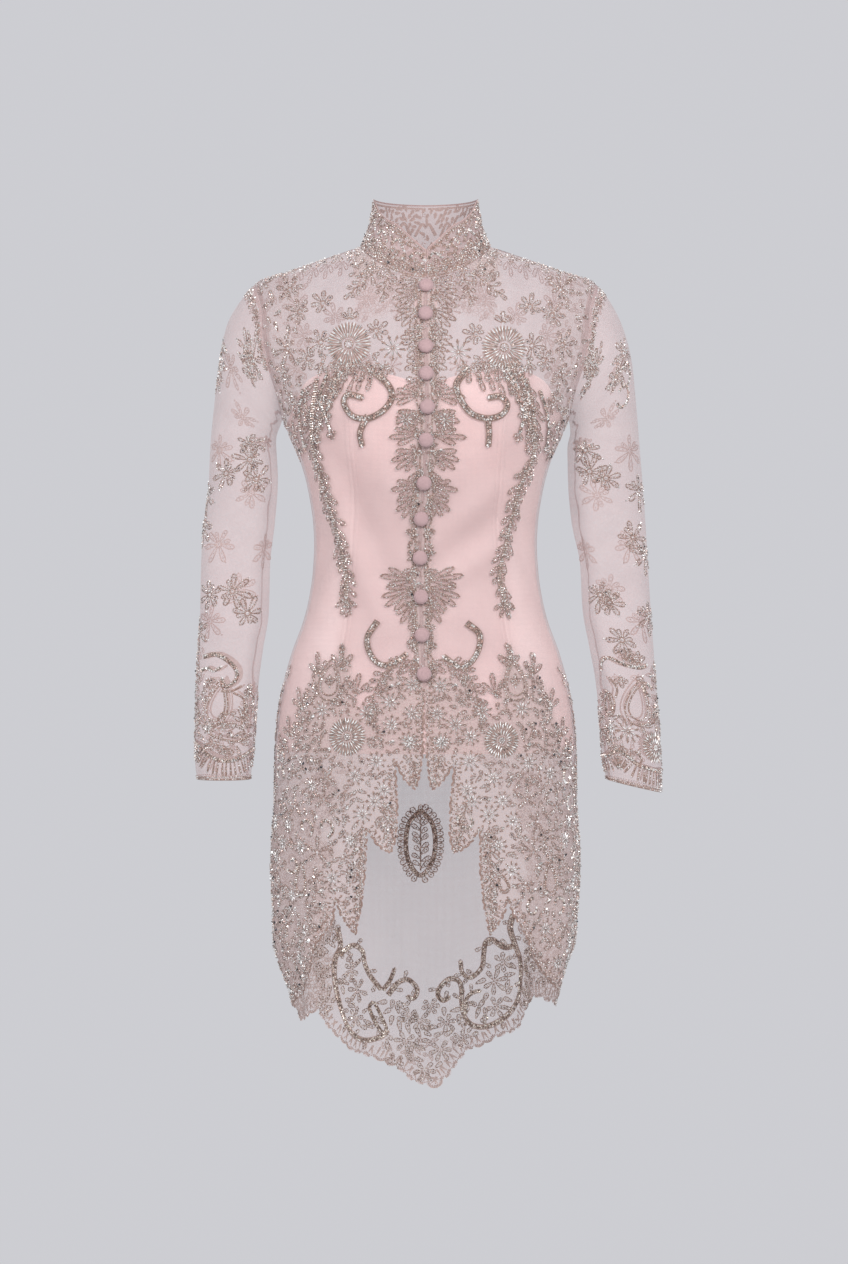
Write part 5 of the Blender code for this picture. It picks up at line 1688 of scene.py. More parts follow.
    def bead_mesh(self, material: bpy.types.Material) -> bpy.types.Object:
        """All beads as one piece, each a low faceted stud.

        Args:
            material: their finish.

        Returns:
            The piece.
        """
        rows = np.array(self.beads)
        tint = np.array([t.value for t in self.tints])
        tint *= self.rng.uniform(0.8, 1.1, len(tint))[:, None]
        ok = self.allowed(rows[:, 0], rows[:, 1])
        rows, tint = rows[ok], tint[ok]
        p, da, db, normal = self.surface.frame(rows[:, 0], rows[:, 1])
        cos, sin = np.cos(rows[:, 2])[:, None], np.sin(rows[:, 2])[:, None]
        along, across = da * cos + db * sin, db * cos - da * sin
        length, width, height = rows[:, 3:4], rows[:, 4:5], rows[:, 5:6]
        base = p + normal * LACE.bead_lift * np.sign(height)
        slant = self.rng.uniform(-0.25, 0.25, (len(rows), 1))
        corners = [base + along * length / 2, base + across * width / 2, base - along * length / 2,
                   base - across * width / 2, base + normal * height + along * length * slant]
        points = np.stack(corners, axis=1).reshape(-1, 3)
        unit = np.array([(0, 1, 4), (1, 2, 4), (2, 3, 4), (3, 0, 4)])
        tris = (unit[None] + (np.arange(len(rows)) * 5)[:, None, None]).reshape(-1, 3)
        turned = np.repeat((rows[:, 5] < 0) != self.surface.flip, 4)
        tris[turned] = tris[turned][:, ::-1]
        # Each bead's colour is multiplied by painted light and shade, one factor for each facet.
        facet_painted_light = FACET_PAINTED_LIGHT[(np.arange(4)[None] + self.rng.integers(0, 4, (len(rows), 1))) % 4]
        tint = np.clip(tint[:, None] * facet_painted_light[:, :, None], 0, 1)
        return make_piece(self.name + "_beads", points, tris, material, smooth=False,
                          tint=np.repeat(tint.reshape(-1, 3), 3, axis=0))


# ================================================================ finishes
class Graph:
    """Shorthand for building a node tree."""

    def __init__(self, tree: bpy.types.NodeTree) -> None:
        """Args:
        tree: the tree to add to.
        """
        self.tree = tree

    def node(self, kind: str, inputs: dict | None = None, **settings: object) -> bpy.types.Node:
        """A new node.

        Args:
            kind: its type, without the word that all shader nodes start with.
            inputs: a value, or a socket to link, for each input.
            settings: its properties.

        Returns:
            The node.
        """
        node = self.tree.nodes.new("ShaderNode" + kind)
        for key, value in settings.items():
            setattr(node, key, value)
        for key, value in (inputs or {}).items():
            self.feed(node, key, value)
        return node

    def feed(self, node: bpy.types.Node, key: str | int, value: object) -> None:
        """Gives an input a value, a colour or a link.

        Args:
            node: the node.
            key: its input.
            value: a number, a colour of three numbers or a socket.
        """
        if isinstance(value, bpy.types.NodeSocket):
            self.tree.links.new(value, node.inputs[key])
        else:
            node.inputs[key].default_value = (*value, 1) if isinstance(value, tuple) else value

    def mix(self, share: bpy.types.NodeSocket, low: object, high: object) -> bpy.types.NodeSocket:
        """Returns: a colour between two, each a socket or three numbers."""
        return self.node("Mix", {0: share, 6: low, 7: high}, data_type="RGBA").outputs[2]

    def pattern(self) -> bpy.types.NodeSocket:
        """Returns: the place in the flat pattern."""
        return self.node("UVMap", uv_map="pattern").outputs["UV"]

    def tint(self, output: str = "Fac") -> bpy.types.NodeSocket:
        """Returns: the tint that the piece's points or corners carry."""
        return self.node("Attribute", attribute_name="tint", attribute_type="GEOMETRY").outputs[output]

    def reverse(self) -> bpy.types.NodeSocket:
        """Returns: 1 where the cloth is seen from its back."""
        return self.node("NewGeometry").outputs["Backfacing"]

    def cells(self, vector: bpy.types.NodeSocket, scale: object, **inputs: float) -> bpy.types.NodeSocket:
        """Returns: the distance to the nearest border of flat cells."""
        return self.node("TexVoronoi", {"Vector": vector, "Scale": scale, **inputs},
                         feature="DISTANCE_TO_EDGE", voronoi_dimensions="2D").outputs["Distance"]


class Group(Graph):
    """A shader group with one output."""

    def __init__(self, name: str, inputs: dict[str, str], output: str, kind: str) -> None:
        """Args:
        name: the group's name.
        inputs: the kind of each input.
        output: the output's name.
        kind: the output's kind.
        """
        super().__init__(bpy.data.node_groups.new(name, "ShaderNodeTree"))
        for label, socket in inputs.items():
            self.tree.interface.new_socket(name=label, in_out="INPUT", socket_type="NodeSocket" + socket)
        self.tree.interface.new_socket(name=output, in_out="OUTPUT", socket_type="NodeSocket" + kind)
        self.enter = self.tree.nodes.new("NodeGroupInput").outputs
        self.leave = self.tree.nodes.new("NodeGroupOutput").inputs[output]

    def closed(self, result: bpy.types.NodeSocket) -> bpy.types.NodeTree:
        """Returns: the finished group, which gives out the result."""
        self.tree.links.new(result, self.leave)
        return self.tree


class Effects:
    """Shader groups that several finishes share."""

    def __init__(self) -> None:
        """Builds the groups."""
        self.mesh = self._mesh()
        self.ground = self._ground()
        self.mottle = self._mottle()
        self.grain = self._grain()
        self.weave = self._weave()

    def _mesh(self) -> bpy.types.NodeTree:
        """Returns: how opaque a net is, from its cells."""
        g = Group("net_cells", {"Vector": "Vector", "Cells": "Float", "Hole": "Float", "Thread": "Float"},
                  "Alpha", "Float")
        cells = g.cells(g.enter["Vector"], g.enter["Cells"], Randomness=0.35)
        line = g.node("MapRange", {"Value": cells, "From Min": 0.06, "From Max": 0.17, "To Min": g.enter["Thread"],
                                   "To Max": g.enter["Hole"]}, interpolation_type="SMOOTHSTEP")
        return g.closed(line.outputs["Result"])

    def _ground(self) -> bpy.types.NodeTree:
        """Returns: how much fine stitching lies on the net between the motifs."""
        g = Group("lace_ground", {"Vector": "Vector", "Cover": "Float"}, "Thread", "Float")
        veins = g.node("MapRange", {"Value": g.cells(g.enter["Vector"], 230.0), "From Min": 0.05, "From Max": 0.22,
                                    "To Min": 0.95, "To Max": 0.34}, interpolation_type="SMOOTHSTEP")
        share = g.node("Math", {0: veins.outputs["Result"], 1: g.enter["Cover"]}, operation="MULTIPLY")
        return g.closed(share.outputs["Value"])

    def _mottle(self) -> bpy.types.NodeTree:
        """Returns: a colour that drifts a little over the surface."""
        g = Group("mottle", {"Vector": "Vector", "Color": "Color", "Deep": "Color", "Scale": "Float"},
                  "Color", "Color")
        noise = g.node("TexNoise", {"Vector": g.enter["Vector"], "Scale": g.enter["Scale"], "Detail": 3.0,
                                    "Roughness": 0.6})
        share = g.node("MapRange", {"Value": noise.outputs["Fac"], "From Min": 0.32, "From Max": 0.7})
        return g.closed(g.mix(share.outputs["Result"], g.enter["Deep"], g.enter["Color"]))

    def _grain(self) -> bpy.types.NodeTree:
        """Returns: fine stitches as a bump."""
        g = Group("stitches", {"Vector": "Vector", "Scale": "Float", "Strength": "Float"}, "Normal", "Vector")
        cells = g.node("TexVoronoi", {"Vector": g.enter["Vector"], "Scale": g.enter["Scale"]},
                       voronoi_dimensions="2D")
        bump = g.node("Bump", {"Strength": g.enter["Strength"], "Distance": 0.0004,
                               "Height": cells.outputs["Distance"]})
        return g.closed(bump.outputs["Normal"])

    def _weave(self) -> bpy.types.NodeTree:
        """Returns: crossing threads and soft rumples as a bump."""
        g = Group("weave", {"Vector": "Vector", "Threads": "Float", "Strength": "Float"}, "Normal", "Vector")
        bands = [g.node("TexWave", {"Vector": g.enter["Vector"], "Scale": g.enter["Threads"], "Distortion": 0.4},
                        wave_type="BANDS", bands_direction=direction) for direction in ("X", "Y")]
        both = g.node("Math", {k: band.outputs["Fac"] for k, band in enumerate(bands)}, operation="MULTIPLY")
        rumple = g.node("TexNoise", {"Vector": g.enter["Vector"], "Scale": 26.0, "Detail": 2.0})
        low = g.node("Bump", {"Strength": 0.35, "Distance": 0.004, "Height": rumple.outputs["Fac"]})
        fine = g.node("Bump", {"Strength": g.enter["Strength"], "Distance": 0.0002,
                               "Height": both.outputs["Value"], "Normal": low.outputs["Normal"]})
        return g.closed(fine.outputs["Normal"])


@dataclass(frozen=True)
class Finish:
    """A material. The fields are the numbers that stay the same all over it."""

    name: str
    colour: Colour
    deep: Colour
    roughness: float = 0.6
    sheen: float = 0.0
    specular: float = 0.4
    sheen_roughness: float = 0.4

    def start(self) -> tuple[bpy.types.Material, Graph, bpy.types.Node]:
        """Returns: a new material, its graph and its Principled BSDF."""
        material = bpy.data.materials.new(self.name)
        material.use_nodes = True
        g, shader = Graph(material.node_tree), material.node_tree.nodes["Principled BSDF"]
        for key, value in (("Roughness", self.roughness), ("Sheen Weight", self.sheen),
                           ("Sheen Roughness", self.sheen_roughness), ("Specular IOR Level", self.specular)):
            g.feed(shader, key, value)
        return material, g, shader

    def mottled(self, g: Graph, effects: Effects, place: bpy.types.NodeSocket, scale: float,
                pair: tuple[Colour, Colour] | None = None) -> bpy.types.NodeSocket:
        """The drifting colour.

        Args:
            g: the material's graph.
            effects: the shared groups.
            place: the place in the flat pattern.
            scale: how fine it drifts.
            pair: two colours in place of the finish's own.

        Returns:
            The colour.
        """
        colour, deep = pair or (self.colour, self.deep)
        return g.node("Group", {"Vector": place, "Color": colour, "Deep": deep, "Scale": scale},
                      node_tree=effects.mottle).outputs["Color"]


@dataclass(frozen=True)
class NetFinish(Finish):
    """Sheer net with small six-sided cells."""

    cells: float = 720.0
    hole: float = 0.12
    thread: float = 0.72
    lace: Colour = (0.54, 0.43, 0.40)
    drift: float = 30.0

    def build(self, effects: Effects) -> bpy.types.Material:
        """The net's material: cells that fade into stitching where the piece's tint rises.

        Args:
            effects: the shared groups.

        Returns:
            The material.
        """
        material, g, shader = self.start()
        place = g.pattern()
        ground = g.node("Group", {"Vector": place, "Cover": g.tint()}, node_tree=effects.ground).outputs["Thread"]
        g.feed(shader, "Base Color", g.mix(ground, self.mottled(g, effects, place, self.drift), self.lace))
        mesh = g.node("Group", {"Vector": place, "Cells": self.cells, "Hole": self.hole, "Thread": self.thread},
                      node_tree=effects.mesh)
        alpha = g.node("Math", {0: mesh.outputs["Alpha"], 1: ground}, operation="MAXIMUM")
        g.feed(shader, "Alpha", alpha.outputs["Value"])
        return material


@dataclass(frozen=True)
class ThreadFinish(Finish):
    """Cord and satin stitch, duller and browner on its reverse, where it is also set much lighter than the thread's own
    tone: painted light that lifts the reverse out of the shade inside the blouse. Open petals are clear in their
    middle.
    """

    # under: the reverse's colour, lightened as painted light.
    under: Colour = (0.74, 0.60, 0.52)
    shade: float = 0.55
    drift: float = 160.0
    under_drift: float = 330.0
    stitches: float = 1500.0
    relief: float = 0.6
    clear: float = 0.10

    def build(self, effects: Effects) -> bpy.types.Material:
        """Returns: the material."""
        material, g, shader = self.start()
        place = g.pattern()
        pair = self.under, tuple(self.shade * v for v in self.under)
        g.feed(shader, "Base Color", g.mix(g.reverse(), self.mottled(g, effects, place, self.drift),
                                           self.mottled(g, effects, place, self.under_drift, pair)))
        grain = g.node("Group", {"Vector": place, "Scale": self.stitches, "Strength": self.relief},
                       node_tree=effects.grain)
        g.feed(shader, "Normal", grain.outputs["Normal"])
        solid = g.node("MapRange", {"Value": g.tint(), "From Min": 0.42, "From Max": 0.60, "To Min": 1.0,
                                    "To Max": self.clear})
        g.feed(shader, "Alpha", solid.outputs["Result"])
        return material


@dataclass(frozen=True)
class BeadFinish(Finish):
    """Silvered glass in the tints that the beads carry."""

    metallic: float = 0.35

    def build(self) -> bpy.types.Material:
        """Returns: the material."""
        material, g, shader = self.start()
        # Seen from behind, beads take the deep colour, lightened as painted light for the shade inside the blouse.
        g.feed(shader, "Base Color", g.mix(g.reverse(), g.tint("Color"), self.deep))
        g.feed(shader, "Metallic", self.metallic)
        return material


@dataclass(frozen=True)
class SatinFinish(Finish):
    """Soft satin with a fine weave. Where its piece's tint rises, it takes its drawn colour, a darker tone: painted
    shade below the bust on the middle fronts, and the middle's tone on the flanks, whose own colour is painted light.
    """

    threads: float = 900.0
    strength: float = 0.25
    # drawn: the darker colour, painted shade on the middle fronts.
    drawn: Colour = (0.765, 0.565, 0.55)
    drift: float = 14.0

    def build(self, effects: Effects) -> bpy.types.Material:
        """Returns: the material."""
        material, g, shader = self.start()
        place = g.pattern()
        colour = g.mix(g.tint(), self.mottled(g, effects, place, self.drift), self.drawn)
        g.feed(shader, "Base Color", colour)
        weave = g.node("Group", {"Vector": place, "Threads": self.threads, "Strength": self.strength},
                       node_tree=effects.weave)
        g.feed(shader, "Normal", weave.outputs["Normal"])
        return material


@dataclass(frozen=True)
class Wardrobe:
    """Every finish of the blouse, built once."""

    net: bpy.types.Material
    tape: bpy.types.Material
    thread: bpy.types.Material
    bead: bpy.types.Material
    satin: bpy.types.Material
    flank: bpy.types.Material
    button: bpy.types.Material
    piping: bpy.types.Material

    @classmethod
    def build(cls, effects: Effects) -> "Wardrobe":
        """Returns: the finishes."""
        return cls(
            net=NetFinish("net", (0.76, 0.60, 0.59), (0.68, 0.52, 0.515), 0.75, 0.25, 0.25).build(effects),
            tape=NetFinish("seam_net", (0.58, 0.425, 0.41), (0.48, 0.345, 0.335), 0.7, 0.3, 0.3,
                           cells=900.0, hole=0.30, thread=0.9).build(effects),
            thread=ThreadFinish("lace_thread", (0.41, 0.275, 0.235), (0.26, 0.165, 0.138), 0.55, 0.2).build(effects),
            # The beads' deep colour shows on their reverse and is lightened as painted light.
            bead=BeadFinish("beads", (0.8, 0.7, 0.65), (0.60, 0.485, 0.42), 0.27, 0.0, 0.8).build(),
            satin=SatinFinish("satin", (0.945, 0.71, 0.69), (0.915, 0.665, 0.64), 0.42, 0.35, 0.35).build(effects),
            # The flank satin is a lighter copy of the satin: painted light on the side fronts past the beaded vine.
            flank=SatinFinish("flank_satin", (0.985, 0.815, 0.80), (0.965, 0.775, 0.755), 0.42, 0.35, 0.35,
                              drawn=(0.88, 0.66, 0.64)).build(effects),
            button=SatinFinish("button_cloth", (0.62, 0.425, 0.43), (0.54, 0.36, 0.365), 0.5, 0.3, 0.35,
                               threads=1100.0, strength=0.8).build(effects),
            piping=SatinFinish("piping", (0.58, 0.41, 0.385), (0.50, 0.34, 0.32), 0.5, 0.3, 0.35,
                               threads=1400.0, strength=0.4).build(effects),
        )


# ================================================================ sub-assemblies
def fasten(piece: bpy.types.Object, slot: Slot, nodes: Iterable[str] = ()) -> bpy.types.Object:
    """Fixes a piece to the blouse and reports it.

    Args:
        piece: the piece.
        slot: the record's finish that it takes.
        nodes: the plain solids that it stands for.

    Returns:
        The piece.
    """
    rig.ride(piece, "root")
    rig.slot(piece, slot.value)
    names = list(nodes)
    if names:
        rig.replaces(piece, *names)
    triangles = sum(len(p.vertices) - 2 for p in piece.data.polygons)
    LOG.info("%s: %d triangles, stands for %s", piece.name, triangles, ", ".join(names) or "nothing")
    return piece


def millimetres(points: Sequence[tuple[float, ...]]) -> list[tuple[float, ...]]:
    """Returns: rows given in millimetres, in metres."""
    return [tuple(v / 1000 for v in row) for row in points]


def mirrored(points: Sequence[tuple[float, float]], sign: int) -> list[tuple[float, float]]:
    """Returns: points given in millimetres for the left side, on the side of the sign, in metres."""
    return [(sign * a / 1000, b / 1000) for a, b in points]


def strip_piece(name: str, surface: Surface, strips: Sequence[Strip], material: bpy.types.Material, slot: Slot,
                cover: Mask | None = None) -> bpy.types.Object:
    """Bands as one piece, made and fixed.

    Args:
        name: the piece's name.
        surface: what they lie on.
        strips: the bands.
        material: their finish.
        slot: the record's finish that they take.
        cover: the tint at each pattern point, from 0 to 1.

    Returns:
        The piece.
    """
    p, faces, uv = strips_mesh(surface, strips)
    tint = grey(cover(uv[:, 0], uv[:, 1])) if cover else None
    return fasten(make_piece(name, p, faces, material, uv=uv, tint=tint), slot)


def sewn(lace: Lace, finishes: Wardrobe, slot: Slot) -> list[bpy.types.Object]:
    """Returns: the thread and the beads of an embroidery, made and fixed."""
    return [fasten(lace.thread_mesh(finishes.thread), slot), fasten(lace.bead_mesh(finishes.bead), slot)]


def declare(piece: bpy.types.Object, outline: Array, with_pieces: Sequence[bpy.types.Object] = ()) -> None:
    """Says that a piece is a sheet, with the size of its flat cut.

    Args:
        piece: the piece.
        outline: its flat outline.
        with_pieces: what is sewn to it.
    """
    opened = np.column_stack([outline[:, 0], stretched(outline[:, 1])])
    width, length = (float(v) for v in np.ptp(opened, axis=0))
    area = min(outline_area(opened), GREATEST_FILL * width * length)
    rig.sheet(piece, flat=(width, length), held="hung", area=max(area, LEAST_FILL * width * length),
             with_pieces=list(with_pieces))


@dataclass
class BodyNet:
    """The two net fronts and the net back, with their turned seams."""

    surfaces: dict[bool, BodySurface]
    pattern: BodyPattern
    finishes: Wardrobe
    pitch: float = 0.0062
    seam_step: float = 0.004
    armhole_width: float = 0.0070
    armhole_inset: float = 0.0028
    side_width: float = 0.0042
    front_width: float = 0.0021
    front_inset: float = 0.0012
    shoulder_width: float = 0.0034

    def build(self, laces: dict[str, Lace]) -> None:
        """Makes the nets and the seams.

        Args:
            laces: the embroidery of each net.
        """
        self.outlines = {f"front_{side.word}": self.pattern.panel(side) for side in Side}
        self.outlines["back"] = self.pattern.whole_back()
        self.pieces: dict[str, bpy.types.Object] = {}
        for name, outline in self.outlines.items():
            net = cloth_piece(f"net_{name}", self.surfaces[name == "back"], outline, self.pitch, 0.0,
                              self.finishes.net, laces[name].cover)
            self.pieces[name] = fasten(net, Slot.NET, [name])
        self.seams = [self._seams(back) for back in (False, True)]

    def _seams(self, back: bool) -> bpy.types.Object:
        """The narrow turned seams at the sides, armholes, shoulders and front edges.

        Args:
            back: which half they lie on.

        Returns:
            The seams as one piece.
        """
        strips = []
        for side in Side:
            armhole = straight_line(self.pattern.armhole(side, back), 0.003)
            strips.append(Strip(armhole - (side.value * self.armhole_inset, 0), self.armhole_width, 0.0004))
            if not back:
                z = np.arange(SIZE.side_hem_z(side) + 0.004, SIZE.underarm_z, self.seam_step)
                strips.append(Strip(self.pattern.seam(side, False, z), self.side_width, 0.0005))
                z = np.arange(SIZE.slit_top_z + 0.002, -0.048, self.seam_step)
                edge = np.column_stack([closing_s(z) + side.value * self.front_inset, z])
                strips.append(Strip(edge, self.front_width, 0.0007))
            z = np.linspace(SIZE.shoulder_tip_z, -0.003, 30)
            strips.append(Strip(self.pattern.seam(side, back, z), self.shoulder_width, 0.0004))
        name = "seams_back" if back else "seams_front"
        return strip_piece(name, self.surfaces[back], strips, self.finishes.tape, Slot.NET)


@dataclass
class Lining:
    """The satin lining: two middle fronts, two side fronts, a back and the strip under the buttons."""

    surfaces: dict[bool, BodySurface]
    pattern: BodyPattern
    finishes: Wardrobe
    pitch: float = 0.0085
    placket_pitch: float = 0.006
    step: float = 0.006
    hem_width: float = 0.010
    top_width: float = 0.0034
    seam_width: float = 0.0050
    seam_inset: float = 0.003
    edge_width: float = 0.0022
    centre_width: float = 0.0030
    centre_inset: float = 0.0024

    def build(self) -> None:
        """Makes the lining's pieces."""
        for side in Side:
            self._front(side)
        self._back()
        self._placket()

    def _edge(self, side: Side, z: Array | float) -> Array:
        """Returns: s of the placket's edge on one side at heights."""
        return closing_s(z) + side.value * SIZE.placket_half_width

    def _princess(self, side: Side, z: Array | float) -> Array:
        """Returns: s of the shaped seam on one side at heights."""
        return side.value * princess_s(z)

    def _start(self, line: Callable[[Side, float], Array], side: Side) -> float:
        """Returns: the height at which an upright line meets the top edge."""
        z = -0.17
        for _ in range(20):
            z = float(lining_top_z(line(side, z), False))
        return z

    def _top(self, s: Array, back: bool) -> Array:
        """Returns: the top edge's points at distances from the centre."""
        side_s = self.pattern.halves[back].side(SIZE.lining_side_z)
        z = lining_top_z(s, back)
        share = np.clip((np.abs(s) - 0.09) / (side_s - 0.09), 0, 1)
        z = z + (SIZE.lining_side_z - lining_top_z(side_s, back)) * share ** 2
        return np.column_stack([s, np.minimum(z, -0.1)])

    def _drawn(self, a: Array, b: Array) -> Array:
        """Returns: how much painted shade the middle fronts' satin takes below the bust, from 0 to 1, most near the
        centre and less towards the hem.
        """
        inner = 1 - 0.5 * eased(np.abs(a), 0.06, 0.11)
        return inner * eased(-b, 0.235, 0.300) * (1 - 0.65 * eased(-b, 0.44, 0.53))

    def _worn(self, a: Array, b: Array) -> Array:
        """Returns: how much of the middle's colour a flank shows: all of it as far as the beaded vine, and past it the
        flank's own lighter colour, which is painted light.
        """
        vine = np.interp(-b, *np.transpose(VINE_EDGE))
        return 1 - eased(np.abs(a), vine - 0.012, vine + 0.016)

    def _band(self, line: Array, width: float, height: float) -> Strip:
        """Returns: a turned edge on the lining."""
        return Strip(line, width, height, SIZE.lining_depth)

    def _hem(self, start: float, stop: float) -> Strip:
        """Returns: the turned hem between two distances from the centre."""
        z = SIZE.lining_bottom_z + self.hem_width / 2
        return self._band(straight_line([(start, z), (stop, z)], 0.005), self.hem_width, 0.0005)

    def _sew(self, names: tuple[str, str], surface: Surface, outline: Array, satin: bpy.types.Material,
             trim: Sequence[Strip], cover: Mask | None = None) -> None:
        """Makes a lining piece and its turned edges.

        Args:
            names: the piece's name and the plain solid that it stands for.
            surface: the front or the back.
            outline: its flat outline.
            satin: its finish.
            trim: its turned edges.
            cover: where it takes the satin's darker drawn colour, part of its painted light and shade.
        """
        name, node = names
        piece = cloth_piece(name, surface, outline, self.pitch, SIZE.lining_depth, satin, cover)
        fasten(piece, Slot.SATIN, [node])
        declare(piece, outline, [strip_piece(f"{name}_edges", surface, trim, satin, Slot.SATIN, cover)])

    def _front(self, side: Side) -> None:
        """Makes the middle and side front of one side.

        Args:
            side: the wearer's side.
        """
        surface, sign = self.surfaces[False], side.value
        start, meet = self._start(self._edge, side), self._start(self._princess, side)
        z_in = np.arange(SIZE.lining_bottom_z, start, self.step)
        z_mid = np.arange(SIZE.lining_bottom_z, meet, self.step)
        inner = np.column_stack([self._edge(side, z_in), z_in])
        seam = np.column_stack([self._princess(side, z_mid), z_mid])
        turn_s = float(self._princess(side, meet))
        side_s = sign * float(self.pattern.halves[False].side(SIZE.lining_side_z))
        top_in = self._top(np.linspace(float(self._edge(side, start)), turn_s, 18), False)
        top_out = self._top(np.linspace(turn_s, side_s, 20), False)
        top_out[-1] = (side_s, SIZE.lining_side_z)
        outer = self.pattern.seam(side, False, np.arange(SIZE.lining_bottom_z, SIZE.lining_side_z, self.step))
        inset = (sign * self.seam_inset, 0)
        trims = [self._band(top_in, self.top_width, 0.0007), self._band(seam - inset, self.seam_width, 0.0008),
                 self._hem(inner[0, 0], seam[0, 0]), self._band(inner, self.edge_width, 0.0006)]
        self._sew((f"lining_middle_{side.word}", f"lining_front_{side.word}"), surface,
                  np.vstack([inner, top_in, seam[::-1]]), self.finishes.satin, trims, self._drawn)
        trims = [self._band(top_out, self.top_width, 0.0007), self._band(seam + inset, self.seam_width, 0.0008),
                 self._hem(seam[0, 0], outer[0, 0])]
        self._sew((f"lining_flank_{side.word}", f"lining_side_{side.word}"), surface,
                  np.vstack([seam, top_out, outer[::-1]]), self.finishes.flank, trims, self._worn)

    def _back(self) -> None:
        """Makes the back."""
        side_s = float(self.pattern.halves[True].side(SIZE.lining_side_z))
        z = np.arange(SIZE.lining_bottom_z, SIZE.lining_side_z, self.step)
        right, left = (self.pattern.seam(side, True, z) for side in (Side.RIGHT, Side.LEFT))
        top = self._top(np.linspace(-side_s, side_s, 50), True)
        top[0], top[-1] = (-side_s, SIZE.lining_side_z), (side_s, SIZE.lining_side_z)
        centre = np.column_stack([0 * z, z])
        trims = [self._band(top, self.top_width, 0.0007), self._hem(right[0, 0], left[0, 0])]
        trims += [self._band(centre + (sign * self.centre_inset, 0), self.centre_width, 0.0006) for sign in (1, -1)]
        for sign in (1, -1):
            trims.append(self._band(smooth_line([(sign * s, height) for s, height in DART], 0.004), 0.0024, 0.0006))
        self._sew(("lining_rear", "lining_back"), self.surfaces[True], np.vstack([right, top, left[::-1]]),
                  self.finishes.satin, trims)

    def _placket(self) -> None:
        """Makes the strip behind the closing line."""
        z = np.linspace(SIZE.lining_bottom_z, SIZE.placket_top_z, 90)
        left, right = (np.column_stack([self._edge(side, z), z]) for side in Side)
        outline = np.vstack([right, left[::-1]])
        piece = cloth_piece("button_stand", self.surfaces[False], outline, self.placket_pitch, SIZE.placket_depth,
                            self.finishes.satin)
        fasten(piece, Slot.SATIN, ["placket"])
        declare(piece, outline)


@dataclass
class Buttons:
    """Twelve domes covered in cloth, each gathered at its rim."""

    surface: BodySurface
    finish: bpy.types.Material
    radius: float = 0.0085
    height: float = 0.0068
    around: int = 32
    puckers: int = 8
    pucker: float = 0.02
    first_puckered: int = 7
    cloth_scale: float = 1.2

    def build(self, nodes: dict[str, bpy.types.Object]) -> None:
        """Makes the buttons.

        Args:
            nodes: the plain solids by name.
        """
        for number, z in enumerate(BUTTON_Z, start=1):
            node = f"button_{number:02d}"
            normal = self.surface.frame(np.array([float(closing_s(z))]), np.array([z]))[3][0]
            solid = np.array([v.co[:] for v in nodes[node].data.vertices])
            middle = (solid.min(axis=0) + solid.max(axis=0)) / 2
            seat = middle + normal * float((solid @ normal).min() - middle @ normal)
            self._dome(f"dome_{number:02d}", node, seat, normal)

    def _dome(self, name: str, node: str, seat: Array, normal: Array) -> None:
        """Makes one button on its seat.

        Args:
            name: its name.
            node: the plain solid that it stands for.
            seat: the middle of its underside.
            normal: the way it faces.
        """
        up = np.cross(normal, np.array([1.0, 0.0, 0.0]))
        up /= np.linalg.norm(up)
        across = np.cross(up, normal)
        turn = 2 * math.pi * np.arange(self.around) / self.around
        points, uv = [], []
        for ring, (r, h) in enumerate(BUTTON_PROFILE):
            swell = self.pucker * np.cos(self.puckers * turn + 0.6 * ring) if ring >= self.first_puckered else 0 * turn
            x, y = (r * self.radius * (1 + swell) * wave(turn) for wave in (np.cos, np.sin))
            points.append(seat + np.outer(x, across) + np.outer(y, up) + normal * h * self.height)
            uv.append(np.column_stack([x, y]) * self.cloth_scale)
        rows, n = len(BUTTON_PROFILE), self.around
        faces = []
        for first in range(0, (rows - 1) * n, n):
            for k in range(n):
                a, b = first + k, first + (k + 1) % n
                faces.append((a, a + n, b + n, b))
        faces += [tuple(range(n)), tuple(range((rows - 1) * n, rows * n))[::-1]]
        piece = make_piece(name, np.vstack(points), faces, self.finish, uv=np.vstack(uv))
        fasten(piece, Slot.BUTTON, [node])


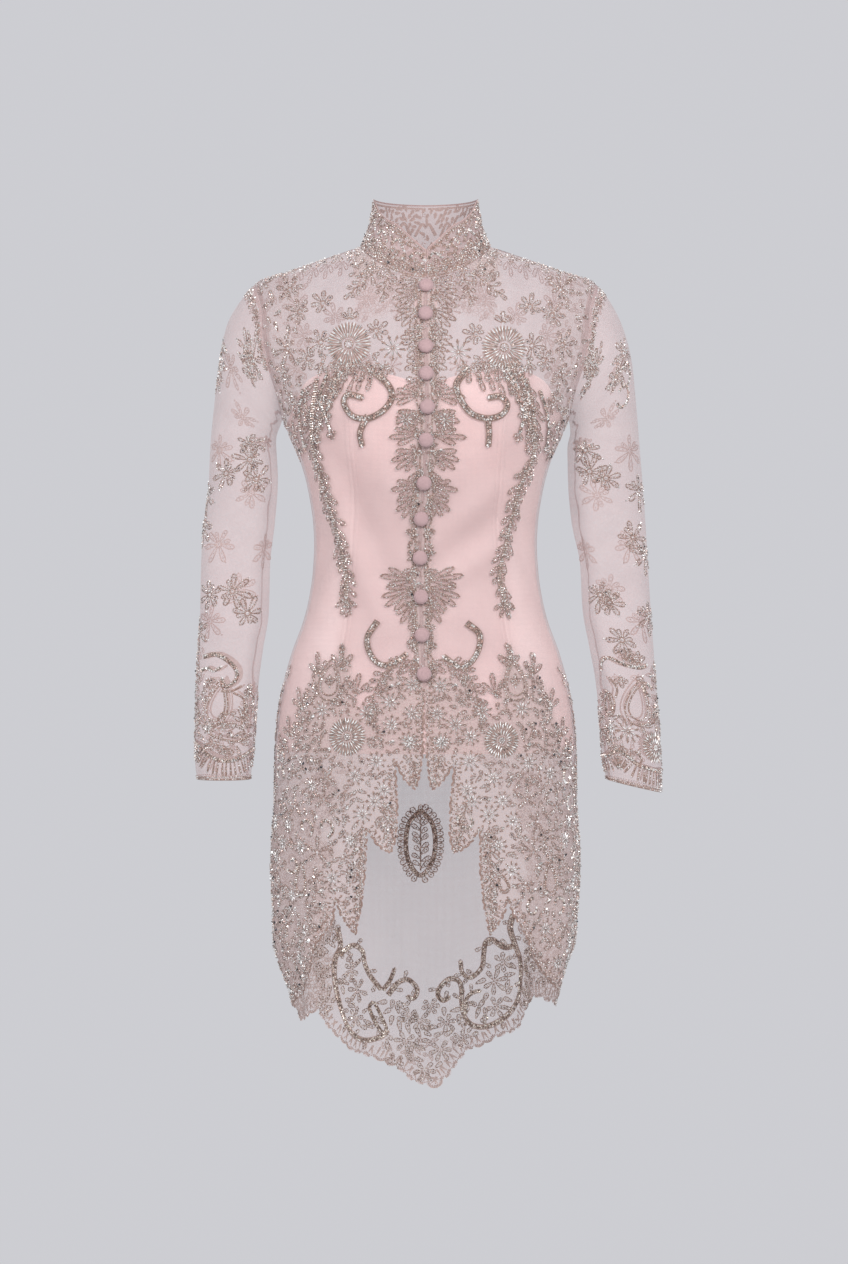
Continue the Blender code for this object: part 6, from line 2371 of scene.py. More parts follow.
@dataclass
class Sleeve:
    """One sheer sleeve with its scattered sprigs and beaded cuff."""

    side: Side
    surface: SleeveSurface
    finishes: Wardrobe
    columns: int = 84
    rows: int = 132
    girth: float = 0.405
    scallops: int = 28
    scallop: float = 0.0022
    sprig_scale: float = 1.28
    head_at: float = 0.0035
    head_fans: int = 7

    def build(self) -> None:
        """Makes the sleeve's pieces."""
        node = f"sleeve_{self.side.word}"
        net = self._net(node)
        lace = Lace(f"lace_{node}", self.surface, self._allowed, 40 + self.side.value)
        self._embroider(lace)
        self._cuff(lace, self.surface.length)
        sewn_on = [*sewn(lace, self.finishes, Slot.NET), self._seam(node)]
        area = sum(p.area for p in net.data.polygons)
        girth, length = self.girth, self.surface.length
        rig.sheet(net, flat=(girth, length), held="hung",
                 area=max(0.31 * girth * length, min(area, 0.99 * girth * length)), with_pieces=sewn_on)

    def _allowed(self, a: Array, b: Array) -> Array:
        """Returns: whether pattern points lie on the sleeve."""
        return (b > 0.002) & (b < self.surface.length + 0.0005)

    def _net(self, node: str) -> bpy.types.Object:
        """Returns: the net tube, with small scallops at the cuff."""
        aa, ss = np.meshgrid(np.linspace(0, 2 * math.pi, self.columns + 1), np.linspace(0, 1, self.rows + 1))
        run = 0.0006 + ss * (self.surface.length - 0.0006)
        wave = np.abs(np.sin(aa * (self.scallops // 2)))
        run = np.where(ss > 0.9999, run - 0.0012 + self.scallop * wave, run)
        p = self.surface.at_angle(aa.ravel(), run.ravel())
        p[:, 0] += self.side.value * 0.0004 * (1 - ss.ravel())
        faces = grid_faces(self.rows + 1, self.columns + 1, self.side is Side.RIGHT)
        uv = np.column_stack([(aa * self.surface.radius(run)).ravel(), run.ravel()])
        return fasten(make_piece(f"net_{node}", p, faces, self.finishes.net, uv=uv), Slot.NET, [node])

    def _seam(self, node: str) -> bpy.types.Object:
        """Returns: the seam under the arm and the turned edge at the armhole."""
        b = np.arange(0.004, self.surface.length - 0.003, 0.004)
        wave = 0.83 + 0.022 * np.sin(b * 78 + 0.6) + 0.012 * np.sin(b * 171)
        under = np.column_stack([math.pi * wave * self.surface.radius(b), b])
        at = np.full(90, self.head_at)
        head = np.column_stack([np.linspace(0, 2 * math.pi, 90) * self.surface.radius(at), at])
        return strip_piece(f"seam_{node}", self.surface, [Strip(under, 0.0050, 0.0006), Strip(head, 0.0052, 0.0005)],
                           self.finishes.tape, Slot.NET)

    def _embroider(self, lace: Lace) -> None:
        """Places the sprigs, in front as measured and behind as their like, and the fans at the armhole.

        Args:
            lace: the sleeve's embroidery.
        """
        for a, b, heading, size in SPRIGS[self.side.value] + HIDDEN_SPRIGS:
            lace.sprig(a / 1000, b / 1000, heading, size / 1000 * self.sprig_scale)
        for a, b in SLEEVE_CURLS[self.side.value]:
            lace.rope([(a / 1000 + 0.010 * math.cos(t), b / 1000 + 0.014 * math.sin(t))
                       for t in np.arange(0.4, 5.9, 0.5)], 0.0034)
        for end, lean in ((0.118, -14), (-0.110, 14)):
            for k in range(self.head_fans):
                lace.fan(end * ((k + 0.5) / self.head_fans), 0.006, 90 + lean, 3, 0.013, 80)

    def _cuff(self, lace: Lace, end: float) -> None:
        """Places the cuff's scrolls, drops, flowers and bars, and their like on its hidden half.

        Args:
            lace: the sleeve's embroidery.
            end: the sleeve's length.
        """
        half = math.pi * float(self.surface.radius(end - 0.03))
        cuff = CUFFS[self.side.value]
        for sign in (1, -1):
            def place(a: float, up: float) -> tuple[float, float]:
                """Returns: the pattern place at a distance round and a height above the hem."""
                return sign * a / 1000, end - up / 1000

            for points, width in cuff.ropes:
                lace.rope([place(*p) for p in points], width / 1000)
            for points in cuff.cords:
                lace.cord([place(*p) for p in points], 0.0026)
            low = lace.rope([place(*p) for p in cuff.arc], 0.0036, 1.0)
            lace.rays(low + (0, 0.0024), 0.0160, 0.0044, sign)
            for spot, length, width, tilt in cuff.drops:
                lace.paisley(*place(*spot), length / 1000, width / 1000, 180 + sign * tilt)
            for a, up, radius in cuff.daisies:
                lace.daisy(*place(a, up), radius / 1000)
            for a, up, radius in cuff.wheels:
                lace.wheel(*place(a, up), radius / 1000, 32)
            for a, up, heading, count, length in cuff.fans:
                lace.fan(*place(a, up), heading if sign > 0 else 180 - heading, count, length / 1000, 26 * count,
                         0.0056)
        edge = np.array([(a, end - 0.0012) for a in np.linspace(-half * 1.02, half * 1.02, 120)])
        lace.cord(edge[::2], 0.0026)
        lace.bead_row(edge - (0, 0.0026), 0.0030)

        def outer(a: Array, b: Array) -> Array:
            """Returns: whether points lie in the close lace along the outer side."""
            return (np.abs(a) < 0.017 + 0.009 * np.sin(b * 70) ** 2) & (b > end - 0.150)

        def rest(a: Array, b: Array) -> Array:
            """Returns: whether points lie in the looser lace round the wrist."""
            return (np.abs(a) > 0.020) & (b > end - 0.075 - 0.030 * np.sin(a * 52) ** 2)

        lace.fill((-0.03, 0.03, end - 0.15, end - 0.02), outer, 0.0088, 0.0100, 0.0048, ground=0.7)
        lace.fill((-half, half, end - 0.11, end - 0.026), rest, 0.0100, 0.0102, 0.0048, ground=0.6)


@dataclass
class Collar:
    """The stand collar: net closely covered with beads, with a bound edge."""

    surface: CollarSurface
    finishes: Wardrobe
    length: float = 0.43
    height: float = 0.076
    columns: int = 90
    rows: int = 10

    def build(self) -> None:
        """Makes the collar's pieces."""
        self.reach = 180 * self.surface.per_degree
        net = self._net()
        lace = Lace("lace_collar", self.surface, self._allowed, 71)
        self._embroider(lace)
        sewn_on = [*sewn(lace, self.finishes, Slot.DENSE), self._binding()]
        area = sum(p.area for p in net.data.polygons)
        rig.sheet(net, flat=(self.length, self.height), held="hung", area=max(0.31 * self.length * self.height, area),
                 with_pieces=sewn_on)

    def _allowed(self, a: Array, b: Array) -> Array:
        """Returns: whether pattern points lie on the collar."""
        height = self.surface.height(a)
        return (b > 0.0002) & (b < height - 0.0004) & (np.abs(a) < self.reach) & (np.abs(a) > 0.0006)

    def _net(self) -> bpy.types.Object:
        """Returns: the collar's net, from one front end round to the other."""
        right = np.linspace(0.0003, self.reach, self.columns)
        a = np.concatenate([right, -right[::-1][1:]])
        aa, vv = np.meshgrid(a, np.linspace(0, 1, self.rows))
        bb = vv * self.surface.height(a)[None]
        p = self.surface.point(aa.ravel(), bb.ravel())
        return fasten(make_piece("net_collar", p, grid_faces(self.rows, len(a), False), self.finishes.tape,
                                 uv=np.column_stack([aa.ravel(), bb.ravel()])), Slot.DENSE, ["collar"])

    def _binding(self) -> bpy.types.Object:
        """Returns: the narrow satin binding of the top edge and the front ends."""
        strips = []
        for sign in (1, -1):
            a = sign * np.linspace(0.0006, self.reach, 120)
            top = self.surface.height(a)
            strips.append(Strip(np.column_stack([a, top - 0.0009]), 0.0017, 0.0008))
            b = np.linspace(0.0004, top[0] - 0.001, 12)
            strips.append(Strip(np.column_stack([np.full(12, sign * 0.0010), b]), 0.0013, 0.0006))
        return strip_piece("collar_binding", self.surface, strips, self.finishes.piping, Slot.SATIN)

    def _embroider(self, lace: Lace) -> None:
        """Places fans, arcs and a close fill.

        Args:
            lace: the collar's embroidery.
        """
        for sign in (1, -1):
            for deg in np.arange(9, 180, 21):
                a = sign * deg * self.surface.per_degree
                height = float(self.surface.height(np.array([a]))[0])
                lace.fan(a, 0.004, 90, 5, min(0.020, height * 0.5), 130)
                lace.rope([(a - 0.009, height * 0.52), (a, height * 0.70), (a + 0.009, height * 0.52)], 0.0032)
            a = sign * np.linspace(0.004, self.reach, 60)
            top = self.surface.height(a)
            lace.cord(np.column_stack([a, top - 0.0046])[::2], 0.0024)
            lace.cord(np.column_stack([a, 0 * a + 0.0022])[::2], 0.0024)

        def region(a: Array, b: Array) -> Array:
            """Returns: whether points lie between the collar's two cords."""
            return (b > 0.002) & (b < self.surface.height(a) - 0.004)

        lace.fill((-self.reach, self.reach, 0.0, 0.075), region, 0.0072, 0.0078, 0.0038, 0.05)


# ================================================================ embroidery of the body
# Distances from the middle and heights in millimetres, then a radius.
WHEELS = [(-87, -125, 26), (89, -129, 26), (-90, -569, 22), (87, -573, 21)]
DAISIES = [(-37, -130, 15), (37, -135, 15), (-22, -212, 12), (22, -212, 12), (-121, -539, 12), (-67, -542, 13),
           (-15, -510, 12), (-40, -529, 11), (-15, -543, 11), (-38, -555, 11), (-20, -573, 11), (-56, -596, 11),
           (-80, -613, 11), (-57, -641, 11), (-86, -685, 9), (64, -540, 12), (112, -537, 12), (17, -512, 11),
           (13, -543, 11), (34, -555, 12), (19, -574, 11), (51, -568, 11), (50, -596, 12), (120, -599, 11),
           (77, -615, 11), (52, -641, 11)]
VINES = [[(-126, -163), (-139, -211), (-140, -243), (-130, -280), (-116, -317), (-103, -353), (-95, -385), (-94, -412)],
         [(116, -163), (131, -212), (133, -250), (114, -287), (107, -320), (96, -353), (87, -386), (94, -415)],
         [(-98, -164), (-115, -191), (-133, -223)], [(96, -164), (115, -191), (129, -223)]]
SCROLLS = [[(-65, -152), (-43, -172), (-38, -187), (-47, -201), (-65, -210), (-84, -207), (-94, -192), (-88, -183),
            (-71, -187)],
           [(49, -153), (35, -172), (40, -190), (52, -205), (71, -210), (88, -205), (94, -194), (85, -185), (71, -187)],
           [(-65, -207), (-75, -225), (-73, -241)], [(71, -210), (73, -228), (72, -241)],
           [(-54, -438), (-66, -457), (-62, -477), (-49, -488), (-33, -484), (-21, -475)],
           [(46, -440), (61, -453), (60, -471), (50, -486), (38, -490), (20, -478)]]
# Beaded strands that hang from the bust's lace, the last of each side over the flank.
STRANDS = [[(-92, -152), (-106, -172), (-115, -199)], [(-112, -158), (-124, -186), (-114, -221)],
           [(-148, -176), (-159, -204), (-160, -232)],
           [(91, -150), (105, -172), (113, -199)], [(108, -156), (121, -185), (112, -224)],
           [(135, -176), (151, -205), (159, -233)]]
STROKES = [[(-48, -31), (-66, -46), (-85, -64)], [(53, -39), (68, -51), (84, -65)],
           [(-36, -24), (-44, -46), (-48, -66)], [(38, -26), (46, -50), (50, -70)],
           [(-20, -487), (-45, -495), (-58, -520), (-62, -545)], [(22, -487), (45, -495), (58, -520), (62, -545)]]
CLUSTERS = [(-200, -48, 21), (-159, -58, 20), (-146, -85, 18), (-163, -127, 21), (-172, -157, 18), (-168, -185, 16),
            (202, -48, 21), (158, -58, 20), (147, -89, 18), (161, -123, 21), (162, -157, 18), (157, -186, 16),
            (-118, -76, 15), (120, -80, 15), (-120, -122, 17), (122, -126, 17), (-56, -110, 14), (57, -114, 14),
            (-136, -140, 15), (137, -142, 15)]
# Height, distance from the closing line, heading on the right side, petals, length, spread.
CASCADE = [(-50, 8, 188, 3, 26, 40), (-62, 8, 208, 4, 33, 54), (-84, 7, 216, 4, 30, 60),
           (-104, 6, 236, 3, 20, 60), (-116, 6, 196, 4, 23, 64), (-128, 6, 222, 3, 19, 50),
           (-146, 6, 208, 3, 19, 60), (-168, 6, 205, 3, 20, 64), (-184, 7, 184, 3, 34, 34), (-203, 7, 212, 4, 31, 62),
           (-229, 7, 184, 3, 35, 36), (-247, 7, 208, 4, 33, 56), (-268, 6, 240, 2, 20, 30), (-285, 7, 190, 3, 30, 44),
           (-296, 6, 226, 4, 30, 60), (-334, 5, 225, 2, 13, 50), (-356, 5, 240, 2, 12, 40), (-378, 6, 222, 2, 17, 40),
           (-392, 7, 172, 3, 40, 34), (-400, 7, 204, 4, 41, 50), (-412, 6, 240, 3, 33, 40), (-440, 5, 235, 2, 13, 40),
           (-462, 5, 225, 2, 14, 40), (-484, 6, 212, 3, 21, 60)]
# Petals hanging from the bust's lace: distance from the centre, drop below the lining's top, length.
BUST_PETALS = [(0.060, 0.006, 0.018), (0.071, 0.004, 0.021), (0.081, 0.008, 0.024), (0.092, 0.004, 0.024),
               (0.100, 0.000, 0.031), (0.107, 0.006, 0.034), (0.112, 0.016, 0.030), (0.100, 0.020, 0.026)]
# The skirt: drops, then fans with their heading on the left side, then the stems of the hanging tongues.
HIP_DROPS = [(-112, -505), (104, -505)]
HIP_FANS = [(0.097, -0.492, 90), (0.127, -0.500, 82), (0.080, -0.522, 100), (0.150, -0.538, 70),
            (0.168, -0.572, 75), (0.185, -0.592, 70)]
TONGUES = [([(72, -668), (74, -720), (74, -772)], 0.0155), ([(47, -640), (42, -662), (35, -688)], 0.0125),
           ([(17, -588), (13, -602), (9, -619)], 0.0100)]
HIP_TOP = Curve([v / 1000 for v in (0, 45, 60, 75, 85, 97, 108, 118, 127, 138, 152, 163, 172, 180, 190, 230)],
                [v / 1000 for v in (-500, -500, -530, -545, -500, -462, -490, -495, -478, -505, -525, -560, -585,
                                    -572, -600, -615)])
TAIL_ROPES = [
    ([(-112, -809), (-109, -831), (-118, -847), (-120, -874), (-112, -908), (-97, -935), (-76, -948), (-56, -946),
      (-46, -937)], 7),
    ([(-111, -842), (-100, -835), (-88, -832), (-77, -840), (-74, -855), (-67, -870), (-54, -887)], 6),
    ([(-52, -888), (-44, -877), (-38, -862)], 5),
    ([(-46, -894), (-34, -879), (-23, -875), (-16, -879), (-10, -888), (-14, -898), (-23, -896)], 6),
    ([(-63, -902), (-68, -909), (-61, -927), (-52, -940), (-48, -935), (-56, -915), (-62, -903)], 4),
    ([(108, -794), (104, -811), (111, -831), (119, -847), (122, -867), (119, -892), (104, -914), (82, -929),
      (62, -930), (49, -920), (45, -903), (45, -888)], 7),
    ([(111, -831), (97, -834), (83, -825), (75, -829), (73, -844), (71, -859), (58, -871), (46, -867), (43, -852)], 6),
    ([(46, -891), (41, -877), (29, -875), (18, -885), (15, -895), (21, -902), (29, -897)], 6),
    ([(50, -916), (52, -897), (62, -889), (70, -887)], 5)]
TAIL_STARS = [(-84, -886, 14), (86, -875, 14), (-120, -812, 12), (-133, -829, 11), (-141, -846, 12), (-168, -860, 11),
              (-135, -899, 12), (134, -829, 12), (146, -845, 11), (166, -861, 12), (141, -893, 12), (-25, -950, 12),
              (18, -962, 12), (-1, -987, 12), (-38, -974, 10), (-7, -925, 11), (6, -908, 9), (-92, -860, 10),
              (95, -852, 10), (-88, -918, 11), (88, -906, 11), (44, -946, 10), (-20, -918, 9), (25, -928, 10)]
# The back's left half, which the right one mirrors: sprigs, the scroll at the lining's top and the vines.
BACK_CLUSTERS = [(0.158, -0.060, 0.020, 40), (0.147, -0.095, 0.017, 0), (0.160, -0.135, 0.019, -40),
                 (0.160, -0.172, 0.016, -80), (0.110, -0.072, 0.015, 80), (0.070, -0.050, 0.015, 60)]
BACK_SCROLL = [(49, -165), (36, -184), (42, -201), (60, -212), (80, -208), (90, -194), (80, -186), (68, -190)]
BACK_VINES = [([(125, -160), (120, -235), (108, -300), (90, -360), (85, -420)], 0.0155),
              ([(140, -540), (105, -480), (80, -462)], 0.014)]
TAIL_DROP = [(-6, -668), (8, -684), (12, -708), (8, -732), (-6, -748), (-20, -732), (-24, -708), (-20, -684)]


# Sprigs of a sleeve: distance round from its outer side, length down it, heading and size.
SPRIGS = {
    -1: [(92, 40, 250, 21), (76, 46, 100, 19), (84, 66, 230, 17), (18, 92, 80, 20), (20, 120, 110, 16),
         (80, 205, 30, 17), (78, 228, 200, 17), (84, 252, 320, 17), (48, 240, 170, 15), (12, 262, 80, 18),
         (16, 300, 100, 17), (62, 376, 20, 17), (34, 378, 160, 15), (78, 402, 300, 15), (12, 420, 80, 18)],
    1: [(104, 20, 250, 19), (112, 42, 280, 17), (94, 44, 200, 15), (40, 84, 40, 20), (60, 104, 250, 16),
        (92, 214, 100, 17), (86, 240, 250, 17), (68, 246, 200, 13), (26, 256, 90, 18), (40, 312, 180, 17),
        (22, 330, 90, 18), (82, 384, 80, 17), (72, 392, 180, 13), (60, 434, 60, 15), (22, 402, 90, 18)],
}
HIDDEN_SPRIGS = [(-40, 96, 80, 20), (-64, 150, 250, 17), (-30, 205, 90, 19), (-72, 262, 200, 17), (-38, 318, 60, 18),
                 (-66, 372, 100, 17), (-28, 408, 80, 18), (-96, 190, 80, 16), (-98, 330, 90, 16)]
SLEEVE_CURLS = {-1: [(28, 96)], 1: [(40, 110), (47, 136)]}


@dataclass(frozen=True)
class Cuff:
    """A cuff's figures. Distances round from the outer side and heights above the hem, in millimetres."""

    ropes: Sequence[tuple[Line, float]]
    cords: Sequence[Line]
    arc: Line
    drops: Sequence[tuple[tuple[float, float], float, float, float]]
    daisies: Sequence[Place]
    wheels: Sequence[Place]
    fans: Sequence[tuple[float, float, float, int, float]]


CUFFS = {
    -1: Cuff(
        ropes=[([(28, 141), (44, 143), (57, 136), (68, 124), (69, 113), (61, 105), (54, 107), (53, 115)], 4.6),
                  ([(24, 124), (33, 128), (43, 124), (52, 128)], 3.4)],
        cords=[[(52, 100), (64, 99), (75, 104)], [(66, 97), (78, 89), (80, 77), (76, 62), (82, 48)],
                  [(16, 70), (33, 58), (43, 50), (57, 45), (73, 43), (87, 48)]],
        arc=[(4, 45), (20, 40), (30, 34), (40, 27), (52, 23), (65, 23), (81, 28), (93, 33), (102, 33)],
        drops=[((47, 87), 40, 20, 14)],
        daisies=[(37, 60, 8)],
        wheels=[],
        fans=[(45, 64, -20, 2, 19), (46, 57, -14, 1, 19), (34, 116, 60, 3, 15), (88, 70, 200, 4, 14),
                 (92, 92, 220, 4, 14), (60, 38, 100, 3, 11), (36, 44, 80, 2, 12)],
    ),
    1: Cuff(
        ropes=[([(30, 146), (42, 141), (60, 142), (76, 147), (86, 141), (90, 131)], 4.0),
                  ([(24, 118), (34, 124), (38, 116), (30, 110)], 3.4)],
        cords=[[(48, 74), (34, 76), (14, 84)], [(78, 124), (70, 112), (72, 100)],
                  [(90, 98), (82, 106), (74, 96), (76, 80), (86, 74)], [(52, 42), (44, 34), (48, 26)]],
        arc=[(4, 26), (22, 24), (36, 25), (48, 27), (60, 35), (72, 38), (86, 30), (102, 28)],
        drops=[((45, 99), 42, 21, -10), ((84, 92), 24, 10, 6)],
        daisies=[(59, 62, 13), (80, 62, 9)],
        wheels=[(25, 50, 18)],
        fans=[(60, 146, 240, 3, 15), (42, 144, 290, 4, 15), (38, 132, 60, 2, 12), (66, 128, 100, 3, 13),
                 (92, 52, 200, 4, 13), (66, 46, 80, 3, 11), (18, 100, 120, 3, 13)],
    ),
}


def inward_of(line: Array, outline: Array) -> int:
    """Tells on which side of a hem the cloth lies.

    Args:
        line: the hem's points.
        outline: the piece's outline.

    Returns:
        1 for the left of the line's travel, -1 for its right.
    """
    k = len(line) // 2
    turn = headings(line)[k]
    test = line[k] + 0.004 * np.array([-math.sin(turn), math.cos(turn)])
    return 1 if contains(outline, test[None])[0] else -1


class BodyLace:
    """The embroidery sewn to one net piece of the body."""

    def __init__(self, name: str, surface: BodySurface, allowed: Mask, seed: int) -> None:
        """Args:
        name: the net piece's name.
        surface: the front or the back.
        allowed: tells which pattern points lie on the piece.
        seed: the seed of its small irregularities.
        """
        self.lace = Lace(f"lace_{name}", surface, allowed, seed)

    def mine(self, rows: Sequence[tuple[float, ...]]) -> list[tuple[float, ...]]:
        """Returns: the rows that lie on this piece, in metres."""
        out = millimetres(rows)
        return [r for r in out if bool(self.lace.allowed(np.array([r[0]]), np.array([r[1]]))[0])]

    def cluster(self, a: float, b: float, size: float, heading: float) -> None:
        """A five-petalled sprig with two small leaves behind it.

        Args:
            a: pattern place.
            b: pattern place.
            size: a petal's length.
            heading: the middle petal's way, in degrees.
        """
        self.lace.fan(a, b, heading, 5, size, 200, 0.0058)
        self.lace.fan(a, b, heading + 180, 2, size * 0.65, 70, 0.0046)
        self.lace.taken.append((a, b, size * 0.75))

    def edge(self, line: Array, inward: int, reach: float, pitch: float) -> None:
        """The cord along a hem, a row of beads beside it and short bars standing on it.

        Args:
            line: the hem's points.
            inward: 1 where the cloth lies left of the line's travel.
            reach: the bars' length.
            pitch: the distance from bar to bar.
        """
        into = leftward(headings(line)) * inward
        self.lace.cords.append(Strip(line + into * 0.0009, 0.0022, 0.0009))
        self.lace.bead_row(line + into * 0.0027, LACE.rim_pitch)
        self.lace.rays(line + into * 0.0042, reach, pitch, inward)
        for k in range(0, len(line), 3):
            self.lace.taken.append((*(line[k] + into[k] * reach * 0.5), reach * 0.5 + 0.0022))

    def garden(self, box: Box, mask: Mask, pitch: float) -> None:
        """Flowers, fans, drops and curling stems set out over a region, as the fill's larger figures.

        Args:
            box: pattern box of a0, a1, b0 and b1.
            mask: tells which points are in the region.
            pitch: the distance from figure to figure.
        """
        lace = self.lace
        a, b = lace.scatter(box, pitch)
        ok = mask(a, b) & lace.allowed(a, b)
        for da, db in ((0.008, 0), (-0.008, 0), (0, 0.008), (0, -0.008)):
            ok &= lace.allowed(a + da, b + db)
        a, b = a[ok], b[ok]
        for k in range(len(a)):
            if not lace.free(a[k:k + 1], b[k:k + 1], 0.0085)[0]:
                continue
            kind = (k * 5 + int(lace.rng.integers(0, 3))) % 7
            turn = float(lace.rng.uniform(0, 360))
            if kind in (0, 3):
                lace.daisy(a[k], b[k], 0.0102)
            elif kind in (1, 4):
                lace.fan(a[k], b[k], turn, 5, 0.0135, 210, 0.0050)
                lace.taken.append((a[k], b[k], 0.0115))
            elif kind == 2:
                lace.paisley(a[k], b[k], 0.017, 0.0085, 25 * math.sin(turn))
            else:
                lace.rope([moved(a[k], b[k], turn + t, r)
                           for t, r in zip(np.linspace(0, 4.6, 9), np.linspace(0.0125, 0.0035, 9))], 0.0036, 0.6)
                lace.taken.append((a[k], b[k], 0.0105))


class FrontLace(BodyLace):
    """The embroidery of one front."""

    def __init__(self, side: Side, surface: BodySurface, pattern: BodyPattern) -> None:
        """Args:
        side: the wearer's side.
        surface: the front.
        pattern: the flat outlines.
        """
        whole = pattern.allowed(False)

        def allowed(a: Array, b: Array) -> Array:
            """Returns: whether points lie on this side of the closing line."""
            return whole(a, b) & (side.value * (a - np.where(b > SIZE.slit_top_z, closing_s(b), a * 0)) > 0.0006)

        super().__init__(f"front_{side.word}", surface, allowed, 20 + side.value)
        self.side = side
        self.sign = side.value
        self._yoke()
        self._cascade()
        self._bust()
        self._hips(pattern)
        self._strands()

    def own(self, lines: Sequence[Line]) -> list[Line]:
        """Returns: the lines that start on this side, in metres."""
        return [millimetres(points) for points in lines if points[0][0] * self.sign > 0]

    def _yoke(self) -> None:
        """Wheels, flowers and sprigs over the sheer yoke, and the strokes below the collar."""
        lace = self.lace
        for a, b, r in self.mine(WHEELS):
            lace.wheel(a, b, r)
            if b > -0.3:
                lace.fan(a - 0.001 * self.sign, b + r + 0.0015, 90, 3, 0.014, 90, 0.0062)
                for turn in (205, 270, 335):
                    lace.fan(*moved(a, b, math.radians(turn), r + 0.002), turn, 2, 0.010, 50)
        for a, b, r in self.mine(DAISIES):
            lace.daisy(a, b, r)
        for line in self.own(STROKES):
            lace.spray(line, 0.013, 0.0054, 0.0085, 0.7)
        for a, b, r in self.mine(CLUSTERS):
            centre = 0.088 * self.sign
            lean = math.degrees(math.atan2(b + 0.135, a - centre)) + self.lace.rng.uniform(-25, 25)
            self.cluster(a, b, r, lean)
        for u in np.linspace(0.1, 0.93, 7):
            a = self.sign * (0.052 + u * 0.14)
            self.lace.fan(a, -0.003 - 0.030 * u ** 1.3, 250, 3, 0.013, 100, 0.005)

        def near_neck(a: Array, b: Array) -> Array:
            """Returns: whether points lie close below the collar."""
            return (b > -0.030 - 0.5 * (np.abs(a) - 0.04)) & (np.abs(a) < 0.085) & (b > -0.052)

        def by_armhole(a: Array, b: Array) -> Array:
            """Returns: whether points lie along the armhole."""
            return (np.abs(a) > 0.143) & (b < -0.03) & (b > -0.20)

        lace.fill((-0.10, 0.10, -0.055, 0.0), near_neck, 0.0092, 0.0095)
        lace.fill((-0.22, 0.22, -0.20, -0.02), by_armhole, 0.0160, 0.012, 0.0050, loose=0.7)

    def _cascade(self) -> None:
        """The fans and cords down the closing edge."""
        lace = self.lace
        for z, off, heading, count, length, spread in CASCADE:
            b = z / 1000
            turn = heading if self.side is Side.RIGHT else 180 - heading
            lace.fan(float(closing_s(b)) + self.sign * off / 1000, b, turn, count, length / 1000, spread, 0.0064)
        z = np.arange(SIZE.slit_top_z, -0.034, 0.004)
        for off, wave in ((0.0058, 0.0), (0.0100, 0.0022)):
            line = np.column_stack([closing_s(z) + self.sign * (off + wave * np.sin(z * 190)), z])
            lace.cord(line[::2], 0.0019)

        def beside(a: Array, b: Array) -> Array:
            """Returns: whether points lie beside the closing line."""
            return np.abs(a - closing_s(b)) < 0.0115 + 0.003 * np.sin(b * 60 + 0.8) ** 2

        lace.fill((-0.04, 0.04, SIZE.slit_top_z, -0.034), beside, 0.0098, 0.0095)

    def _bust(self) -> None:
        """The scrolls and hanging petals at the lining's top, and the vines down the side seams."""
        lace = self.lace
        for line in self.own(SCROLLS):
            lace.rope(line, 0.0076 if line[0][1] > -0.4 else 0.0070)
        for a in np.arange(0.050, 0.117, 0.0105):
            z = float(lining_top_z(a, False)) + 0.004
            lace.petal(self.sign * a, z, math.radians(-90 + self.sign * self.lace.rng.uniform(-14, 14)), 0.015, 0.0062)
        for a in np.arange(0.044, 0.122, 0.0105):
            z = float(lining_top_z(a, False)) + 0.014
            lace.fan(self.sign * a, z, -90 + self.sign * float(lace.rng.uniform(-10, 22)), 3, 0.0150, 66, 0.0052)
        for a, drop, size in BUST_PETALS:
            z = float(lining_top_z(a, False)) + 0.002 - drop
            lace.petal(self.sign * a, z, math.radians(-90 + self.sign * (16 + 900 * drop)), size, 0.0058)
        vines = self.own(VINES)
        for line in vines:
            length, pitch = (0.0215, 0.0115) if line is vines[0] else (0.0175, 0.0135)
            lace.spray(line, length, 0.0064, pitch, 0.80, 33)
            for shift in (-0.0016, 0.0018):
                lace.cord([(a + shift, b) for a, b in line], 0.0026)
        lace.fan(*vines[0][-1], 270, 4, 0.019, 110, 0.0052)

    def _strands(self) -> None:
        """The hanging strands of the bust and the petals that run down below the armhole."""
        lace = self.lace
        for points in self.own(STRANDS):
            line = lace.rope(points, 0.0042, 1.0)
            turn = float(headings(line)[-1])
            lace.petal(*line[-1], turn, 0.0120, 0.0062)
            lace.fan(*line[-1], math.degrees(turn), 2, 0.0100, 80, 0.0050)

        def below_arm(a: Array, b: Array) -> Array:
            """Returns: whether points lie below the armhole."""
            return (np.abs(a) > 0.147 + 0.55 * np.maximum(0.0, -0.205 - b)) & (b <= -0.190) & (b > -0.250)

        lace.fill((-0.22, 0.22, -0.250, -0.185), below_arm, 0.0112, 0.0130, 0.0050, 0.03, 0.30, 0.6)

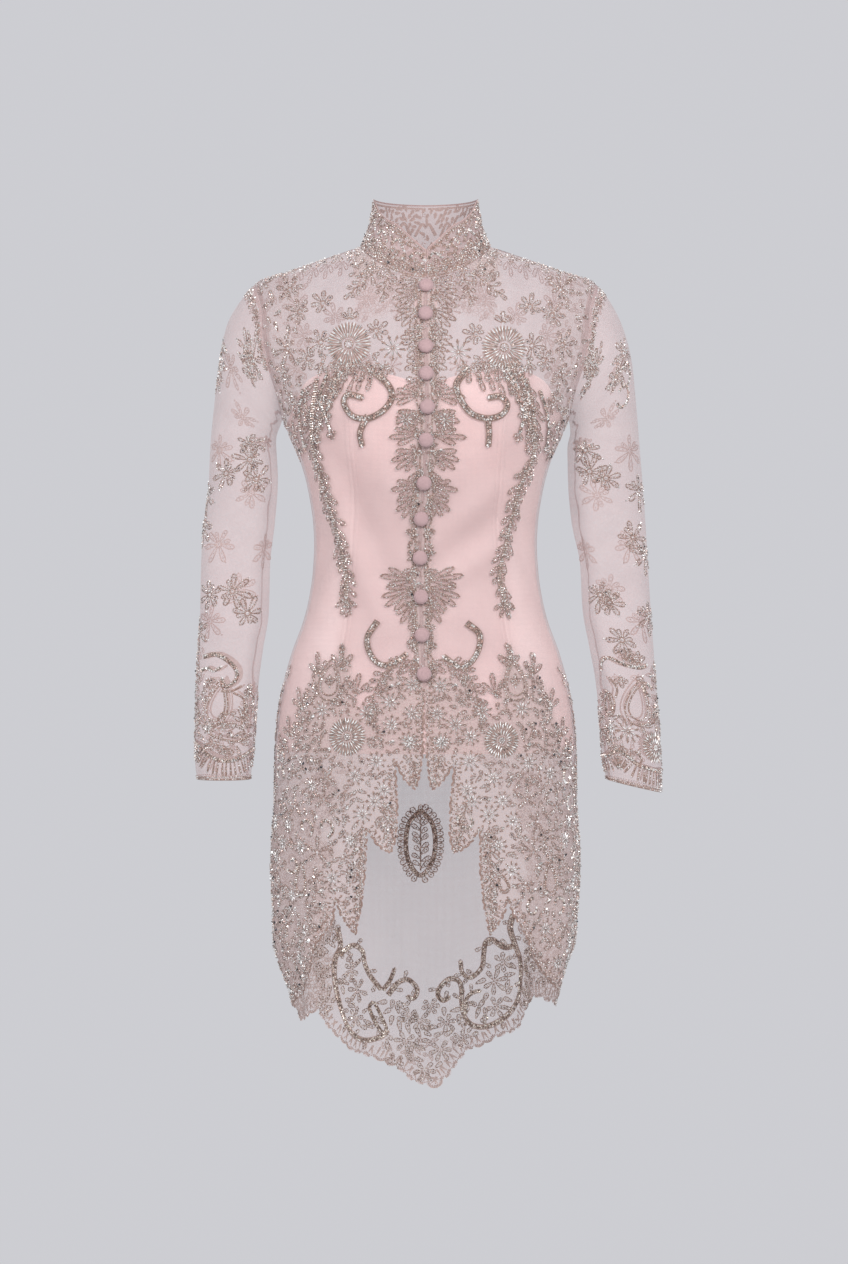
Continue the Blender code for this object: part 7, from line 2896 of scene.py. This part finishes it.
    def _hips(self, pattern: BodyPattern) -> None:
        """The close lace of the skirt and its hanging tongues.

        Args:
            pattern: the flat outlines.
        """
        lace = self.lace
        for a, b in self.mine(HIP_DROPS):
            lace.paisley(a, b, 0.035, 0.020, 8 * self.sign)
            lace.fan(a, b - 0.008, 90, 3, 0.013, 60)
        for a, b, heading in HIP_FANS:
            turn = heading if self.side is Side.LEFT else 180 - heading
            lace.fan(self.sign * a, b, turn, 3, 0.024, 80, 0.0062)
        for spine, size in TONGUES:
            line = mirrored(spine, self.sign)
            lace.spray(line, size, 0.0052, 0.0098, 0.75, 36)
            lace.daisy(line[0][0], line[0][1] + 0.012, 0.0110)
        lace.paisley(self.sign * 0.151, -0.732, 0.030, 0.013, 6 * self.sign)
        for a, b in ((0.118, -0.640), (0.160, -0.650), (0.126, -0.700)):
            lace.fan(self.sign * a, b, 90, 5, 0.016, 260, 0.0052)
            lace.taken.append((self.sign * a, b, 0.013))
        panel = pattern.panel(self.side)
        hem = scalloped(pattern.hem(self.side, False), panel, 0.0105, 0.0022)
        self.edge(hem, inward_of(hem, panel), 0.0050, 0.0046)

        def over_satin(a: Array, b: Array) -> Array:
            """Returns: whether points lie over the lining at the hips."""
            return (b < HIP_TOP(np.abs(a))) & (b > -0.590)

        def below(a: Array, b: Array) -> Array:
            """Returns: whether points lie below the lining."""
            return (b < HIP_TOP(np.abs(a))) & (b <= -0.590)

        self.garden((-0.25, 0.25, -0.90, -0.585), below, 0.0270)
        lace.fill((-0.25, 0.25, -0.60, -0.45), over_satin, 0.0086, 0.0104, 0.0048, 0.05, 0.44, 0.9)
        lace.fill((-0.25, 0.25, -0.90, -0.585), below, 0.0086, 0.0104, 0.0048, 0.10, 0.40, 0.80)


class BackLace(BodyLace):
    """The embroidery of the back and its tail."""

    def __init__(self, surface: BodySurface, pattern: BodyPattern) -> None:
        """Args:
        surface: the back.
        pattern: the flat outlines.
        """
        super().__init__("back", surface, pattern.allowed(True), 33)
        self._upper()
        self._tail(pattern)

    def _upper(self) -> None:
        """The back's neck, shoulders, vines and hips."""
        lace = self.lace
        for sign in (1, -1):
            lace.wheel(sign * 0.088, -0.130, 0.026)
            lace.fan(sign * 0.088, -0.1025, 90, 3, 0.014, 90, 0.0062)
            lace.wheel(sign * 0.130, -0.640, 0.022)
            lace.daisy(sign * 0.030, -0.062, 0.013, 8)
            lace.daisy(sign * 0.040, -0.128, 0.012, 8)
            for a, b, size, turn in BACK_CLUSTERS:
                self.cluster(sign * a, b, size, turn if sign > 0 else 180 - turn)
            for u in np.linspace(0.1, 0.93, 7):
                lace.fan(sign * (0.052 + u * 0.14), -0.003 - 0.030 * u ** 1.3, 270, 3, 0.013, 100, 0.005)
            lace.rope(mirrored(BACK_SCROLL, sign), 0.0058)
        lace.daisy(0.0, -0.088, 0.014, 8)
        lace.wheel(0.0, -0.570, 0.026)
        lace.fan(0.0, -0.036, 270, 5, 0.026, 140, 0.006)
        lace.spray([(0.0, -0.11), (0.002, -0.17), (-0.001, -0.235)], 0.018, 0.0058, 0.0105)
        for points, length in BACK_VINES:
            for sign in (-1, 1):
                lace.spray(mirrored(points, sign), length, 0.0056, 0.0100, 0.75, 42)

        def near_neck(a: Array, b: Array) -> Array:
            """Returns: whether points lie close below the collar."""
            return (b > -0.056 - 0.25 * np.abs(a)) & (np.abs(a) < 0.085)

        def by_armhole(a: Array, b: Array) -> Array:
            """Returns: whether points lie along the armhole."""
            return (np.abs(a) > 0.145) & (b < -0.03) & (b > -0.19)

        def hips(a: Array, b: Array) -> Array:
            """Returns: whether points lie in the arched band over the hips."""
            top = -0.520 - 0.030 * np.cos(np.abs(a) * 62)
            low = -0.602 - 0.070 * eased(np.abs(a), 0.055, 0.115)
            return (b < top) & (b > low)

        lace.fill((-0.10, 0.10, -0.08, 0.0), near_neck, 0.0100, 0.0095)
        lace.fill((-0.22, 0.22, -0.20, -0.02), by_armhole, 0.0125, 0.010)
        lace.fill((-0.26, 0.26, -0.67, -0.48), hips, 0.0120, 0.0110)

    def _tail(self, pattern: BodyPattern) -> None:
        """The tail: ropes, stars, the column down its middle and its scalloped edge.

        Args:
            pattern: the flat outlines.
        """
        lace = self.lace
        lace.two_sided = True
        for points, width in TAIL_ROPES:
            line = lace.rope(millimetres(points), width / 1000 * 1.02, 0.7)
            heading = headings(line)
            for n, k in enumerate(range(5, len(line) - 4, 11)):
                turn = heading[k] + (1 if n % 2 else -1) * 1.0
                lace.petal(*moved(*line[k], turn, 0.002), turn, 0.0085 + 0.003 * lace.rng.random(), 0.0048)
        for a, b, r in millimetres(TAIL_STARS):
            turn = math.degrees(math.atan2(b + 0.86, a))
            lace.fan(a, b, turn, 6, r * 1.15, 270, 0.0054)
            lace.taken.append((a, b, r * 0.8))
        ring = lace.rope(millimetres(TAIL_DROP + TAIL_DROP[:1]), 0.0050, 1.0)
        heading = headings(ring)
        outward = -inward_of(ring, ring)
        for k in range(1, len(ring) - 1, 4):
            lace.petal(*ring[k], heading[k] + outward * math.pi / 2, 0.0105, 0.0072)
        lace.spray([(-0.006, -0.742), (-0.006, -0.710), (-0.006, -0.674)], 0.0135, 0.0062, 0.0080, 0.75, 55)
        lace.two_sided = False
        whole = pattern.whole_back()
        for side in Side:
            hem = scalloped(pattern.hem(side, True), whole, 0.0125, 0.0030)
            self.edge(hem, inward_of(hem, whole), 0.0100, 0.0056)

        def sides(a: Array, b: Array) -> Array:
            """Returns: whether points lie in the tail's sides."""
            inner = 0.112 + 0.016 * np.sin(b * 70) ** 2
            return (np.abs(a) > inner) & (b <= -0.660) & (b > -0.90)

        def end(a: Array, b: Array) -> Array:
            """Returns: whether points lie below the tail's arch."""
            return b < -0.905 + 0.085 * eased(np.abs(a), 0.035, 0.115)

        def tip(a: Array, b: Array) -> Array:
            """Returns: whether points lie at the tail's tip."""
            return (b < -0.948 + 0.10 * np.abs(a)) & (np.abs(a) < 0.085)

        self.garden((-0.26, 0.26, -0.91, -0.655), sides, 0.0270)
        lace.fill((-0.26, 0.26, -0.91, -0.655), sides, 0.0094, 0.0098)
        lace.fill((-0.14, 0.14, -1.06, -0.94), tip, 0.0098, 0.0098, 0.0046, ground=0.5)
        lace.two_sided = True
        lace.fill((-0.14, 0.14, -1.06, -0.80), end, 0.0112, 0.0136, 0.0060, 0.02, 0.50, 0.34)


# The studio's lamps. Columns: name, place, what it points at, side of its square, watts.
LAMPS = (
    ("key", (1.2, -2.6, 1.1), (0, 0, -0.35), 1.0, 60.0),
    ("fill", (-2.0, -2.2, 0.6), (0, 0, -0.3), 2.0, 34.0),
    ("rim", (-0.2, 2.5, 1.8), (0, 0, -0.5), 2.0, 52.0),
)


@dataclass(frozen=True)
class Studio:
    """The pale floor, the soft lights and the camera."""

    floor_z: float = -1.60
    floor_radius: float = 1.25
    floor_corners: int = 96
    floor_tone: tuple[float, float] = (0.60, 0.66)
    lens: float = 70.6
    sensor: float = 36.0
    camera_at: Place = (-0.0018, -2.9, -0.4505)
    backdrop: Colour = (0.610, 0.612, 0.645)
    surround: float = 0.82

    def build(self) -> None:
        """Sets up the stage."""
        bpy.context.scene.view_settings.view_transform = "Standard"
        self._floor()
        self._world()
        for name, place, aim, size, power in LAMPS:
            self._light(name, place, aim, size, power)
        self._camera()

    def _floor(self) -> None:
        """A round pale floor below the hem."""
        turn = 2 * math.pi * np.arange(self.floor_corners) / self.floor_corners
        p = np.column_stack([self.floor_radius * np.cos(turn), self.floor_radius * np.sin(turn),
                             np.full(self.floor_corners, self.floor_z)])
        material = bpy.data.materials.new("floor")
        material.use_nodes = True
        g, shader = Graph(material.node_tree), material.node_tree.nodes["Principled BSDF"]
        place = g.node("TexCoord").outputs["Object"]
        noise = g.node("TexNoise", {"Vector": place, "Scale": 3.0, "Detail": 4.0})
        tone = g.node("MapRange", {"Value": noise.outputs["Fac"], "To Min": self.floor_tone[0],
                                   "To Max": self.floor_tone[1]})
        g.feed(shader, "Base Color", tone.outputs["Result"])
        g.feed(shader, "Roughness", 0.7)
        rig.stage(make_piece("floor", p, [tuple(range(self.floor_corners))], material))

    def _world(self) -> None:
        """Even light-grey surroundings."""
        world = bpy.data.worlds.new("studio")
        world.use_nodes = True
        g, shade = Graph(world.node_tree), world.node_tree.nodes["Background"]
        seen = g.node("LightPath").outputs["Is Camera Ray"]
        strength = g.node("MapRange", {"Value": seen, "To Min": self.surround, "To Max": 1.0})
        g.feed(shade, "Color", self.backdrop)
        g.feed(shade, "Strength", strength.outputs["Result"])
        bpy.context.scene.world = world

    def _light(self, name: str, place: Place, aim: Place, size: float, power: float) -> None:
        """One soft square lamp.

        Args:
            name: its name.
            place: where it stands.
            aim: what it points at.
            size: its side.
            power: its power in watts.
        """
        data = bpy.data.lights.new(name, "AREA")
        data.size, data.energy = size, power
        lamp = bpy.data.objects.new(name, data)
        bpy.context.scene.collection.objects.link(lamp)
        lamp.location = place
        lamp.rotation_euler = (Vector(aim) - Vector(place)).to_track_quat("-Z", "Y").to_euler()

    def _camera(self) -> None:
        """A level camera in front of the blouse."""
        data = bpy.data.cameras.new("camera")
        data.sensor_fit, data.sensor_height, data.lens = "VERTICAL", self.sensor, self.lens
        camera = bpy.data.objects.new("camera", data)
        bpy.context.scene.collection.objects.link(camera)
        camera.location = self.camera_at
        camera.rotation_euler = (math.pi / 2, 0, 0)
        bpy.context.scene.camera = camera


def corners() -> list[list[float]]:
    """Returns: the lowest and highest corner of all that is there."""
    return [[float(v) for v in corner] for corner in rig.bounds()]


def main() -> None:
    """Builds the blouse and its stage."""
    logging.basicConfig(level=logging.INFO, format="%(message)s")
    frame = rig.load()
    before = corners()
    finishes = Wardrobe.build(Effects())
    halves = {back: BodyHalf(back) for back in (False, True)}
    surfaces = {back: BodySurface(halves, back) for back in (False, True)}
    pattern = BodyPattern(halves)
    laces = {f"front_{side.word}": FrontLace(side, surfaces[False], pattern).lace for side in Side}
    laces["back"] = BackLace(surfaces[True], pattern).lace
    net = BodyNet(surfaces, pattern, finishes)
    net.build(laces)
    Lining(surfaces, pattern, finishes).build()
    Buttons(surfaces[False], finishes.button).build(frame["nodes"])
    seams = {"front_left": net.seams[:1], "front_right": [], "back": net.seams[1:]}
    for name, lace in laces.items():
        declare(net.pieces[name], net.outlines[name], sewn(lace, finishes, Slot.NET) + seams[name])
    for side in Side:
        Sleeve(side, SleeveSurface(halves, side), finishes).build()
    Collar(CollarSurface(halves), finishes).build()
    Studio().build()
    with open("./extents.json", "w") as out:
        json.dump({"frame": before, "visual": corners()}, out)


if __name__ == "__main__":
    main()
